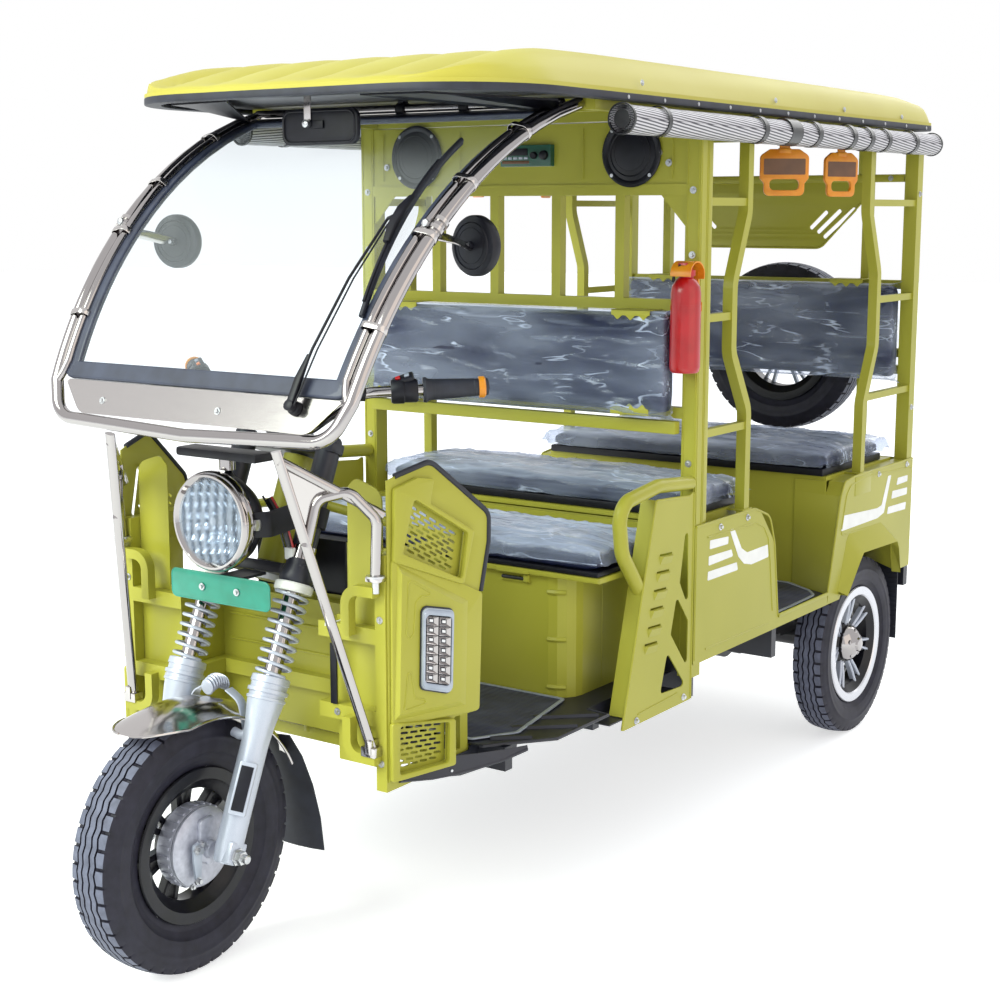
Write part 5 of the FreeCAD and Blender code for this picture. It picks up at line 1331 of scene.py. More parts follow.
def cowl_wings():
    """The slanted wings beside the cowl: two grilles, the lamp panel and its edge trim."""
    shape = Shape()
    place = WING @ SIDEWAYS
    enamel = "sprayed_enamel"
    grille = [(0.06, 0.917), (0.178, 0.843), (0.165, 0.764), (0.036, 0.832)]
    recess = rounded_outline([(0.03, 0.826), (0.174, 0.757), (0.188, 0.846), (0.058, 0.926)], 0.006, 3)
    low_recess = rounded_outline([(0.018, 0.398), (0.138, 0.398), (0.14, 0.478), (0.02, 0.494)], 0.006, 3)
    base = rounded_outline([(0.0, 0.384), (0.158, 0.386), (0.158, 0.482), (0.222, 0.484), (0.229, 0.724),
                            (0.249, 0.82), (0.25, 0.876), (0.183, 0.93), (0.105, 0.992), (0.022, 0.972),
                            (0.0, 0.965)],
                           [0, 0.012, 0.008, 0.006, 0.004, 0.02, 0.03, 0.03, 0.03, 0.06, 0])
    shape.plate(base, 0.003, enamel, place, [recess, low_recess], bevel=0.0006)
    behind = place @ Matrix.Translation((0, 0, -0.009))
    shape.plate([(0.026, 0.82), (0.178, 0.75), (0.194, 0.85), (0.056, 0.932)], 0.002, enamel, behind,
                slots(grille, 10, 5, sizes().slot_length, sizes().slot_height))
    low_field = [(0.022, 0.49), (0.137, 0.476), (0.136, 0.402), (0.022, 0.402)]
    shape.plate([(0.014, 0.392), (0.142, 0.394), (0.144, 0.48), (0.016, 0.498)], 0.002, enamel, behind,
                slots(low_field, 8, 5, sizes().slot_length - 2 * MM, sizes().slot_height))
    for frame_low, frame_hole in (
            ([(0.008, 0.812), (0.178, 0.745), (0.205, 0.848), (0.096, 0.914), (0.106, 0.96), (0.066, 0.966),
              (0.012, 0.95)], recess),
            ([(0.0, 0.386), (0.156, 0.388), (0.156, 0.482), (0.0, 0.503)], low_recess)):
        shape.plate(rounded_outline(frame_low, 0.006, 3), 0.012, enamel,
                    place @ Matrix.Translation((0, 0, 0.003)), [frame_hole], bevel=0.0035)
    # Stepped flange, then the lamp's own raised field with two pressed grooves
    step = [(0.004, 0.494), (0.22, 0.486), (0.228, 0.722), (0.026, 0.824), (0.006, 0.812)]
    shape.plate(rounded_outline(step, 0.008, 3), 0.007, enamel, place @ Matrix.Translation((0, 0, 0.003)),
                bevel=0.0025)
    raised(shape, [(0.008, 0.506), (0.186, 0.503), (0.192, 0.712), (0.018, 0.808)],
           [(0.014, 0.52), (0.158, 0.517), (0.166, 0.71), (0.022, 0.79)], 0.009, 0.02, enamel, place)
    for outline in ([(0.037, 0.777), (0.101, 0.737), (0.068, 0.741), (0.054, 0.73), (0.048, 0.671),
                     (0.039, 0.662), (0.031, 0.672)], [(0.037, 0.62), (0.047, 0.566), (0.05, 0.545),
                                                       (0.094, 0.531), (0.024, 0.525)]):
        loop = [place @ Vector((y, z, 0.02)) for y, z in rounded_outline(outline, 0.005, 3)]
        shape.rod(loop, 0.0017, enamel, (1, 0, 0), 6, closed=True)
    line = [p for p in base[:-1] if p[1] > 0.715 and p[0] > 0.01]
    trim = [place @ Vector((y, z, 0.0015)) for y, z in line]
    shape.rod(trim, 0.0055, "moulded_rubber", (1, 0, 0), 10)
    shape.align()
    shape.mirror()
    shape.piece("pressed_wings", "body", "body_paint", ("cowl_wings",))


def corner_lamps():
    """Upright lamps of two columns of seven cells in a grey bezel and a black gasket."""
    shape = Shape()
    place = WING @ SIDEWAYS @ Matrix.Translation((0, 0, 0.02))
    outline = [(0.06, 0.56), (0.138, 0.536), (0.143, 0.706), (0.064, 0.724)]
    middle = Vector((sum(p[0] for p in outline) / 4, sum(p[1] for p in outline) / 4))

    def inset(share):
        """The outline drawn in toward its middle."""
        return [tuple(middle + (Vector(p) - middle) * share) for p in outline]

    shape.plate(rounded_outline(inset(1.0), 0.013), 0.004, "moulded_rubber", place, bevel=0.001)
    shape.plate(rounded_outline(inset(0.965), 0.012), 0.008, "satin_bezel", place,
                [rounded_outline(inset(0.86), 0.009)], bevel=0.001)
    shape.plate(rounded_outline(inset(0.93), 0.012), 0.01, "satin_bezel", place,
                [rounded_outline(inset(0.8), 0.009)], bevel=0.002)
    shape.plate(rounded_outline(inset(0.82), 0.009), 0.003, "led_white", place)
    a, b, c, d = (Vector(p) for p in inset(0.78))
    for i in range(2):
        for j in range(7):
            quad = []
            for u, w in ((0, 0), (1, 0), (1, 1), (0, 1)):
                s, t = (i + 0.5 + (u - 0.5) * 0.92) / 2, (j + 0.5 + (w - 0.5) * 0.92) / 7
                quad.append(a.lerp(b, s).lerp(d.lerp(c, s), t))
            heart = sum(quad, Vector((0, 0))) / 4
            points = [(p.x, p.y, 0.0085) for p in quad]
            points += [(*heart.lerp(p, 0.42), 0.0035) for p in quad]
            faces = [(k, (k + 1) % 4, 4 + (k + 1) % 4, 4 + k) for k in range(4)] + [(4, 5, 6, 7)]
            shape.faces(points, faces, "bright_chrome", place)
            shape.faces([(*heart.lerp(p, 0.3), 0.0045) for p in quad], [(0, 1, 2, 3)], "led_white", place)
    shape.mirror()
    shape.piece("cell_lamps", "body", "clear_glass", ("corner_lamps",))


# Roof, windscreen and mirrors

ROOF_HALF, ROOF_FRONT, ROOF_REAR = 0.5, -0.845, 1.345
ROOF_CORNER, ROOF_BACK_CORNER = 0.24, 0.05
ROOF_EDGE = 1.69
# How sharply the roof's side, nose and tail meet; the larger the sharper
ROOF_BLEND = 12


def roof_width(y, grow=0.0):
    """Half of the roof's width at a distance along it."""
    half, front, rear = ROOF_HALF + grow, ROOF_FRONT - grow, ROOF_REAR + grow
    for radius, into in ((ROOF_CORNER + grow, y - front), (ROOF_BACK_CORNER + grow, rear - y)):
        if into < radius:
            return half - radius + math.sqrt(max(0.0, radius ** 2 - (radius - max(into, 0)) ** 2))
    return half


def blend_points(value, points):
    """Straight runs through (place, height) points, read at a value."""
    if value <= points[0][0]:
        return points[0][1]
    for (a, low), (b, high) in zip(points, points[1:]):
        if value <= b:
            return low + (high - low) * ((value - a) / (b - a))
    return points[-1][1]


SIDE_RISE = [(0, 0), (0.004, 0.018), (0.012, 0.044), (0.022, 0.062), (0.034, 0.072), (0.055, 0.078),
             (0.12, 0.086), (0.3, 0.094), (0.5, 0.097)]
FRONT_RISE = [(0, 0), (0.006, 0.012), (0.03, 0.02), (0.1, 0.042), (0.2, 0.066), (0.32, 0.083), (0.5, 0.093),
              (0.8, 0.098)]
REAR_RISE = [(0, 0), (0.005, 0.02), (0.02, 0.048), (0.045, 0.066), (0.1, 0.08), (0.25, 0.09), (0.6, 0.097)]


def roof_height(x, y, flute_depth):
    """Height of the moulded roof: sides, nose and tail run together, with flutes along the nose."""
    side = blend_points(roof_width(y) - abs(x), SIDE_RISE)
    nose = blend_points(y - ROOF_FRONT, FRONT_RISE)
    tail = blend_points(ROOF_REAR - y, REAR_RISE)
    rise = sum(max(1e-4, part) ** -ROOF_BLEND for part in (side, nose, tail)) ** (-1 / ROOF_BLEND)
    # Seven flutes: round crowns with tight valleys, fading toward the rear and at the edge
    across = abs(math.cos(math.pi * 3.5 * x / 0.46)) if abs(x) < 0.46 else 0.0
    fade = min(1.0, (y - ROOF_FRONT) / 0.05) * min(1.0, rise / 0.045)
    depth = flute_depth * (1.0 if y < 0 else 1 - 0.56 * min(1.0, y / 0.6))
    return ROOF_EDGE + rise - depth * fade * (1 - across ** 0.6)


def roof():
    """Glass-fibre roof with its fluted nose, turned lip and screws."""
    ys = [ROOF_FRONT + d for d in (0, 0.0015, 0.005, 0.012, 0.022, 0.036, 0.055)]
    ys += [ROOF_FRONT + 0.055 + 1.07 * i / 34 for i in range(1, 35)]
    ys += [ys[-1] + (ROOF_REAR - 0.06 - ys[-1]) * i / 16 for i in range(1, 17)]
    ys += [ROOF_REAR - d for d in (0.045, 0.032, 0.02, 0.011, 0.005, 0.0015, 0)]
    edge = [0, 0.004, 0.01, 0.018, 0.03, 0.045, 0.065]
    points = []
    inner = 132
    depth = sizes().flute_depth
    for y in ys:
        width = roof_width(y)
        xs = [width - d * width / ROOF_HALF for d in edge]
        limit = xs.pop()
        row = xs + [limit - 2 * limit * i / inner for i in range(inner + 1)] + [-x for x in reversed(xs)]
        points += [(x, y, roof_height(x, y, depth)) for x in row]
    faces = grid_faces(len(ys), len(points) // len(ys))
    meshes = [sheet_of(points, faces, "gelcoat", 0.004, (0, 0, 1)).mesh("roof_skin", 50)]
    # The lip that the trim grips
    lip = Shape()
    lip.sweep([(x, y, ROOF_EDGE + 0.002) for x, y in roof_line(0.001)],
              [(0.003, -0.004), (0.003, 0.004), (-0.003, 0.004), (-0.003, -0.004)], "gelcoat", (0, 0, 1),
              closed=True)
    meshes.append(lip.mesh("roof_lip"))
    joined_piece(meshes, "moulded_roof", "body", "roof_paint", ("roof_shell",), 50)
    screws = both_sides([(0.4985, y, 1.712 - 0.006 * (y + 0.3)) for y in (-0.292, 0.326, 0.72, 1.101)],
                        (1, 0, 0.08))
    screws += [((x, 1.3445, 1.712), (0, 1, 0.1)) for x in (-0.3, 0, 0.3)]
    bolts("roof_screws", screws, "body", radius=0.0065, height=0.003)


def roof_line(grow=0.0):
    """The roof's outline from above."""
    half, front, rear = ROOF_HALF + grow, ROOF_FRONT - grow, ROOF_REAR + grow
    radii = [ROOF_CORNER + grow] * 2 + [ROOF_BACK_CORNER + grow] * 2
    return rounded_outline([(-half, front), (half, front), (half, rear), (-half, rear)], radii, 12)


def roof_trim():
    """Thick black edge moulding with its rivets, and the dark lining inside it."""
    shape = Shape()
    section = rounded_outline([(-0.03, -0.006), (0.004, -0.006), (0.005, -0.002), (0.0045, 0.009),
                               (-0.002, 0.0105), (-0.004, 0.004), (-0.03, 0.002)], 0.002, 2)
    shape.sweep([(x, y, 1.6795) for x, y in roof_line()], section, "moulded_rubber", (0, 0, 1), closed=True)
    lining = roof_line(-0.028)
    shape.plate(lining, 0.003, "black_enamel", Matrix.Translation((0, 0, 1.6835)))
    shape.align()
    # Visor flanges under the front corners
    for side in SIDES:
        corners = [(side * 0.175, -0.8, 1.672), (side * 0.33, -0.8, 1.67), (side * 0.43, -0.5, 1.668),
                   (side * 0.412, -0.47, 1.645)]
        points = corners + [(x, y, z + 0.004) for x, y, z in corners]
        shape.faces(points, [(0, 1, 2, 3), (7, 6, 5, 4), (0, 4, 5, 1), (1, 5, 6, 2), (2, 6, 7, 3),
                             (3, 7, 4, 0)],
                    "moulded_abs")
    shape.piece("edge_moulding", "body", "rubber", ("roof_trim",))
    rivets = both_sides([(0.5045, -0.356 + 0.1475 * i, 1.6805) for i in range(12)], (1, 0, 0))
    bolts("trim_rivets", rivets, "body", radius=0.0042, height=0.002)


def seal():
    """Wide rubber channel round the windscreen, thick and round-edged."""
    low, high, half_low, half_high = 1.142, 1.647, 0.35, 0.395
    outline = rounded_outline([(-half_low, low), (half_low, low), (half_high, high), (-half_high, high)],
                              [0.006, 0.006, 0.01, 0.01], 4)
    middle = []
    for i, (x, z) in enumerate(outline):
        after = outline[(i + 1) % len(outline)]
        steps = max(1, int(math.dist((x, z), after) / 0.03))
        middle += [screen_point(x + (after[0] - x) * k / steps, z + (after[1] - z) * k / steps)
                   for k in range(steps)]
    wide = sizes().channel_half
    section = rounded_outline([(-wide, -0.007), (wide, -0.007), (wide, 0.007), (-wide, 0.007)], 0.0045, 4)
    points, faces = [], []
    count, n = len(middle), len(section)
    for i, here in enumerate(middle):
        j = (i + 1) % count
        heading = (middle[j] - middle[i - 1]).normalized()
        out = here - SCREEN_CENTRE
        out.x = 0
        out = (out - heading * out.dot(heading)).normalized()
        side = heading.cross(out)
        points += [here + side * u + out * w for u, w in section]
        faces += [(i * n + k, j * n + k, j * n + (k + 1) % n, i * n + (k + 1) % n) for k in range(n)]
    shape = Shape()
    shape.faces(points, faces, "channel_rubber")
    shape.align()
    shape.piece("screen_channel", "body", "rubber", ("windscreen_seal",), 40)


def tube_point(z, side=1, into=0.0, out=0.004):
    """A point on the outer windscreen tube at a height, or moved in toward the glass."""
    return screen_point(side * (0.43 - 0.083 * (1.69 - z) - into), z, out)


def windscreen_tubes():
    """Bright outer loop, a second tube inside it down each side, and the tie clips between them."""
    shape = Shape()
    heights = [1.664 - 0.544 * i / 22 for i in range(23)]
    side = [tube_point(z) for z in heights]
    corner = rounded_route([side[-1], screen_point(0.352, 1.052, 0.002), screen_point(0.0, 1.04)], 0.07, 8)
    right = side[:-1] + corner[:-1]
    whole = right + [Vector((0, *screen_point(0, 1.04).yz))] + [Vector((-p.x, p.y, p.z))
                                                                for p in reversed(right)]
    shape.rod(whole, sizes().screen_tube, "bright_chrome", (1, 0, 0), 20)
    for way in (1, -1):
        inner = [tube_point(1.655 - 0.5 * i / 20, way, 0.0235, 0.009) for i in range(21)]
        foot = inner[-1]
        inner += [foot + Vector((way * 0.006, -0.01, -0.022)), tube_point(1.115, way, 0.004, 0.006)]
        shape.rod(inner, sizes().inner_tube, "bright_chrome", (1, 0, 0), 16)
        for z in (1.6, 1.502, 1.405, 1.245):
            a, b = tube_point(z, way), tube_point(z, way, 0.0235, 0.009)
            heading = (tube_point(z + 0.01, way) - tube_point(z - 0.01, way)).normalized()
            middle = (a + b) / 2
            flat = facing(middle - heading * 0.006, heading, a - b)
            ring = rounded_outline([(-0.0165, -0.0255), (0.0165, -0.0255), (0.0165, 0.0255),
                                    (-0.0165, 0.0255)],
                                   0.015, 6)
            hole = [(x * 0.9, y * 0.93) for x, y in ring]
            shape.plate(ring, 0.012, "polished_stainless", flat, [hole], bevel=0.0006)
    # Tube across under the roof with its two black clamps
    shape.rod([(-0.41, -0.452, 1.667), (0.41, -0.452, 1.667)], 0.011, "bright_chrome", sides=18)
    for x in (0.006, 0.172):
        place = along((x - 0.01, -0.452, 1.667), (1, 0, 0))
        shape.lathe([(0, 0), (0, 0.0155), (0.003, 0.0165), (0.017, 0.0165), (0.02, 0.0155), (0.02, 0)],
                    "moulded_abs", place, 24)
        shape.box((x - 0.007, -0.462, 1.677), (x + 0.007, -0.442, 1.69), "moulded_abs", 0.002)
        shape.box((x - 0.006, -0.46, 1.64), (x + 0.006, -0.444, 1.656), "moulded_abs", 0.002)
    shape.piece("bright_screen_tubes", "body", "chrome", ("windscreen_tubes",), 40)


def mirrors():
    """Round black side mirrors on their straps, and the framed mirror under the roof."""
    shape = Shape()
    for side in SIDES:
        centre = Vector((side * 0.395, -0.734, 1.39))
        back = Vector((-side * 0.17, -0.985, 0)).normalized()
        place = along(centre, back)
        shape.lathe([(-0.014, 0.046), (-0.016, 0.05), (-0.016, 0.0545), (-0.01, 0.0575), (0.002, 0.0575),
                     (0.006, 0.0555), (0.008, 0.05), (0.0095, 0.04), (0.012, 0.022), (0.0125, 0.0)],
                    "moulded_abs", place, 56)
        shape.lathe([(-0.0135, 0.0), (-0.0135, 0.047)], "mirror_silver", place, 48)
        for r in (0.034, 0.044):
            shape.lathe([(0.0085, r - 0.0012), (0.0112, r), (0.0085, r + 0.0012)], "moulded_abs", place, 48)
        shape.lathe([(0.01, 0.0), (0.01, 0.01), (0.018, 0.009), (0.02, 0.004), (0.02, 0.0)], "moulded_abs",
                    place, 20)
        shape.lathe([(0.019, 0.0), (0.019, 0.0055), (0.025, 0.005), (0.025, 0.0)], "zinc_plate", place, 6)
        clamp = tube_point(1.42, side)
        hub = centre + back * 0.017
        strap = [clamp + Vector((-side * 0.01, 0.004, -0.012)),
                 clamp.lerp(hub, 0.45) + Vector((0, 0, -0.004)), hub]
        shape.sweep(strap, square_section(0.026, 0.0035, 0.0012), "polished_stainless", back)
        for z in (1.414, 1.428):
            heading = (tube_point(z + 0.01, side) - tube_point(z - 0.01, side)).normalized()
            shape.lathe([(0, 0.013), (0, 0.016), (0.009, 0.016), (0.009, 0.013)], "polished_stainless",
                        along(tube_point(z, side), heading), 24, True)
        bolt = along(clamp + Vector((-side * 0.01, -0.016, 0.01)), (0, -1, 0.25))
        shape.lathe([(0, 0), (0, 0.0075), (0.006, 0.0075), (0.008, 0.004), (0.008, 0)], "zinc_plate", bolt, 6)
    # Inner mirror: the raised rim of its back, its bracket and ball
    place = turned((0, -0.7065, 1.6215), 90, "X")
    face = rounded_outline([(-0.1, -0.0365), (0.1, -0.0365), (0.1, 0.0365), (-0.1, 0.0365)], 0.02, 6)
    shape.plate(face, 0.012, "moulded_abs", place, bevel=0.004)
    rim = [(x * 0.93, -0.719, 1.6215 + z * 0.84) for x, z in face]
    shape.rod(rim, 0.0022, "moulded_abs", (0, 1, 0), 8, closed=True)
    shape.plate([(x * 0.97, z * 0.94) for x, z in face], 0.001, "mirror_silver",
                turned((0, -0.7055, 1.6215), -90, "X"))
    shape.box((-0.036, -0.7225, 1.634), (-0.018, -0.7195, 1.686), "polished_stainless", 0.001)
    shape.lathe([(0, 0), (0, 0.008), (0.01, 0.008), (0.012, 0.005), (0.012, 0)], "zinc_plate",
                along((-0.027, -0.72, 1.628), (0, -1, 0)), 20)
    shape.box((-0.014, -0.723, 1.618), (0.014, -0.7195, 1.634), "moulded_abs", 0.002)
    shape.piece("mirror_set", "body", "black_plastic", ("mirrors",), 40)


def wiper():
    """Wiper arm from its pivot, the knuckle, the spring housing and the rubber blade."""
    shape = Shape()
    pivot, foot = screen_point(0.258, 1.104, 0.022), screen_point(0.258, 1.104, 0.003)
    out = (pivot - foot).normalized()
    shape.lathe([(0, 0), (0, 0.014), (0.008, 0.013), (0.01, 0.01), (0.024, 0.01), (0.026, 0.006), (0.026, 0)],
                "moulded_abs", along(foot, out), 24)
    rod = [pivot, screen_point(0.272, 1.2, 0.023), screen_point(0.29, 1.32, 0.024),
           screen_point(0.301, 1.425, 0.022)]
    shape.rod(rod, 0.0028, "moulded_abs", (1, 0, 0), 10)
    shape.sweep([pivot, screen_point(0.264, 1.15, 0.024), screen_point(0.269, 1.19, 0.023)],
                square_section(0.015, 0.01, 0.003), "moulded_abs", out, scales=[1.0, 1.0, 0.5])
    stay = [pivot + Vector((0.01, 0, 0)), screen_point(0.283, 1.2, 0.022), screen_point(0.3, 1.32, 0.023),
            screen_point(0.309, 1.415, 0.022)]
    shape.rod(stay, 0.0017, "moulded_abs", (1, 0, 0), 8)
    # Blade, the lip under it and the spine over it
    for out_by, section, finish, span in ((0.0125, (0.009, 0.01, 0.0035), "moulded_rubber", range(15)),
                                          (0.0075, (0.0025, 0.009, 0.0008), "moulded_rubber", range(15)),
                                          (0.0185, (0.006, 0.006, 0.002), "moulded_abs", range(1, 13))):
        line = [screen_point(0.346 - 0.042 * i / 14, 1.262 + 0.318 * i / 14, out_by) for i in span]
        shape.sweep(line, square_section(*section), finish, (0, -1, 1))
    knuckle = [screen_point(0.33, 1.385, 0.021), screen_point(0.327, 1.41, 0.026),
               screen_point(0.324, 1.44, 0.026), screen_point(0.321, 1.465, 0.02)]
    shape.sweep(knuckle, square_section(0.02, 0.014, 0.005), "moulded_abs", (0, -1, 1),
                scales=[0.7, 1.0, 1.0, 0.7])
    link = [screen_point(0.301, 1.425, 0.022), screen_point(0.312, 1.428, 0.024),
            screen_point(0.325, 1.425, 0.026)]
    shape.rod(link, 0.0035, "moulded_abs", (0, -1, 1), 8)
    shape.piece("wiper_arm_and_blade", "body", "rubber", ("wiper",), 40)
    bolts("lower_panel_bolts", [((x, *screen_point(0, 1.088, 0.0025).yz), (0, -0.9, 0.25))
                                for x in (0.07, -0.24)],
          "body", radius=0.0075, height=0.005)


# Seats and their wrappers

def cut_along(solid, axis, cuts):
    """Cuts across every edge that runs along an axis."""
    edges = [e for e in solid.edges if abs(e.verts[0].co[axis] - e.verts[1].co[axis]) > 1e-6]
    bmesh.ops.subdivide_edges(solid, edges=edges, cuts=cuts, use_grid_fill=True)


def crown_share(u, w):
    """Share of a pad's crown at a place given as shares of its halves."""
    return max(0.0, (1 - u * u) * (1 - w * w)) ** 0.35


def pad_form(low, high, corner, crown, skirt, grid=(40, 16)):
    """A pad with rounded corners: crowned top, sides that pull in, and a flat base."""
    size = [b - a for a, b in zip(low, high)]
    hx, hy, thick = size[0] / 2, size[1] / 2, size[2]
    solid = bmesh.new()
    bmesh.ops.create_cube(solid, size=1)
    bmesh.ops.scale(solid, vec=size, verts=solid.verts)
    for axis, cuts in enumerate((*grid, 5)):
        cut_along(solid, axis, cuts)
    for vert in solid.verts:
        u, w, t = vert.co.x / hx, vert.co.y / hy, vert.co.z / thick + 0.5
        # Rounded corners in plan
        px, py = max(0.0, abs(vert.co.x) - (hx - corner)), max(0.0, abs(vert.co.y) - (hy - corner))
        if px > 0 and py > 0:
            longest, reach = max(px, py), math.hypot(px, py)
            vert.co.x = math.copysign(hx - corner + px * longest / reach, vert.co.x)
            vert.co.y = math.copysign(hy - corner + py * longest / reach, vert.co.y)
        # Sides full at mid height, drawn in at the seam, and the edge rolled over
        roll = 1 - skirt * (2 * t - 1) ** 4
        vert.co.x *= roll if abs(u) > 0.999 else 1 - (1 - roll) * abs(u) ** 12
        vert.co.y *= roll if abs(w) > 0.999 else 1 - (1 - roll) * abs(w) ** 6
        if t > 0.5:
            edge = max(abs(u), abs(w)) ** 8
            vert.co.z += crown * crown_share(u, w) - 0.16 * thick * edge * (2 * t - 1)
    bmesh.ops.translate(solid, vec=[(a + b) / 2 for a, b in zip(low, high)], verts=solid.verts)
    return solid


VOXEL = 0.0065
CLOTH_FRAMES = 14


def evaluated(obj):
    """The mesh of an object with its modifiers."""
    return bpy.data.meshes.new_from_object(obj.evaluated_get(bpy.context.evaluated_depsgraph_get()))


def swelled(solid, name, cap, hold, finish):
    """A pad blown up a little by cloth simulation, so its skin draws tight between the corners."""
    mesh = bpy.data.meshes.new(name)
    solid.to_mesh(mesh)
    solid.free()
    obj = bpy.data.objects.new(name, mesh)
    bpy.context.scene.collection.objects.link(obj)
    remesh = obj.modifiers.new("remesh", "REMESH")
    remesh.mode, remesh.voxel_size = "VOXEL", VOXEL
    flat = evaluated(obj)
    obj.modifiers.clear()
    obj.data = flat
    start = [v.co.copy() for v in flat.vertices]
    pins = obj.vertex_groups.new(name="pins")
    pins.add([i for i, p in enumerate(start) if hold(p)], 1.0, "REPLACE")
    cloth = obj.modifiers.new("cloth", "CLOTH")
    skin = cloth.settings
    skin.quality = 5
    skin.mass = 0.3
    skin.tension_stiffness = skin.compression_stiffness = 18
    skin.bending_stiffness = 0.5
    skin.use_pressure = True
    skin.uniform_pressure_force = 4
    skin.effector_weights.gravity = 0
    skin.vertex_group_mass = "pins"
    cloth.point_cache.frame_start, cloth.point_cache.frame_end = 1, CLOTH_FRAMES
    for number in range(CLOTH_FRAMES):
        bpy.context.scene.frame_set(number + 1)
    blown = evaluated(obj)
    bpy.context.scene.frame_set(1)
    obj.modifiers.clear()
    obj.vertex_groups.clear()
    for vert, home in zip(blown.vertices, start):
        move = vert.co - home
        if move.length > cap:
            vert.co = home + move.normalized() * cap
    obj.data = blown
    final = obj.data.copy()
    bpy.data.objects.remove(obj)
    final.name = name
    final.materials.clear()
    final.materials.append(MATERIALS[finish])
    final.shade_smooth()
    return final


def cushion(name, node, low, high, body="body", corner=0.022, replace=True):
    """A vinyl seat cushion, crowned and blown tight."""
    solid = pad_form(low, high, corner, sizes().cushion_crown, 0.06)
    mesh = swelled(solid, name, 0.006, lambda p: p.z < low[2] + 0.01, "seat_vinyl")
    for vert in mesh.vertices:
        vert.co.z = max(vert.co.z, low[2])
    piece = place_piece(mesh, name, body, (node,) if replace else ())
    return piece


def wrinkle(x, y, seed, size=0.09):
    """Height of the creases in a film wrapper, from 0 to 1."""
    ridge = 1 - abs(noise.noise(Vector((x / (size * 2.2), y / (size * 0.45), seed)))) * 2.2
    fine = 1 - abs(noise.noise(Vector((x / size, y / (size * 0.2), seed + 9)))) * 2.0
    return max(0.0, ridge) ** 3 * 0.7 + max(0.0, fine) ** 3 * 0.3


def film_points(half, reach, cells, seed, size, flare, tips, shrink, height):
    """Points (across, along, height) of a wrapper drawn over a pad and down round its edges.

    flare(u, w, drop) is how far it stands off the sides, and tips how far its corners stand out.
    height(crown, edge, drop, crease) is its height.
    """
    points = []
    for j in range(cells[1] + 1):
        w = (half[1] + reach) * (2 * j / cells[1] - 1)
        for i in range(cells[0] + 1):
            u = (half[0] + reach) * (2 * i / cells[0] - 1)
            over = [max(0.0, abs(u) - half[0]), max(0.0, abs(w) - half[1])]
            inside = [min(abs(u), half[0]), min(abs(w), half[1])]
            drop = min(reach, math.hypot(*over))
            off = [flare(u, w, drop) * part / (drop + 1e-6) if drop > 0 else 0.0 for part in over]
            if min(over) > 0:
                off = [part + tip * min(over) / reach for part, tip in zip(off, tips)]
                drop *= shrink
            shares = [inside[0] / half[0], inside[1] / half[1]]
            z = height(crown_share(*shares), max(shares) ** 8, drop, wrinkle(u, w, seed, size))
            points.append((math.copysign(inside[0] + off[0], u), math.copysign(inside[1] + off[1], w), z))
    return points


def film_piece(name, body, points, cells):
    """A wrapper's points as a sheet of film."""
    shape = Shape()
    shape.faces(points, grid_faces(cells[1] + 1, cells[0] + 1), "poly_film")
    piece = shape.piece(name, body, "clear_glass", (), 180)
    return piece


def film_over(name, low, high, hang, body, seed, lift=0.004, tips=0.03):
    """A clear wrapper laid over a cushion: creased on top, drawn over the edges, loose at its corners."""
    depth, rise = sizes().film_crease, sizes().cushion_crown
    half = [(b - a) / 2 for a, b in zip(low, high)]
    middle = [(a + b) / 2 for a, b in zip(low, high)]
    reach = high[2] - low[2] + hang
    cells = (150, 76)

    def flare(u, w, drop):
        """Rolled edge, then a loose and rippled hem."""
        ripple = noise.noise(Vector((u * 22, w * 22, seed + 3)))
        return 0.006 * min(1.0, drop / 0.016) + 0.006 * ripple * min(1.0, drop / 0.05)

    def height(crown, edge, drop, crease):
        """Crowned top that drops past the rolled edge."""
        top = high[2] + rise * crown + lift - 0.008 * edge
        return top - max(0.0, drop - 0.006) + depth * crease * (0.55 if drop > 0.01 else 1.0)

    points = [(middle[0] + x, middle[1] + y, z) for x, y, z in
              film_points(half, reach, cells, seed, 0.09, flare, (tips, tips * 0.55), 0.72, height)]
    return film_piece(name, body, points, cells)


def cushions():
    """Driver's and passengers' cushions in navy vinyl on black bases, in their clear wrappers."""
    base = Shape()
    base.box((-0.436, -0.343, 0.6808), (0.436, -0.086, 0.693), "moulded_abs", 0.004)
    base.piece("driver_cushion_base", "seat_lid", "black_plastic")
    cushion("driver_cushion_pad", "driver_cushion", (-0.434, -0.34, 0.693), (0.434, -0.089, 0.736),
            body="seat_lid")
    film_over("driver_film", (-0.436, -0.342, 0.7), (0.436, -0.087, 0.739), -0.002, "seat_lid", 3.0,
              tips=0.018)
    for tag, y0, y1, seed in (("front", 0.043, 0.305, 11.0), ("rear", 0.8, 1.205, 23.0)):
        base = Shape()
        base.box((-0.434, y0 + 0.004, 0.7525), (0.434, y1 - 0.004, 0.772), "moulded_abs", 0.004)
        base.piece(f"{tag}_cushion_base", "body", "black_plastic",
                   ("bench_cushions",) if tag == "front" else ())
        cushion(f"{tag}_bench_pad", "bench_cushions", (-0.434, y0 + 0.004, 0.772), (0.434, y1 - 0.004, 0.812),
                replace=tag == "rear")
        film_over(f"{tag}_bench_film", (-0.437, y0 + 0.002, 0.776), (0.437, y1 - 0.002, 0.815), 0.004, "body",
                  seed, tips=0.022)


def back_pad(name, x_half, y_face, y_back, z0, z1, body="body", replace=()):
    """An upright backrest pad, crowned toward the sitter."""
    thick = y_back - y_face
    solid = pad_form((-x_half, 0, 0), (x_half, z1 - z0, thick), 0.014, 0.005, 0.03, (48, 14))
    turn = turned((0, y_back, z0), 90, "X")
    mesh = swelled(solid, name, 0.006, lambda p: p.z < 0.012, "seat_vinyl")
    mesh.transform(turn)
    piece = place_piece(mesh, name, body, replace)
    return piece


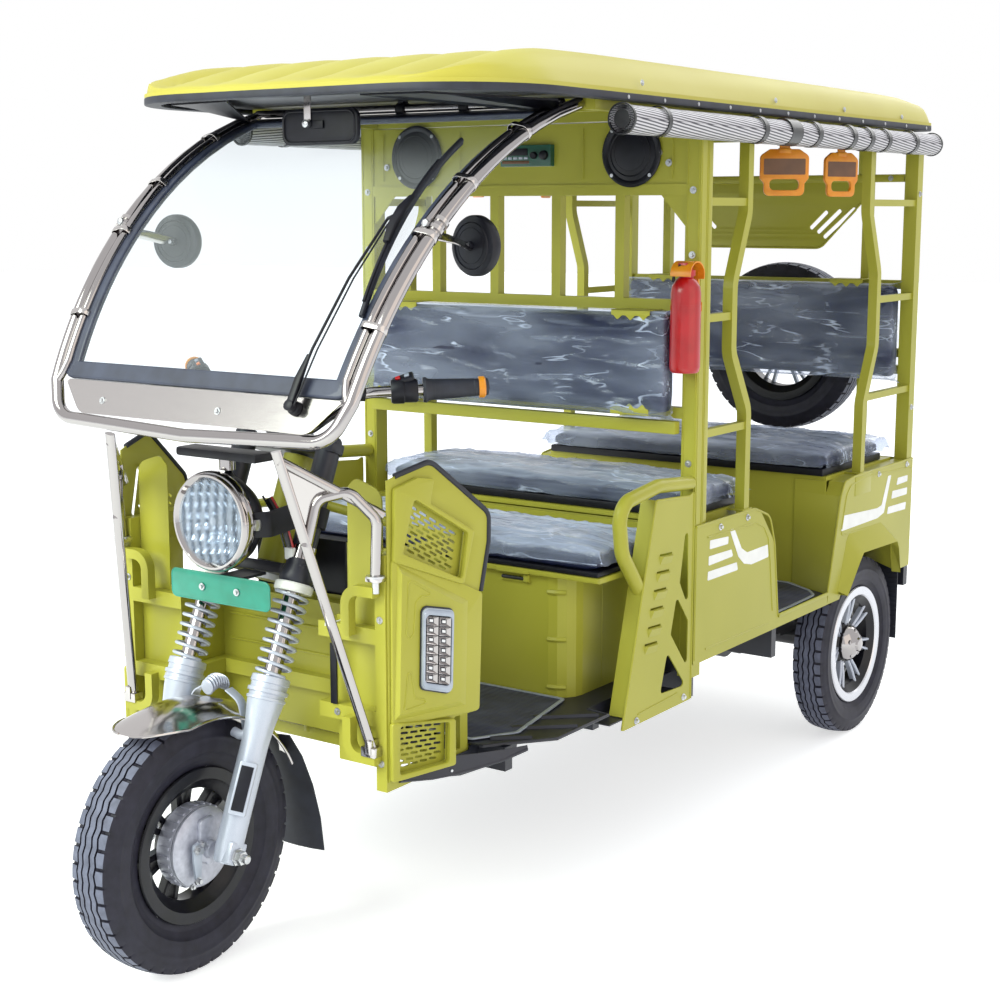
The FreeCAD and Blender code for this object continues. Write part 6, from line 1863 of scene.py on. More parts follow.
def film_front(name, x_half, y_face, y_back, z0, z1, seed):
    """A wrapper drawn over the face of a backrest and round its edges."""
    reach = (y_back - y_face) * 0.9
    depth = sizes().back_crease
    cells = (150, 64)

    def flare(_u, _w, drop):
        """Rolled edge."""
        return 0.005 * min(1.0, drop / 0.012)

    def height(crown, _edge, drop, crease):
        """Distance out from the pad's face."""
        return 0.006 * crown + 0.003 + depth * crease - max(0.0, drop - 0.004)

    half = (x_half, (z1 - z0) / 2)
    points = [(x, y_face - out, (z0 + z1) / 2 + z) for x, z, out in
              film_points(half, reach, cells, seed, 0.11, flare, (0.016, 0.01), 0.7, height)]
    return film_piece(name, "body", points, cells)


def backrests():
    """Driver's and rear passengers' backrests with their wrappers."""
    back_pad("driver_backrest", 0.426, -0.056, -0.002, 1.003, 1.228, replace=("backrests",))
    film_front("driver_back_film", 0.427, -0.058, -0.002, 1.002, 1.229, 41.0)
    back_pad("rear_backrest", 0.438, 1.236, 1.291, 0.982, 1.244)
    film_front("rear_back_film", 0.438, 1.234, 1.291, 0.982, 1.245, 57.0)


ROLL_FRONT, ROLL_LENGTH = -0.398, 1.686
BAND_PLACES = (-0.252, 0.194, 0.355, 0.485, 0.692, 0.802, 0.917, 1.109)
BAND_WIDTHS = (0.014, 0.02, 0.058, 0.022, 0.022, 0.022, 0.02, 0.02)


def curtain_rolls():
    """Striped curtain sheeting rolled up under each side of the roof, tied with dark bands."""
    for side in SIDES:
        centre = Vector((side * 0.5143, 0, 1.636))
        points, uvs = [], []
        steps, length = 30, 140
        spiral = sizes().curtain_turns * steps
        for j in range(length + 1):
            y = ROLL_FRONT + ROLL_LENGTH * j / length
            tight = 1.0
            for band in BAND_PLACES:
                tight -= 0.07 * math.exp(-((y - band) / 0.02) ** 2)
            for i in range(spiral + 1):
                a = math.tau * i / steps
                r = (0.0185 + 0.0125 * i / spiral) * tight
                r *= 1 + 0.015 * noise.noise(Vector((math.cos(a) * 1.2, math.sin(a) * 1.2, y * 6)))
                sag = -0.0006 * math.sin(math.pi * j / length)
                points.append((centre.x + side * r * math.cos(a), y, centre.z + r * math.sin(a) + sag))
                uvs.append((y, a * 0.032 + y * 0.1))
        shape = Shape()
        shape.faces(points, grid_faces(length + 1, spiral + 1), "curtain_sheeting", uvs=uvs)
        shape.align()
        name = "left" if side > 0 else "right"
        piece = shape.piece(f"curtain_roll_{name}", "body", "curtain_cloth",
                            ("curtain_rolls",) if side > 0 else (), 60)
        bands = Shape()
        for band, wide in zip(BAND_PLACES, BAND_WIDTHS):
            place = along((centre.x, band - wide / 2, centre.z), (0, 1, 0))
            bands.lathe([(0, 0.03), (0, 0.0318), (wide, 0.0318), (wide, 0.03)], "cable_black", place, 32,
                        True)
        for y in (-0.399, 1.284):
            place = along((centre.x, y, centre.z), (0, 1, 0))
            bands.lathe([(0, 0.029), (0, 0.0322), (0.006, 0.0322), (0.006, 0.029)], "cable_black", place, 32,
                        True)
            bands.lathe([(0.003, 0.0), (0.003, 0.019)], "cable_black", place, 28)
        bands.piece(f"curtain_bands_{name}", "body", "curtain_cloth")


# Body sides, tail and what is bolted to them

SIDE_X = 0.4852
SIDE_STRIPES = [
    [(0.071, 0.703), (0.164, 0.698), (0.162, 0.68), (0.07, 0.682)],
    [(0.066, 0.666), (0.18, 0.664), (0.189, 0.646), (0.066, 0.644)],
    [(0.064, 0.63), (0.209, 0.628), (0.216, 0.608), (0.062, 0.609)],
    [(0.169, 0.713), (0.193, 0.712), (0.233, 0.658), (0.263, 0.643), (0.375, 0.644), (0.38, 0.612),
     (0.288, 0.609), (0.247, 0.618), (0.217, 0.64)]]
QUARTER_STRIPES = [
    [(1.209, 0.702), (1.283, 0.701), (1.282, 0.683), (1.2, 0.682)],
    [(1.172, 0.669), (1.284, 0.665), (1.281, 0.645), (1.166, 0.647)],
    [(1.144, 0.627), (1.278, 0.623), (1.274, 0.602), (1.138, 0.607)],
    [(1.159, 0.717), (1.136, 0.717), (1.096, 0.639), (1.065, 0.635), (0.833, 0.648), (0.82, 0.607),
     (1.068, 0.606), (1.114, 0.615)]]


def body_sides():
    """White film stripes, pressed lines, wheel-arch flares and corner seams of the sides."""
    shape = Shape()
    place = Matrix.Translation((SIDE_X, 0, 0)) @ SIDEWAYS
    for outline in SIDE_STRIPES + QUARTER_STRIPES:
        shape.plate(rounded_outline(outline, 0.003, 2), sizes().stripe_film, "white_film", place)
    lines = [[(0.058, 0.447), (0.392, 0.442)],
             [(0.06, 0.712), (0.31, 0.708), (0.352, 0.692), (0.378, 0.66), (0.392, 0.6), (0.412, 0.47)],
             [(0.824, 0.612), (0.85, 0.7), (0.876, 0.724), (0.985, 0.735), (1.31, 0.722)],
             [(0.824, 0.606), (0.826, 0.596), (1.08, 0.584)],
             [(0.006, 0.43), (0.006, 0.744)]]
    for line in lines:
        route = rounded_route([(SIDE_X, y, z) for y, z in line], 0.03, 5)
        shape.sweep(route, [(-0.003, -0.001), (0.003, -0.001), (0.0012, 0.0016), (-0.0012, 0.0016)],
                    "sprayed_enamel", (1, 0, 0))
    # Wheel-arch flare: flush along its top line, proud along the opening
    outer = [(0.812, 0.444), (0.86, 0.575), (0.88, 0.596), (1.096, 0.59), (1.158, 0.556), (1.176, 0.53)]
    inner = [(0.826, 0.432), (0.905, 0.515), (0.926, 0.534), (1.165, 0.527), (1.18, 0.505), (1.197, 0.432)]
    outer_line = [Vector((SIDE_X, y, z)) for y, z in outer + [(1.208, 0.44)]]
    inner_line = [Vector((SIDE_X + 0.024, y, z)) for y, z in inner + [(1.198, 0.431)]]
    count = len(outer_line)
    points = outer_line + inner_line + [Vector((SIDE_X - 0.002, p.y, p.z)) for p in inner_line]
    faces = [(k, k + 1, count + k + 1, count + k) for k in range(count - 1)]
    faces += [(count + k, count + k + 1, 2 * count + k + 1, 2 * count + k) for k in range(count - 1)]
    sheet_of(points, faces, "sprayed_enamel", 0.0015, (1, 0, 0)).take_into(shape)
    # Folded edge down the front of the quarter and along the side panel's curved end
    seam = rounded_route([(SIDE_X - 0.001, 0.747, 0.452), (SIDE_X - 0.001, 0.8125, 0.7),
                          (SIDE_X - 0.001, 0.836, 0.738), (SIDE_X - 0.001, 0.9, 0.7455),
                          (SIDE_X - 0.001, 1.316, 0.7455)], 0.02, 5)
    shape.rod(seam, 0.0035, "sprayed_enamel", (1, 0, 0), 10)
    end = rounded_route([(SIDE_X - 0.001, 0.444, 0.452), (SIDE_X - 0.001, 0.415, 0.64),
                         (SIDE_X - 0.001, 0.385, 0.715), (SIDE_X - 0.001, 0.3, 0.7445),
                         (SIDE_X - 0.001, 0.004, 0.7445)], 0.05, 7)
    shape.rod(end, 0.003, "sprayed_enamel", (1, 0, 0), 10)
    sill = [(SIDE_X + 0.001, 0.446, 0.4505), (SIDE_X + 0.001, 0.744, 0.4505)]
    shape.sweep(sill, square_section(0.01, 0.005, 0.002), "sprayed_enamel", (1, 0, 0))
    shape.mirror()
    shape.piece("side_trim", "body", "body_paint")
    heads = [(0.122, 0.727), (0.261, 0.729), (1.067, 0.731), (1.273, 0.734)]
    places = both_sides([(0.4856, y, z) for y, z in heads], (1, 0, 0))
    bolts("side_bolts", places, "body", radius=0.0085, height=0.006)


def side_guards():
    """Louvres pressed in the guards, the lip round the truss, foot pads and bolts."""
    shape = Shape()
    scoops = [(-0.163, 0.709), (-0.175, 0.672), (-0.187, 0.633), (-0.201, 0.594), (-0.21, 0.554),
              (-0.225, 0.518)]
    for y, z in scoops:
        low, high = z - 0.024, z - 0.006
        points = [(SIDE_X, y + 0.002, low), (SIDE_X, y + 0.053, low - 0.003),
                  (SIDE_X + 0.007, y + 0.05, high - 0.003), (SIDE_X + 0.007, y + 0.005, high),
                  (SIDE_X, y - 0.002, high + 0.002), (SIDE_X, y + 0.057, high - 0.001)]
        shape.faces(points, [(0, 1, 2, 3), (0, 3, 4), (1, 5, 2), (3, 2, 5, 4)], "sprayed_enamel")
    rim = rounded_route([(SIDE_X - 0.0005, -0.181, 0.831), (SIDE_X - 0.0005, -0.1, 0.826),
                         (SIDE_X - 0.0005, -0.03, 0.82)], 0.01, 4)
    shape.rod(rim, 0.003, "sprayed_enamel", (1, 0, 0), 8)
    fold = [(SIDE_X - 0.001, -0.316, 0.345), (SIDE_X - 0.001, -0.182, 0.832)]
    shape.rod(fold, 0.003, "sprayed_enamel", (1, 0, 0), 8)
    shape.rod([(SIDE_X, -0.25, 0.366), (SIDE_X, -0.075, 0.372)], 0.0018, "sprayed_enamel", (1, 0, 0), 8)
    shape.rod([(SIDE_X - 0.0005, -0.01, 0.345), (SIDE_X - 0.0005, -0.01, 0.826)], 0.0028, "sprayed_enamel",
              (1, 0, 0), 8)
    shape.align()
    shape.mirror()
    shape.piece("guard_pressings", "body", "body_paint")
    heads = both_sides([(0.4856, -0.044, 0.356), (0.4856, -0.257, 0.353)], (1, 0, 0))
    bolts("guard_bolts", heads, "body", radius=0.0085, height=0.006)


def posts():
    """Rolled grooves and bolts on the posts, seams on the ladder feet, and the partition's corner plates."""
    shape = Shape()
    groove = [(-0.0012, -0.0005), (0.0012, -0.0005), (0.0008, 0.0012), (-0.0008, 0.0012)]
    for y in (0.005, 0.03, 0.036):
        shape.sweep([(0.482, y, 0.746), (0.482, y, 1.652)], groove, "sprayed_enamel", (1, 0, 0))
    for x in (0.449, 0.477):
        shape.sweep([(x, -0.0002, 0.42), (x, -0.0002, 1.652)], groove, "sprayed_enamel", (0, -1, 0))
    # Flat strip beside the post that carries the ladder, and its feet on the side panel
    shape.box((0.4555, 0.0382, 0.7455), (0.48, 0.06, 1.653), "sprayed_enamel", 0.0025)
    shape.box((0.44, 0.238, 0.7455), (0.4845, 0.286, 0.75), "sprayed_enamel", 0.0015)
    shape.box((0.44, 0.936, 0.7455), (0.4845, 0.984, 0.75), "sprayed_enamel", 0.0015)
    shape.box((0.483, 0.905, 0.69), (0.4862, 1.012, 0.746), "sprayed_enamel", 0.001)
    # Speaker panel stiffeners and the gussets under the partition's top rail
    for x in (0.41, 0.175):
        shape.sweep([(x, -0.001, 1.525), (x, -0.001, 1.64)], groove, "sprayed_enamel", (0, -1, 0))
    shape.faces([(0.443, 0.004, 1.489), (0.38, 0.004, 1.489), (0.443, 0.004, 1.42), (0.443, 0.008, 1.489),
                 (0.38, 0.008, 1.489), (0.443, 0.008, 1.42)],
                [(0, 1, 2), (5, 4, 3), (0, 3, 4, 1), (1, 4, 5, 2), (2, 5, 3, 0)], "sprayed_enamel")
    shape.align()
    shape.mirror()
    shape.piece("post_details", "body", "body_paint")
    front = [(0.463, 0.889), (0.463, 1.358), (0.463, 1.5), (0.4, 1.56), (0.463, 1.18)]
    places = both_sides([(x, -0.0004, z) for x, z in front], (0, -1, 0))
    places += both_sides([(0.4826, 1.297, 0.897), (0.4826, 1.297, 1.5)], (1, 0, 0))
    places += both_sides([(x, -0.0004, 1.583) for x in (0.305 + 0.07, 0.305 - 0.07)], (0, -1, 0))
    bolts("post_bolts", places, "body", radius=0.0085, height=0.006)


def speakers_radio():
    """Speakers behind pierced discs, four screws each, and the radio's dark green face."""
    shape = Shape()
    for x in (0.305, -0.305):
        place = along((x, 0.0, 1.583), (0, -1, 0))
        shape.lathe([(0, 0.06), (0, 0.0755), (0.004, 0.0765), (0.007, 0.073), (0.007, 0.066), (0.004, 0.062),
                     (0.01, 0.044), (0.013, 0.02), (0.0135, 0.0)], "moulded_abs", place, 56)
        shape.lathe([(-0.004, 0.066), (-0.03, 0.034), (-0.034, 0.0)], "moulded_abs",
                    along((x, 0.006, 1.583), (0, -1, 0)), 40)
        for r in (0.026, 0.04, 0.052):
            shape.lathe([(0.0085, r - 0.0015), (0.0145 - 0.09 * r, r), (0.0085, r + 0.0015)], "moulded_abs",
                        place, 48)
    # Radio: face, display, slot, two knobs and five keys
    shape.box((-0.048, -0.012, 1.557), (0.094, 0.12, 1.606), "green_panel", 0.002)
    shape.box((-0.042, -0.014, 1.582), (0.03, -0.0118, 1.598), "moulded_abs", 0.0015)
    shape.box((-0.042, -0.014, 1.563), (0.034, -0.0118, 1.57), "brown_label", 0.001)
    for x, r in ((0.048, 0.0085), (0.076, 0.011)):
        knob = along((x, -0.0118, 1.582), (0, -1, 0))
        shape.lathe([(0, 0), (0, r), (0.008, r * 0.92), (0.0095, r * 0.75), (0.0095, 0)], "moulded_abs", knob,
                    28)
    for k in range(5):
        shape.box((-0.04 + 0.015 * k, -0.014, 1.5735), (-0.029 + 0.015 * k, -0.0118, 1.579), "satin_bezel",
                  0.0008)
    shape.piece("speakers_and_radio", "body", "black_plastic", ("speakers_radio",), 40)
    screws = [Vector((0.07 * math.cos(math.pi * k / 4), 0, 0.07 * math.sin(math.pi * k / 4)))
              for k in (1, 3, 5, 7)]
    ring = [(Vector((x, -0.006, 1.583)) + spot, (0, -1, 0)) for x in (0.305, -0.305) for spot in screws]
    bolts("speaker_screws", ring, "body", radius=0.0045, height=0.002)


def seat_box():
    """Pressed ribs round the corners of the driver's box, its latch, and the lid's turned edge."""
    shape = Shape()
    corner = Vector((0.305, -0.28, 0))
    for z in (0.633, 0.527, 0.419):
        route = []
        for k in range(7):
            a = math.radians(-92 + 44 * k / 6)
            route.append((corner.x + 0.0553 * math.cos(a), corner.y + 0.0553 * math.sin(a), z))
        shape.sweep(route, [(-0.005, -0.0045), (0.0012, -0.0045), (0.0042, 0.0), (0.0012, 0.0055),
                            (-0.005, 0.0055)],
                    "sprayed_enamel", (0, 0, 1))
    shape.rod([(0.3605, -0.2, 0.402), (0.3605, -0.2, 0.664)], 0.0015, "sprayed_enamel", (1, 0, 0), 6)
    shape.align()
    shape.mirror()
    # Latch: recess, barrel and keeper under the lid
    shape.box((0.18, -0.34, 0.648), (0.258, -0.3345, 0.654), "sprayed_enamel", 0.0015)
    shape.rod([(0.186, -0.34, 0.656), (0.252, -0.34, 0.656)], 0.004, "dark_axle_paint", sides=12)
    shape.box((0.244, -0.344, 0.65), (0.258, -0.335, 0.666), "sprayed_enamel", 0.0015)
    shape.piece("seat_box_pressings", "body", "body_paint")
    lid = Shape()
    lid.box((-0.4395, -0.348, 0.67), (0.4395, -0.3432, 0.6805), "sprayed_enamel", 0.0012)
    lid.box((0.176, -0.35, 0.669), (0.262, -0.3478, 0.676), "sprayed_enamel", 0.0008)
    lid.piece("lid_edge", "seat_lid", "body_paint")


def floors():
    """Pressed ridges in the driver's floor, both mats with their light edging, and the skirt under them."""
    shape = Shape()
    for (x0, y0), (x1, y1) in (((0.368, -0.487), (0.47, -0.392)), ((0.372, -0.575), (0.474, -0.482)),
                               ((0.374, -0.655), (0.44, -0.6))):
        shape.sweep([(x0, y0, 0.3978), (x1, y1, 0.3978)], [(-0.01, -0.001), (0.01, -0.001), (0.0045, 0.0045),
                                                        (-0.0045, 0.0045)], "black_enamel", (0, 0, 1))
    edge = [(0.38, -0.699), (0.387, -0.699), (0.4845, -0.575), (0.4845, -0.375), (0.426, -0.365)]
    shape.rod([(x, y, 0.3955) for x, y in edge], 0.0035, "black_enamel", (0, 0, 1), 10)
    skirt = [(0.356, -0.925, 0.378, 0.383), (0.36, -0.827, 0.357, 0.39), (0.378, -0.78, 0.356, 0.393),
             (0.41, -0.735, 0.364, 0.3935), (0.436, -0.69, 0.372, 0.3935), (0.458, -0.64, 0.384, 0.3935)]
    points = [(x, y, z) for x, y, z, _ in skirt] + [(x - 0.004, y + 0.002, top) for x, y, _, top in skirt]
    sheet_of(points, grid_faces(2, len(skirt)), "black_enamel", 0.003).take_into(shape)
    shape.rod([(x - 0.003, y, z + 0.001) for x, y, z, _ in skirt], 0.0035, "black_enamel", (1, 0, 0), 8)
    shape.align()
    shape.mirror()
    shape.piece("floor_pressings", "body", "black_paint")
    bolts("skirt_bolts", both_sides([(0.372, -0.786, 0.366)], (1, -0.5, 0)), "body", radius=0.006)
    mats = Shape()
    front = [(-0.352, -0.69), (0.352, -0.69), (0.404, -0.6), (0.352, -0.345), (-0.352, -0.345),
             (-0.404, -0.6)]
    rear = [(0.47, 0.3), (0.47, 0.56), (0.466, 0.7), (0.43, 0.748), (0.345, 0.803), (-0.345, 0.803),
            (-0.43, 0.748), (-0.466, 0.7), (-0.47, 0.56), (-0.47, 0.3)]
    for outline, z, radii in ((front, 0.3972, [0.01, 0.01, 0.02, 0.01, 0.01, 0.02]),
                              (rear, 0.4482, [0.01, 0, 0.05, 0.05, 0.02, 0.02, 0.05, 0.05, 0, 0.01])):
        loop = rounded_outline(outline, radii, 5)
        mats.plate(loop, 0.0038, "ribbed_matting", Matrix.Translation((0, 0, z)), bevel=0.0008)
        mats.sweep([(x, y, z + 0.004) for x, y in loop], square_section(0.009, 0.0035, 0.0012), "satin_bezel",
                   (0, 0, 1), closed=True)
    mats.piece("edged_mats", "body", "floor_mat", ("floor_mats",))


def tail():
    """Tail lamps, the bumper's return edges, the ribbed mud flaps and the pressed tail sheet."""
    lamps = Shape()
    for side in SIDES:
        x0, x1 = side * 0.4 - 0.05, side * 0.4 + 0.05
        lamps.box((x0, 1.3203, 0.56), (x1, 1.3262, 0.64), "moulded_abs", 0.003)
        for z0, z1, lens in ((0.564, 0.587, "amber_lens"), (0.589, 0.614, "red_lens"),
                             (0.616, 0.636, "led_white")):
            lamps.box((x0 + 0.004, 1.3262, z0), (x1 - 0.004, 1.3395, z1), lens, 0.004)
            rib = Shape()
            rib.box((x0 + 0.01, 1.3392, z0 + 0.003), (x0 + 0.0115, 1.3402, z1 - 0.003), lens, 0.0003)
            mesh = row_of(f"lens_ribs_{side}_{int(z0 * 1000)}", rib, 15, (0.0055, 0, 0), lens)
            lamps.take_mesh(mesh)
    lamps.piece("tail_lamp_lenses", "body", "lamp_lens", ("tail_lamps",))
    shape = Shape()
    for z in (0.475, 0.7):
        shape.sweep([(-0.44, 1.3205, z), (0.44, 1.3205, z)], [(-0.006, -0.001), (0.006, -0.001),
                                                              (0.003, 0.003), (-0.003, 0.003)],
                    "sprayed_enamel", (0, 1, 0))
    loop = [(x, 1.3205, z) for x, z in rounded_outline([(-0.3, 0.5), (0.3, 0.5), (0.3, 0.68), (-0.3, 0.68)],
                                                       0.03, 5)]
    shape.rod(loop, 0.0022, "sprayed_enamel", (0, 1, 0), 6, closed=True)
    shape.piece("tail_pressings", "body", "body_paint")
    flaps = Shape()
    for name, y0, y1 in (("flap_ribs", 1.2792, 1.2806), ("flap_front_ribs", 1.2744, 1.2758)):
        rib = Shape()
        rib.box((0.376, y0, 0.235), (0.468, y1, 0.238), "moulded_rubber", 0.0004)
        flaps.take_mesh(row_of(name, rib, 14, (0, 0, 0.014), "moulded_rubber"))
    flaps.mirror()
    flaps.piece("flap_ribbing", "body", "rubber")
    places = both_sides([(0.44, 1.3502, 0.398)], (0, 1, 0))
    places += [((side * 0.4 + dx, 1.3206, 0.655), (0, 1, 0)) for side in SIDES for dx in (-0.03, 0.03)]
    bolts("tail_bolts", places, "body", radius=0.0085, height=0.006)


def upper_panel():
    """Panel across the rear opening in the body's enamel, with three slanted slots each side."""
    shape = Shape()
    place = turned((0, 1.292, 0), 90, "X")
    outline = rounded_outline([(-0.335, 1.545), (-0.335, 1.5), (-0.19, 1.346), (0.19, 1.346), (0.335, 1.5),
                               (0.335, 1.545)], [0, 0.02, 0.04, 0.04, 0.02, 0], 6)
    holes = []
    for side in SIDES:
        for a, b in (((0.16, 1.406), (0.203, 1.448)), ((0.183, 1.394), (0.245, 1.452)),
                     ((0.203, 1.38), (0.289, 1.457))):
            a, b = Vector((side * a[0], a[1])), Vector((side * b[0], b[1]))
            way = (b - a).normalized() * 0.006
            across = Vector((-way.y, way.x))
            holes.append(rounded_outline([tuple(p) for p in (a - way - across, b + way - across,
                                                             b + way + across, a - way + across)], 0.005, 4))
    shape.plate(outline, 0.005, "sprayed_enamel", place, holes, bevel=0.001)
    rim = [(x, 1.2868, z) for x, z in outline if z < 1.54]
    shape.rod(rim, 0.003, "sprayed_enamel", (0, 1, 0), 8)
    shape.sweep([(-0.44, 1.2935, 1.545), (0.44, 1.2935, 1.545)], square_section(0.022, 0.022, 0.003),
                "sprayed_enamel")
    for side in SIDES:
        shape.box((side * 0.3075 - 0.0075, 1.286, 1.545), (side * 0.3075 + 0.0075, 1.292, 1.655),
                  "sprayed_enamel", 0.001)
    shape.piece("cutout_panel", "body", "body_paint", ("rear_upper_panel",))
    bolts("upper_panel_bolts", both_sides([(0.4, 1.2822, 1.545)], (0, -1, 0)), "body", radius=0.008)


def grab_handles():
    """Orange moulded handles: bar, blank brown label and hanging strap."""
    shape = Shape()
    for side in SIDES:
        for y0, y1, turn in ((0.41, 0.53, 52), (0.745, 0.865, 20)):
            middle = (y0 + y1) / 2
            turned_by = turned((side * 0.4565, middle, 0), -side * turn, "Z")
            place = turned_by @ SIDEWAYS @ Matrix.Translation((0, 0, -0.0045))
            outline = rounded_outline([(-0.036, 1.602), (-0.06, 1.586), (-0.06, 1.532), (-0.05, 1.52),
                                       (-0.05, 1.49), (0.05, 1.49), (0.05, 1.52), (0.06, 1.532),
                                       (0.06, 1.586), (0.036, 1.602)],
                                      [0.012, 0.014, 0.008, 0.008, 0.014, 0.014, 0.008, 0.008, 0.014, 0.012],
                                      5)
            hole = rounded_outline([(-0.036, 1.504), (0.036, 1.504), (0.036, 1.53), (-0.036, 1.53)], 0.011, 5)
            shape.plate(outline, 0.009, "orange_nylon", place, [hole], bevel=0.002)
            for face in (-0.0006, 0.0086):
                shape.plate(rounded_outline([(-0.051, 1.541), (0.051, 1.541), (0.051, 1.579),
                                             (-0.051, 1.579)], 0.002, 2),
                            0.001, "brown_label", place @ Matrix.Translation((0, 0, face)))
            shape.plate(rounded_outline([(-0.013, 1.592), (0.013, 1.592), (0.013, 1.655), (-0.013, 1.655)],
                                        0.003, 2),
                        0.004, "orange_nylon", place @ Matrix.Translation((0, 0, 0.0025)), bevel=0.0008)
            shape.box((-0.016, -0.006, 1.592), (0.016, 0.006, 1.604), "orange_nylon", 0.003,
                      turned_by @ Matrix.Rotation(math.radians(90), 4, "Z"))
    shape.align()
    shape.piece("orange_handles", "body", "orange_plastic", ("grab_handles",))


def extinguisher():
    """Small red bottle, its orange hood, and the strap that holds it to the post."""
    shape = Shape()
    middle = Vector((0.4715, -0.041, 0))
    place = along((middle.x, middle.y, 1.1), (0, 0, 1))
    shape.lathe([(0.004, 0), (0.002, 0.02), (0.0, 0.029), (0.004, 0.0325), (0.01, 0.0335), (0.176, 0.0335),
                 (0.19, 0.0315), (0.203, 0.024), (0.21, 0.0165), (0.228, 0.015), (0.228, 0)], "red_enamel",
                place, 56)
    shape.lathe([(0.012, 0.0335), (0.012, 0.0342), (0.15, 0.0342), (0.15, 0.0335)], "red_enamel", place, 56)
    shape.lathe([(0.214, 0.0165), (0.214, 0.0205), (0.226, 0.0205), (0.228, 0.014)], "red_enamel", place, 28)
    shape.box((middle.x - 0.012, middle.y - 0.02, 1.326), (middle.x + 0.012, middle.y + 0.012, 1.343),
              "red_enamel", 0.004)
    shape.rod([(middle.x - 0.004, middle.y - 0.018, 1.338), (middle.x - 0.016, middle.y - 0.024, 1.322),
               (middle.x - 0.02, middle.y - 0.024, 1.3)], 0.0035, "moulded_abs", sides=10)
    # Hood: an arched strip over the valve, turned down at the rear
    points = []
    for k in range(15):
        a = math.radians(200 - 206 * k / 14)
        for w in (-0.024, 0.026):
            points.append((middle.x + w, middle.y + 0.004 - 0.034 * math.cos(a), 1.316 + 0.03 * math.sin(a)))
    faces = [(2 * k, 2 * k + 2, 2 * k + 3, 2 * k + 1) for k in range(14)]
    sheet_of(points, faces, "orange_nylon", 0.003).take_into(shape)
    # Back plate and its short strap
    shape.box((middle.x - 0.012, -0.0075, 1.125), (middle.x + 0.012, -0.0012, 1.33), "orange_nylon", 0.0015)
    band = along((middle.x, middle.y, 1.236), (0, 0, 1))
    shape.lathe([(0, 0.0338), (0, 0.0356), (0.02, 0.0356), (0.02, 0.0338)], "orange_nylon", band, 24, True,
                math.radians(150), math.radians(-60))
    shape.piece("red_extinguisher", "body", "red_paint", ("fire_extinguisher",), 40)


def handlebar():
    """Chromed bar with four clamp bolts, switch clusters, tapered grips and their orange rings."""
    shape = Shape()
    high = 0.795 + 0.022
    clamp = fork_point(0, high + 0.018, 0.02)
    rise = clamp + Vector((0, -0.01, 0.092))
    bend = 0.395 - 0.125 - 0.06
    points = [clamp, Vector((0.07, clamp.y, clamp.z)), Vector((bend, rise.y, rise.z - 0.01)),
              Vector((0.395, clamp.y + 0.15, rise.z))]
    heading = (points[3] - points[2]).normalized()
    for side in SIDES:
        flip = Vector((side, 1, 1))
        route = [p * flip for p in rounded_route(points, 0.05, 8)]
        shape.rod(route, 0.0112, "bright_chrome", (0, 0, 1), 18)
        end, way = points[3] * flip, heading * flip
        grip = along(end - way * 0.125, way)
        shape.lathe([(0, 0.012), (0, 0.024), (0.005, 0.025), (0.01, 0.0215), (0.02, 0.0205), (0.06, 0.019),
                     (0.105, 0.017), (0.112, 0.0165)], "moulded_rubber", grip, 32)
        shape.lathe([(0.108, 0.0165), (0.108, 0.0205), (0.118, 0.021), (0.122, 0.0165)], "orange_nylon", grip,
                    32)
        shape.lathe([(0.121, 0.0175), (0.126, 0.016), (0.128, 0.009), (0.128, 0.0)], "moulded_rubber", grip,
                    28)
        for k in range(9):
            at = along(end - way * (0.104 - 0.0095 * k), way)
            shape.lathe([(0, 0.018), (0.0015, 0.0206 - 0.0004 * k), (0.003, 0.018)], "moulded_rubber", at, 28)
        pod = along(end - way * 0.187, way)
        shape.lathe([(0, 0.0118), (0, 0.0215), (0.004, 0.024), (0.024, 0.0245), (0.026, 0.0225),
                     (0.048, 0.0235), (0.052, 0.0205), (0.052, 0.0118)], "moulded_abs", pod, 28)
        base = end - way * 0.16
        up = facing(base + Vector((0, 0, 0.018)), (0, -0.55, 0.84), way)
        shape.box((-0.012, -0.022, 0), (0.012, 0.02, 0.011), "moulded_abs", 0.004, up)
        shape.box((-0.004, -0.015, 0.01), (0.004, -0.005, 0.015), "red_lens" if side > 0 else "amber_lens",
                  0.0015, up)
        shape.box((-0.004, 0.003, 0.01), (0.004, 0.013, 0.014), "satin_bezel", 0.0015, up)
        ring = along(points[2] * flip - way * 0.004, way)
        shape.lathe([(0, 0.0114), (0, 0.016), (0.012, 0.016), (0.012, 0.0114)], "moulded_abs", ring, 24, True)
    saddle = Matrix.Translation(fork_point(0, high)) @ Matrix.Rotation(-RAKE, 4, "X")
    shape.box((-0.032, -0.036, 0.0), (0.032, -0.004, 0.034), "black_enamel", 0.004, saddle)
    for x in (-0.021, 0.021):
        for y in (-0.03, -0.01):
            stud = saddle @ Matrix.Translation((x, y, 0.032))
            shape.lathe([(0, 0), (0, 0.0065), (0.006, 0.0065), (0.008, 0.004), (0.008, 0)], "zinc_plate",
                        stud @ Matrix.Rotation(math.radians(-90), 4, "Y"), 6)
    shape.piece("steering_bar", "steering", "chrome", ("handlebar",), 40)


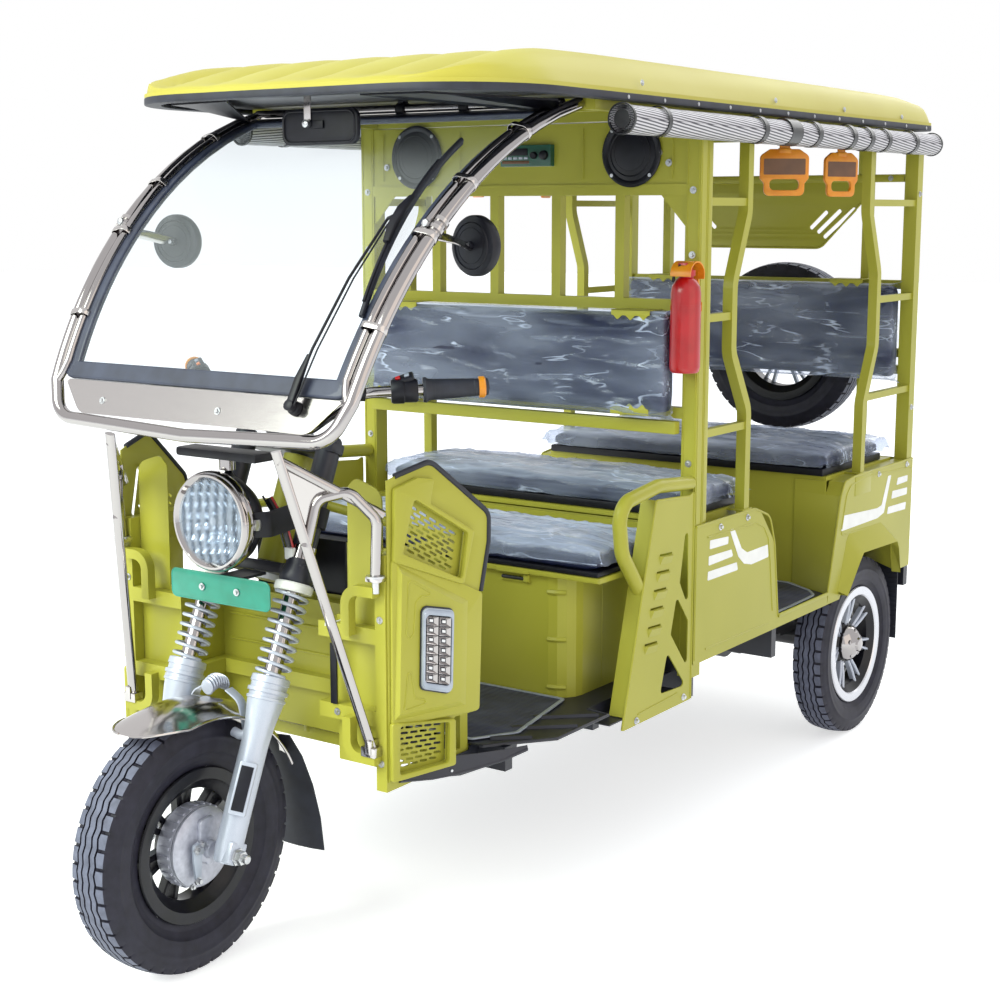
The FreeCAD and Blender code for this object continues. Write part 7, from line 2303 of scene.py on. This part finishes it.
def front_details():
    """Plastic infill behind the lamp, wiring and its white plug, straps on the rails, and cowl bolts."""
    shape = Shape()
    shape.box((-0.12, -0.8, 0.56), (0.12, -0.792, 0.8), "moulded_abs", 0.004)
    for x0, x1 in ((-0.205, -0.16), (0.16, 0.205)):
        shape.box((x0, -0.8065, 0.42), (x1, -0.802, 0.66), "sprayed_enamel", 0.002)
    for z in (0.505, 0.56, 0.615):
        shape.rod([(-0.19, -0.811, z), (0.19, -0.811, z)], 0.003, "sprayed_enamel", (0, 1, 0), 6)
    shape.box((0.216, -0.964, 0.52), (0.232, -0.96, 0.64), "moulded_abs", 0.0015)
    shape.rod([(0.205, -0.962, 0.672), (0.212, -0.966, 0.69), (0.206, -0.962, 0.704)], 0.002, "white_nylon",
              sides=6)
    tie = Matrix.Translation((0.225, -0.9475, 0.665))
    shape.box((-0.003, -0.015, -0.017), (0.003, 0.015, 0.017), "white_nylon", 0.001, tie)
    shape.piece("front_wiring", "body", "black_plastic")
    spots = [(0.337, -0.9604, 0.7), (0.337, -0.9604, 0.42), (0.337, -0.9604, 0.78), (0.23, -0.9604, 0.505)]
    heads = both_sides(spots, (0, -1, 0))
    bolts("cowl_bolts", heads, "body", radius=0.0075, height=0.005)
    # Loom tied beside the fork, inside the circle that the fork sweeps
    shape = Shape()
    loom = rounded_route([(0.06, -0.955, 0.905), (0.088, -0.942, 0.85), (0.104, -0.932, 0.77),
                          (0.102, -0.94, 0.7), (0.094, -0.962, 0.65)], 0.04, 6)
    shape.rod(loom, 0.008, "cable_black", (1, 0, 0), 10)
    for offset, finish in ((0.012, "red_wire"), (-0.011, "cable_black")):
        shape.rod([p + Vector((offset, -0.006, 0.004)) for p in loom], 0.0022, finish, (1, 0, 0), 6)
    shape.box((0.092, -0.95, 0.786), (0.114, -0.927, 0.81), "white_nylon", 0.003)
    shape.piece("lamp_loom", "steering", "black_plastic")


def seat_clips():
    """Scalloped painted clips over the edges of the backrests, and the rail under the driver's."""
    shape = Shape()
    clip = [(-0.05, 0), (0.05, 0), (0.05, 0.012), (0.044, 0.013), (0.034, 0.023), (0.022, 0.013),
            (0.012, 0.013), (0.0, 0.024), (-0.012, 0.013), (-0.022, 0.013), (-0.034, 0.023), (-0.044, 0.013),
            (-0.05, 0.012)]
    for x, y, z, way in ((-0.31, -0.0655, 1.236, -1), (0.345, -0.0655, 1.236, -1), (0.345, -0.0655, 1.002, 1),
                         (-0.345, -0.0655, 1.002, 1), (-0.3, 1.2265, 1.262, -1), (0.3, 1.2265, 1.262, -1)):
        outline = rounded_outline([(u, way * v) for u, v in clip], 0.003, 3)
        place = turned((x, y, z), 90, "X")
        shape.plate(outline, 0.002, "sprayed_enamel", place, bevel=0.0004)
        shape.box((x - 0.05, y - 0.002, z - 0.002), (x + 0.05, y + 0.06, z), "sprayed_enamel", 0.0004)
    shape.box((-0.44, -0.024, 0.956), (0.44, -0.0005, 0.985), "sprayed_enamel", 0.003)
    shape.align()
    shape.piece("seat_clips", "body", "body_paint")


# Stage

def any_ray(tree, *kinds):
    """1 for a ray of any of these kinds, else 0."""
    rays = add(tree, "ShaderNodeLightPath").outputs
    first, *rest = [rays[f"Is {kind} Ray"] for kind in kinds]
    for ray in rest:
        first = calc(tree, "MAXIMUM", first, ray)
    return first


def stage():
    """Pale floor, white surroundings, soft studio lamps and the camera."""
    scene = bpy.context.scene
    material = bpy.data.materials.new("studio_floor")
    material.use_nodes = True
    tree = material.node_tree
    shader = tree.nodes["Principled BSDF"]
    shader.inputs["Base Color"].default_value = srgb("#EDEDEB")
    shader.inputs["Roughness"].default_value = 0.9
    # The floor is seen white, itself and in gloss and glass, and the shadow darkens it
    seen = any_ray(tree, "Camera", "Glossy", "Transmission")
    glow = add(tree, "ShaderNodeEmission", {"Color": srgb("#FFFFFF"), "Strength": 0.58})
    lit = add(tree, "ShaderNodeAddShader", {0: shader.outputs["BSDF"], 1: glow.outputs["Emission"]})
    floor_mix = add(tree, "ShaderNodeMixShader", {0: seen, 1: shader.outputs["BSDF"],
                                                  2: lit.outputs["Shader"]})
    tree.links.new(floor_mix.outputs["Shader"], tree.nodes["Material Output"].inputs["Surface"])
    floor = bpy.data.meshes.new("floor")
    floor.from_pydata([(-30, -30, 0), (30, -30, 0), (30, 30, 0), (-30, 30, 0)], [], [(0, 1, 2, 3)])
    floor.materials.append(material)
    plane = bpy.data.objects.new("floor", floor)
    scene.collection.objects.link(plane)
    world = bpy.data.worlds.new("studio")
    scene.world = world
    world.use_nodes = True
    tree = world.node_tree
    seen = any_ray(tree, "Camera", "Transmission", "Glossy")
    surround = tree.nodes["Background"]
    surround.inputs["Color"].default_value = srgb("#E8EEF6")
    surround.inputs["Strength"].default_value = 0.94
    white = add(tree, "ShaderNodeBackground", {"Color": srgb("#FFFFFF"), "Strength": 1.0})
    both = add(tree, "ShaderNodeMixShader", {0: seen, 1: surround.outputs["Background"],
                                             2: white.outputs["Background"]})
    tree.links.new(both.outputs["Shader"], tree.nodes["World Output"].inputs["Surface"])
    for name, energy, size, tint, place, target in (
            ("key", 395, 4.0, "#F6FFF2", (-1.5, -5.2, 4.2), (0, -0.4, 0.8)),
            ("fill", 60, 5.0, "#FFEBD2", (5.5, -1.0, 2.6), (0, 0.2, 0.8)),
            ("rear", 110, 4.0, "#FFFFFF", (0.5, 5.5, 4.5), (0, 0.5, 0.9))):
        lamp = bpy.data.lights.new(name, "AREA")
        lamp.energy, lamp.size = energy, size
        lamp.color = srgb(tint)[:3]
        holder = bpy.data.objects.new(name, lamp)
        holder.location = place
        holder.rotation_euler = (Vector(target) - Vector(place)).to_track_quat("-Z", "Y").to_euler()
        scene.collection.objects.link(holder)
    camera = bpy.data.cameras.new("camera")
    camera.lens, camera.sensor_width = 61.02, 36
    camera.clip_end = 100
    eye = bpy.data.objects.new("camera", camera)
    eye.location = (2.286, -3.365, 1.458)
    eye.rotation_euler = (math.radians(90 - 9.732), 0, math.radians(34.853))
    scene.collection.objects.link(eye)
    scene.camera = eye
    scene.view_settings.view_transform = "Standard"


def dress_frame():
    """Finishes on the frame's own nodes."""
    dress("sprayed_enamel", "front_frame", "front_cowl", "cowl_wings", "side_guards", "side_panels",
          "rear_body", "partition_frame", "rear_frame", "roof_frame", "driver_seat_box", "driver_seat_lid",
          "bench_boxes", "rear_upper_panel", "ladder_rails")
    dress("gelcoat", "roof_shell")
    dress("black_enamel", "chassis_frame", "floor_pan", "rear_bumper", "battery_pack")
    dress("dark_axle_paint", "rear_axle", "leaf_springs")
    dress("polished_stainless", "windscreen_panel", "front_fender", "crash_guards")
    dress("bright_chrome", "windscreen_tubes", "headlamp", "mirrors", "handlebar")
    dress("moulded_rubber", "rear_mud_flaps", "roof_trim", "wiper")
    dress("channel_rubber", "windscreen_seal")
    dress("screen_glass", "windscreen_glass")
    dress("seat_vinyl", "bench_cushions", "backrests", "driver_cushion")
    dress("curtain_sheeting", "curtain_rolls")
    dress("orange_nylon", "grab_handles")
    dress("red_enamel", "fire_extinguisher")
    dress("ribbed_matting", "floor_mats")
    dress("moulded_abs", "speakers_radio")
    dress("green_plate", "number_plate")
    dress("led_white", "corner_lamps")
    dress("red_lens", "tail_lamps")


# Operators, panel and registration

class RICKSHAW_OT_finishes(bpy.types.Operator):
    """Makes the finishes and the shared trees, and gives the frame's own nodes theirs."""
    bl_idname = "rickshaw.finishes"
    bl_label = "Finishes"

    def execute(self, context):
        make_materials()
        make_trees()
        dress_frame()
        return {"FINISHED"}


class RICKSHAW_OT_wheels(bpy.types.Operator):
    """Tyres, rims and brake drum, and the spare wheel."""
    bl_idname = "rickshaw.wheels"
    bl_label = "Wheels"

    def execute(self, context):
        front_wheel()
        rear_wheels()
        spare_wheel()
        return {"FINISHED"}


class RICKSHAW_OT_fork(bpy.types.Operator):
    """Fork legs with yokes, and their springs."""
    bl_idname = "rickshaw.fork"
    bl_label = "Fork"

    def execute(self, context):
        fork()
        fork_springs()
        return {"FINISHED"}


class RICKSHAW_OT_headlamp(bpy.types.Operator):
    """Round headlamp with its brackets, and the blank plate."""
    bl_idname = "rickshaw.headlamp"
    bl_label = "Headlamp and plate"

    def execute(self, context):
        headlamp()
        number_plate()
        return {"FINISHED"}


class RICKSHAW_OT_fender(bpy.types.Operator):
    """Pressed fender with its stay and rubber flap."""
    bl_idname = "rickshaw.fender"
    bl_label = "Front fender"

    def execute(self, context):
        fender()
        return {"FINISHED"}


class RICKSHAW_OT_crash_guards(bpy.types.Operator):
    """Bright guards on both sides of the lamp."""
    bl_idname = "rickshaw.crash_guards"
    bl_label = "Crash guards"

    def execute(self, context):
        crash_guards()
        return {"FINISHED"}


class RICKSHAW_OT_cowl_wings(bpy.types.Operator):
    """Slanted wings with their grilles, and the corner lamps."""
    bl_idname = "rickshaw.cowl_wings"
    bl_label = "Cowl wings"

    def execute(self, context):
        cowl_wings()
        corner_lamps()
        return {"FINISHED"}


class RICKSHAW_OT_roof(bpy.types.Operator):
    """Moulded roof with its edge moulding, screws and rivets."""
    bl_idname = "rickshaw.roof"
    bl_label = "Roof"

    def execute(self, context):
        roof()
        roof_trim()
        return {"FINISHED"}


class RICKSHAW_OT_windscreen(bpy.types.Operator):
    """Rubber channel, bright tubes and wiper of the windscreen."""
    bl_idname = "rickshaw.windscreen"
    bl_label = "Windscreen surround"

    def execute(self, context):
        seal()
        windscreen_tubes()
        wiper()
        return {"FINISHED"}


class RICKSHAW_OT_mirrors(bpy.types.Operator):
    """Both side mirrors and the one under the roof."""
    bl_idname = "rickshaw.mirrors"
    bl_label = "Mirrors"

    def execute(self, context):
        mirrors()
        return {"FINISHED"}


class RICKSHAW_OT_cushions(bpy.types.Operator):
    """Padded seat cushions in their clear wrappers."""
    bl_idname = "rickshaw.cushions"
    bl_label = "Cushions"

    def execute(self, context):
        cushions()
        return {"FINISHED"}


class RICKSHAW_OT_backrests(bpy.types.Operator):
    """Padded backrests in their clear wrappers, with clips and lower rail."""
    bl_idname = "rickshaw.backrests"
    bl_label = "Backrests"

    def execute(self, context):
        backrests()
        seat_clips()
        return {"FINISHED"}


class RICKSHAW_OT_curtains(bpy.types.Operator):
    """Curtain sheeting rolled up under the roof's sides."""
    bl_idname = "rickshaw.curtains"
    bl_label = "Rolled curtains"

    def execute(self, context):
        curtain_rolls()
        return {"FINISHED"}


class RICKSHAW_OT_body_sides(bpy.types.Operator):
    """Stripes, pressed lines, flares and guards of both sides."""
    bl_idname = "rickshaw.body_sides"
    bl_label = "Body sides"

    def execute(self, context):
        body_sides()
        side_guards()
        return {"FINISHED"}


class RICKSHAW_OT_posts(bpy.types.Operator):
    """Grooves, seams and bolts of the posts and the partition."""
    bl_idname = "rickshaw.posts"
    bl_label = "Posts"

    def execute(self, context):
        posts()
        return {"FINISHED"}


class RICKSHAW_OT_speakers(bpy.types.Operator):
    """Speakers and radio in the partition's top."""
    bl_idname = "rickshaw.speakers"
    bl_label = "Speakers and radio"

    def execute(self, context):
        speakers_radio()
        return {"FINISHED"}


class RICKSHAW_OT_seat_box(bpy.types.Operator):
    """Pressings, latch and lid edge of the driver's box."""
    bl_idname = "rickshaw.seat_box"
    bl_label = "Driver's box"

    def execute(self, context):
        seat_box()
        return {"FINISHED"}


class RICKSHAW_OT_floors(bpy.types.Operator):
    """Floor pressings, skirt and edged mats."""
    bl_idname = "rickshaw.floors"
    bl_label = "Floors"

    def execute(self, context):
        floors()
        return {"FINISHED"}


class RICKSHAW_OT_tail(bpy.types.Operator):
    """Tail lamps, pressings, mud flaps and the panel in the rear opening."""
    bl_idname = "rickshaw.tail"
    bl_label = "Tail"

    def execute(self, context):
        tail()
        upper_panel()
        return {"FINISHED"}


class RICKSHAW_OT_fittings(bpy.types.Operator):
    """Orange grab handles and the red extinguisher."""
    bl_idname = "rickshaw.fittings"
    bl_label = "Handles and extinguisher"

    def execute(self, context):
        grab_handles()
        extinguisher()
        return {"FINISHED"}


class RICKSHAW_OT_handlebar(bpy.types.Operator):
    """Handlebar with its grips and switches."""
    bl_idname = "rickshaw.handlebar"
    bl_label = "Handlebar"

    def execute(self, context):
        handlebar()
        return {"FINISHED"}


class RICKSHAW_OT_front_details(bpy.types.Operator):
    """Infill, wiring and bolts behind the lamp."""
    bl_idname = "rickshaw.front_details"
    bl_label = "Front details"

    def execute(self, context):
        front_details()
        return {"FINISHED"}


class RICKSHAW_OT_stage(bpy.types.Operator):
    """Floor, surroundings, lamps and camera."""
    bl_idname = "rickshaw.stage"
    bl_label = "Stage"

    def execute(self, context):
        stage()
        return {"FINISHED"}


OPERATORS = (
    RICKSHAW_OT_finishes, RICKSHAW_OT_wheels, RICKSHAW_OT_fork, RICKSHAW_OT_headlamp, RICKSHAW_OT_fender,
    RICKSHAW_OT_crash_guards, RICKSHAW_OT_cowl_wings, RICKSHAW_OT_roof, RICKSHAW_OT_windscreen,
    RICKSHAW_OT_mirrors, RICKSHAW_OT_cushions, RICKSHAW_OT_backrests, RICKSHAW_OT_curtains,
    RICKSHAW_OT_body_sides, RICKSHAW_OT_posts, RICKSHAW_OT_speakers, RICKSHAW_OT_seat_box,
    RICKSHAW_OT_floors, RICKSHAW_OT_tail, RICKSHAW_OT_fittings, RICKSHAW_OT_handlebar,
    RICKSHAW_OT_front_details, RICKSHAW_OT_stage,
)


class RICKSHAW_PT_build(bpy.types.Panel):
    """The steps of the build in order, with their sizes and colours."""
    bl_idname = "RICKSHAW_PT_build"
    bl_label = "Passenger rickshaw"
    bl_space_type = "VIEW_3D"
    bl_region_type = "UI"
    bl_category = "Rickshaw"

    def draw(self, context):
        column = self.layout.column(align=True)
        for step in OPERATORS:
            column.operator(step.bl_idname)
        for label, group in (("Sizes", context.scene.rickshaw_sizes),
                             ("Colours", context.scene.rickshaw_finishes)):
            column.label(text=label)
            for key in group.__annotations__:
                column.prop(group, key)


CLASSES = (RickshawFinishes, RickshawSizes, *OPERATORS, RICKSHAW_PT_build)


def register():
    for kind in CLASSES:
        bpy.utils.register_class(kind)
    bpy.types.Scene.rickshaw_finishes = bpy.props.PointerProperty(type=RickshawFinishes)
    bpy.types.Scene.rickshaw_sizes = bpy.props.PointerProperty(type=RickshawSizes)


def unregister():
    del bpy.types.Scene.rickshaw_sizes
    del bpy.types.Scene.rickshaw_finishes
    for kind in reversed(CLASSES):
        bpy.utils.unregister_class(kind)


def main():
    """Registers the add-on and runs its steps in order."""
    register()
    steps = (
        bpy.ops.rickshaw.finishes, bpy.ops.rickshaw.wheels, bpy.ops.rickshaw.fork,
        bpy.ops.rickshaw.headlamp, bpy.ops.rickshaw.fender, bpy.ops.rickshaw.crash_guards,
        bpy.ops.rickshaw.cowl_wings, bpy.ops.rickshaw.roof, bpy.ops.rickshaw.windscreen,
        bpy.ops.rickshaw.mirrors, bpy.ops.rickshaw.cushions, bpy.ops.rickshaw.backrests,
        bpy.ops.rickshaw.curtains, bpy.ops.rickshaw.body_sides, bpy.ops.rickshaw.posts,
        bpy.ops.rickshaw.speakers, bpy.ops.rickshaw.seat_box, bpy.ops.rickshaw.floors,
        bpy.ops.rickshaw.tail, bpy.ops.rickshaw.fittings, bpy.ops.rickshaw.handlebar,
        bpy.ops.rickshaw.front_details, bpy.ops.rickshaw.stage,
    )
    for step in steps:
        if step() != {"FINISHED"}:
            raise RuntimeError("a step did not finish")


if __name__ == "__main__":
    main()
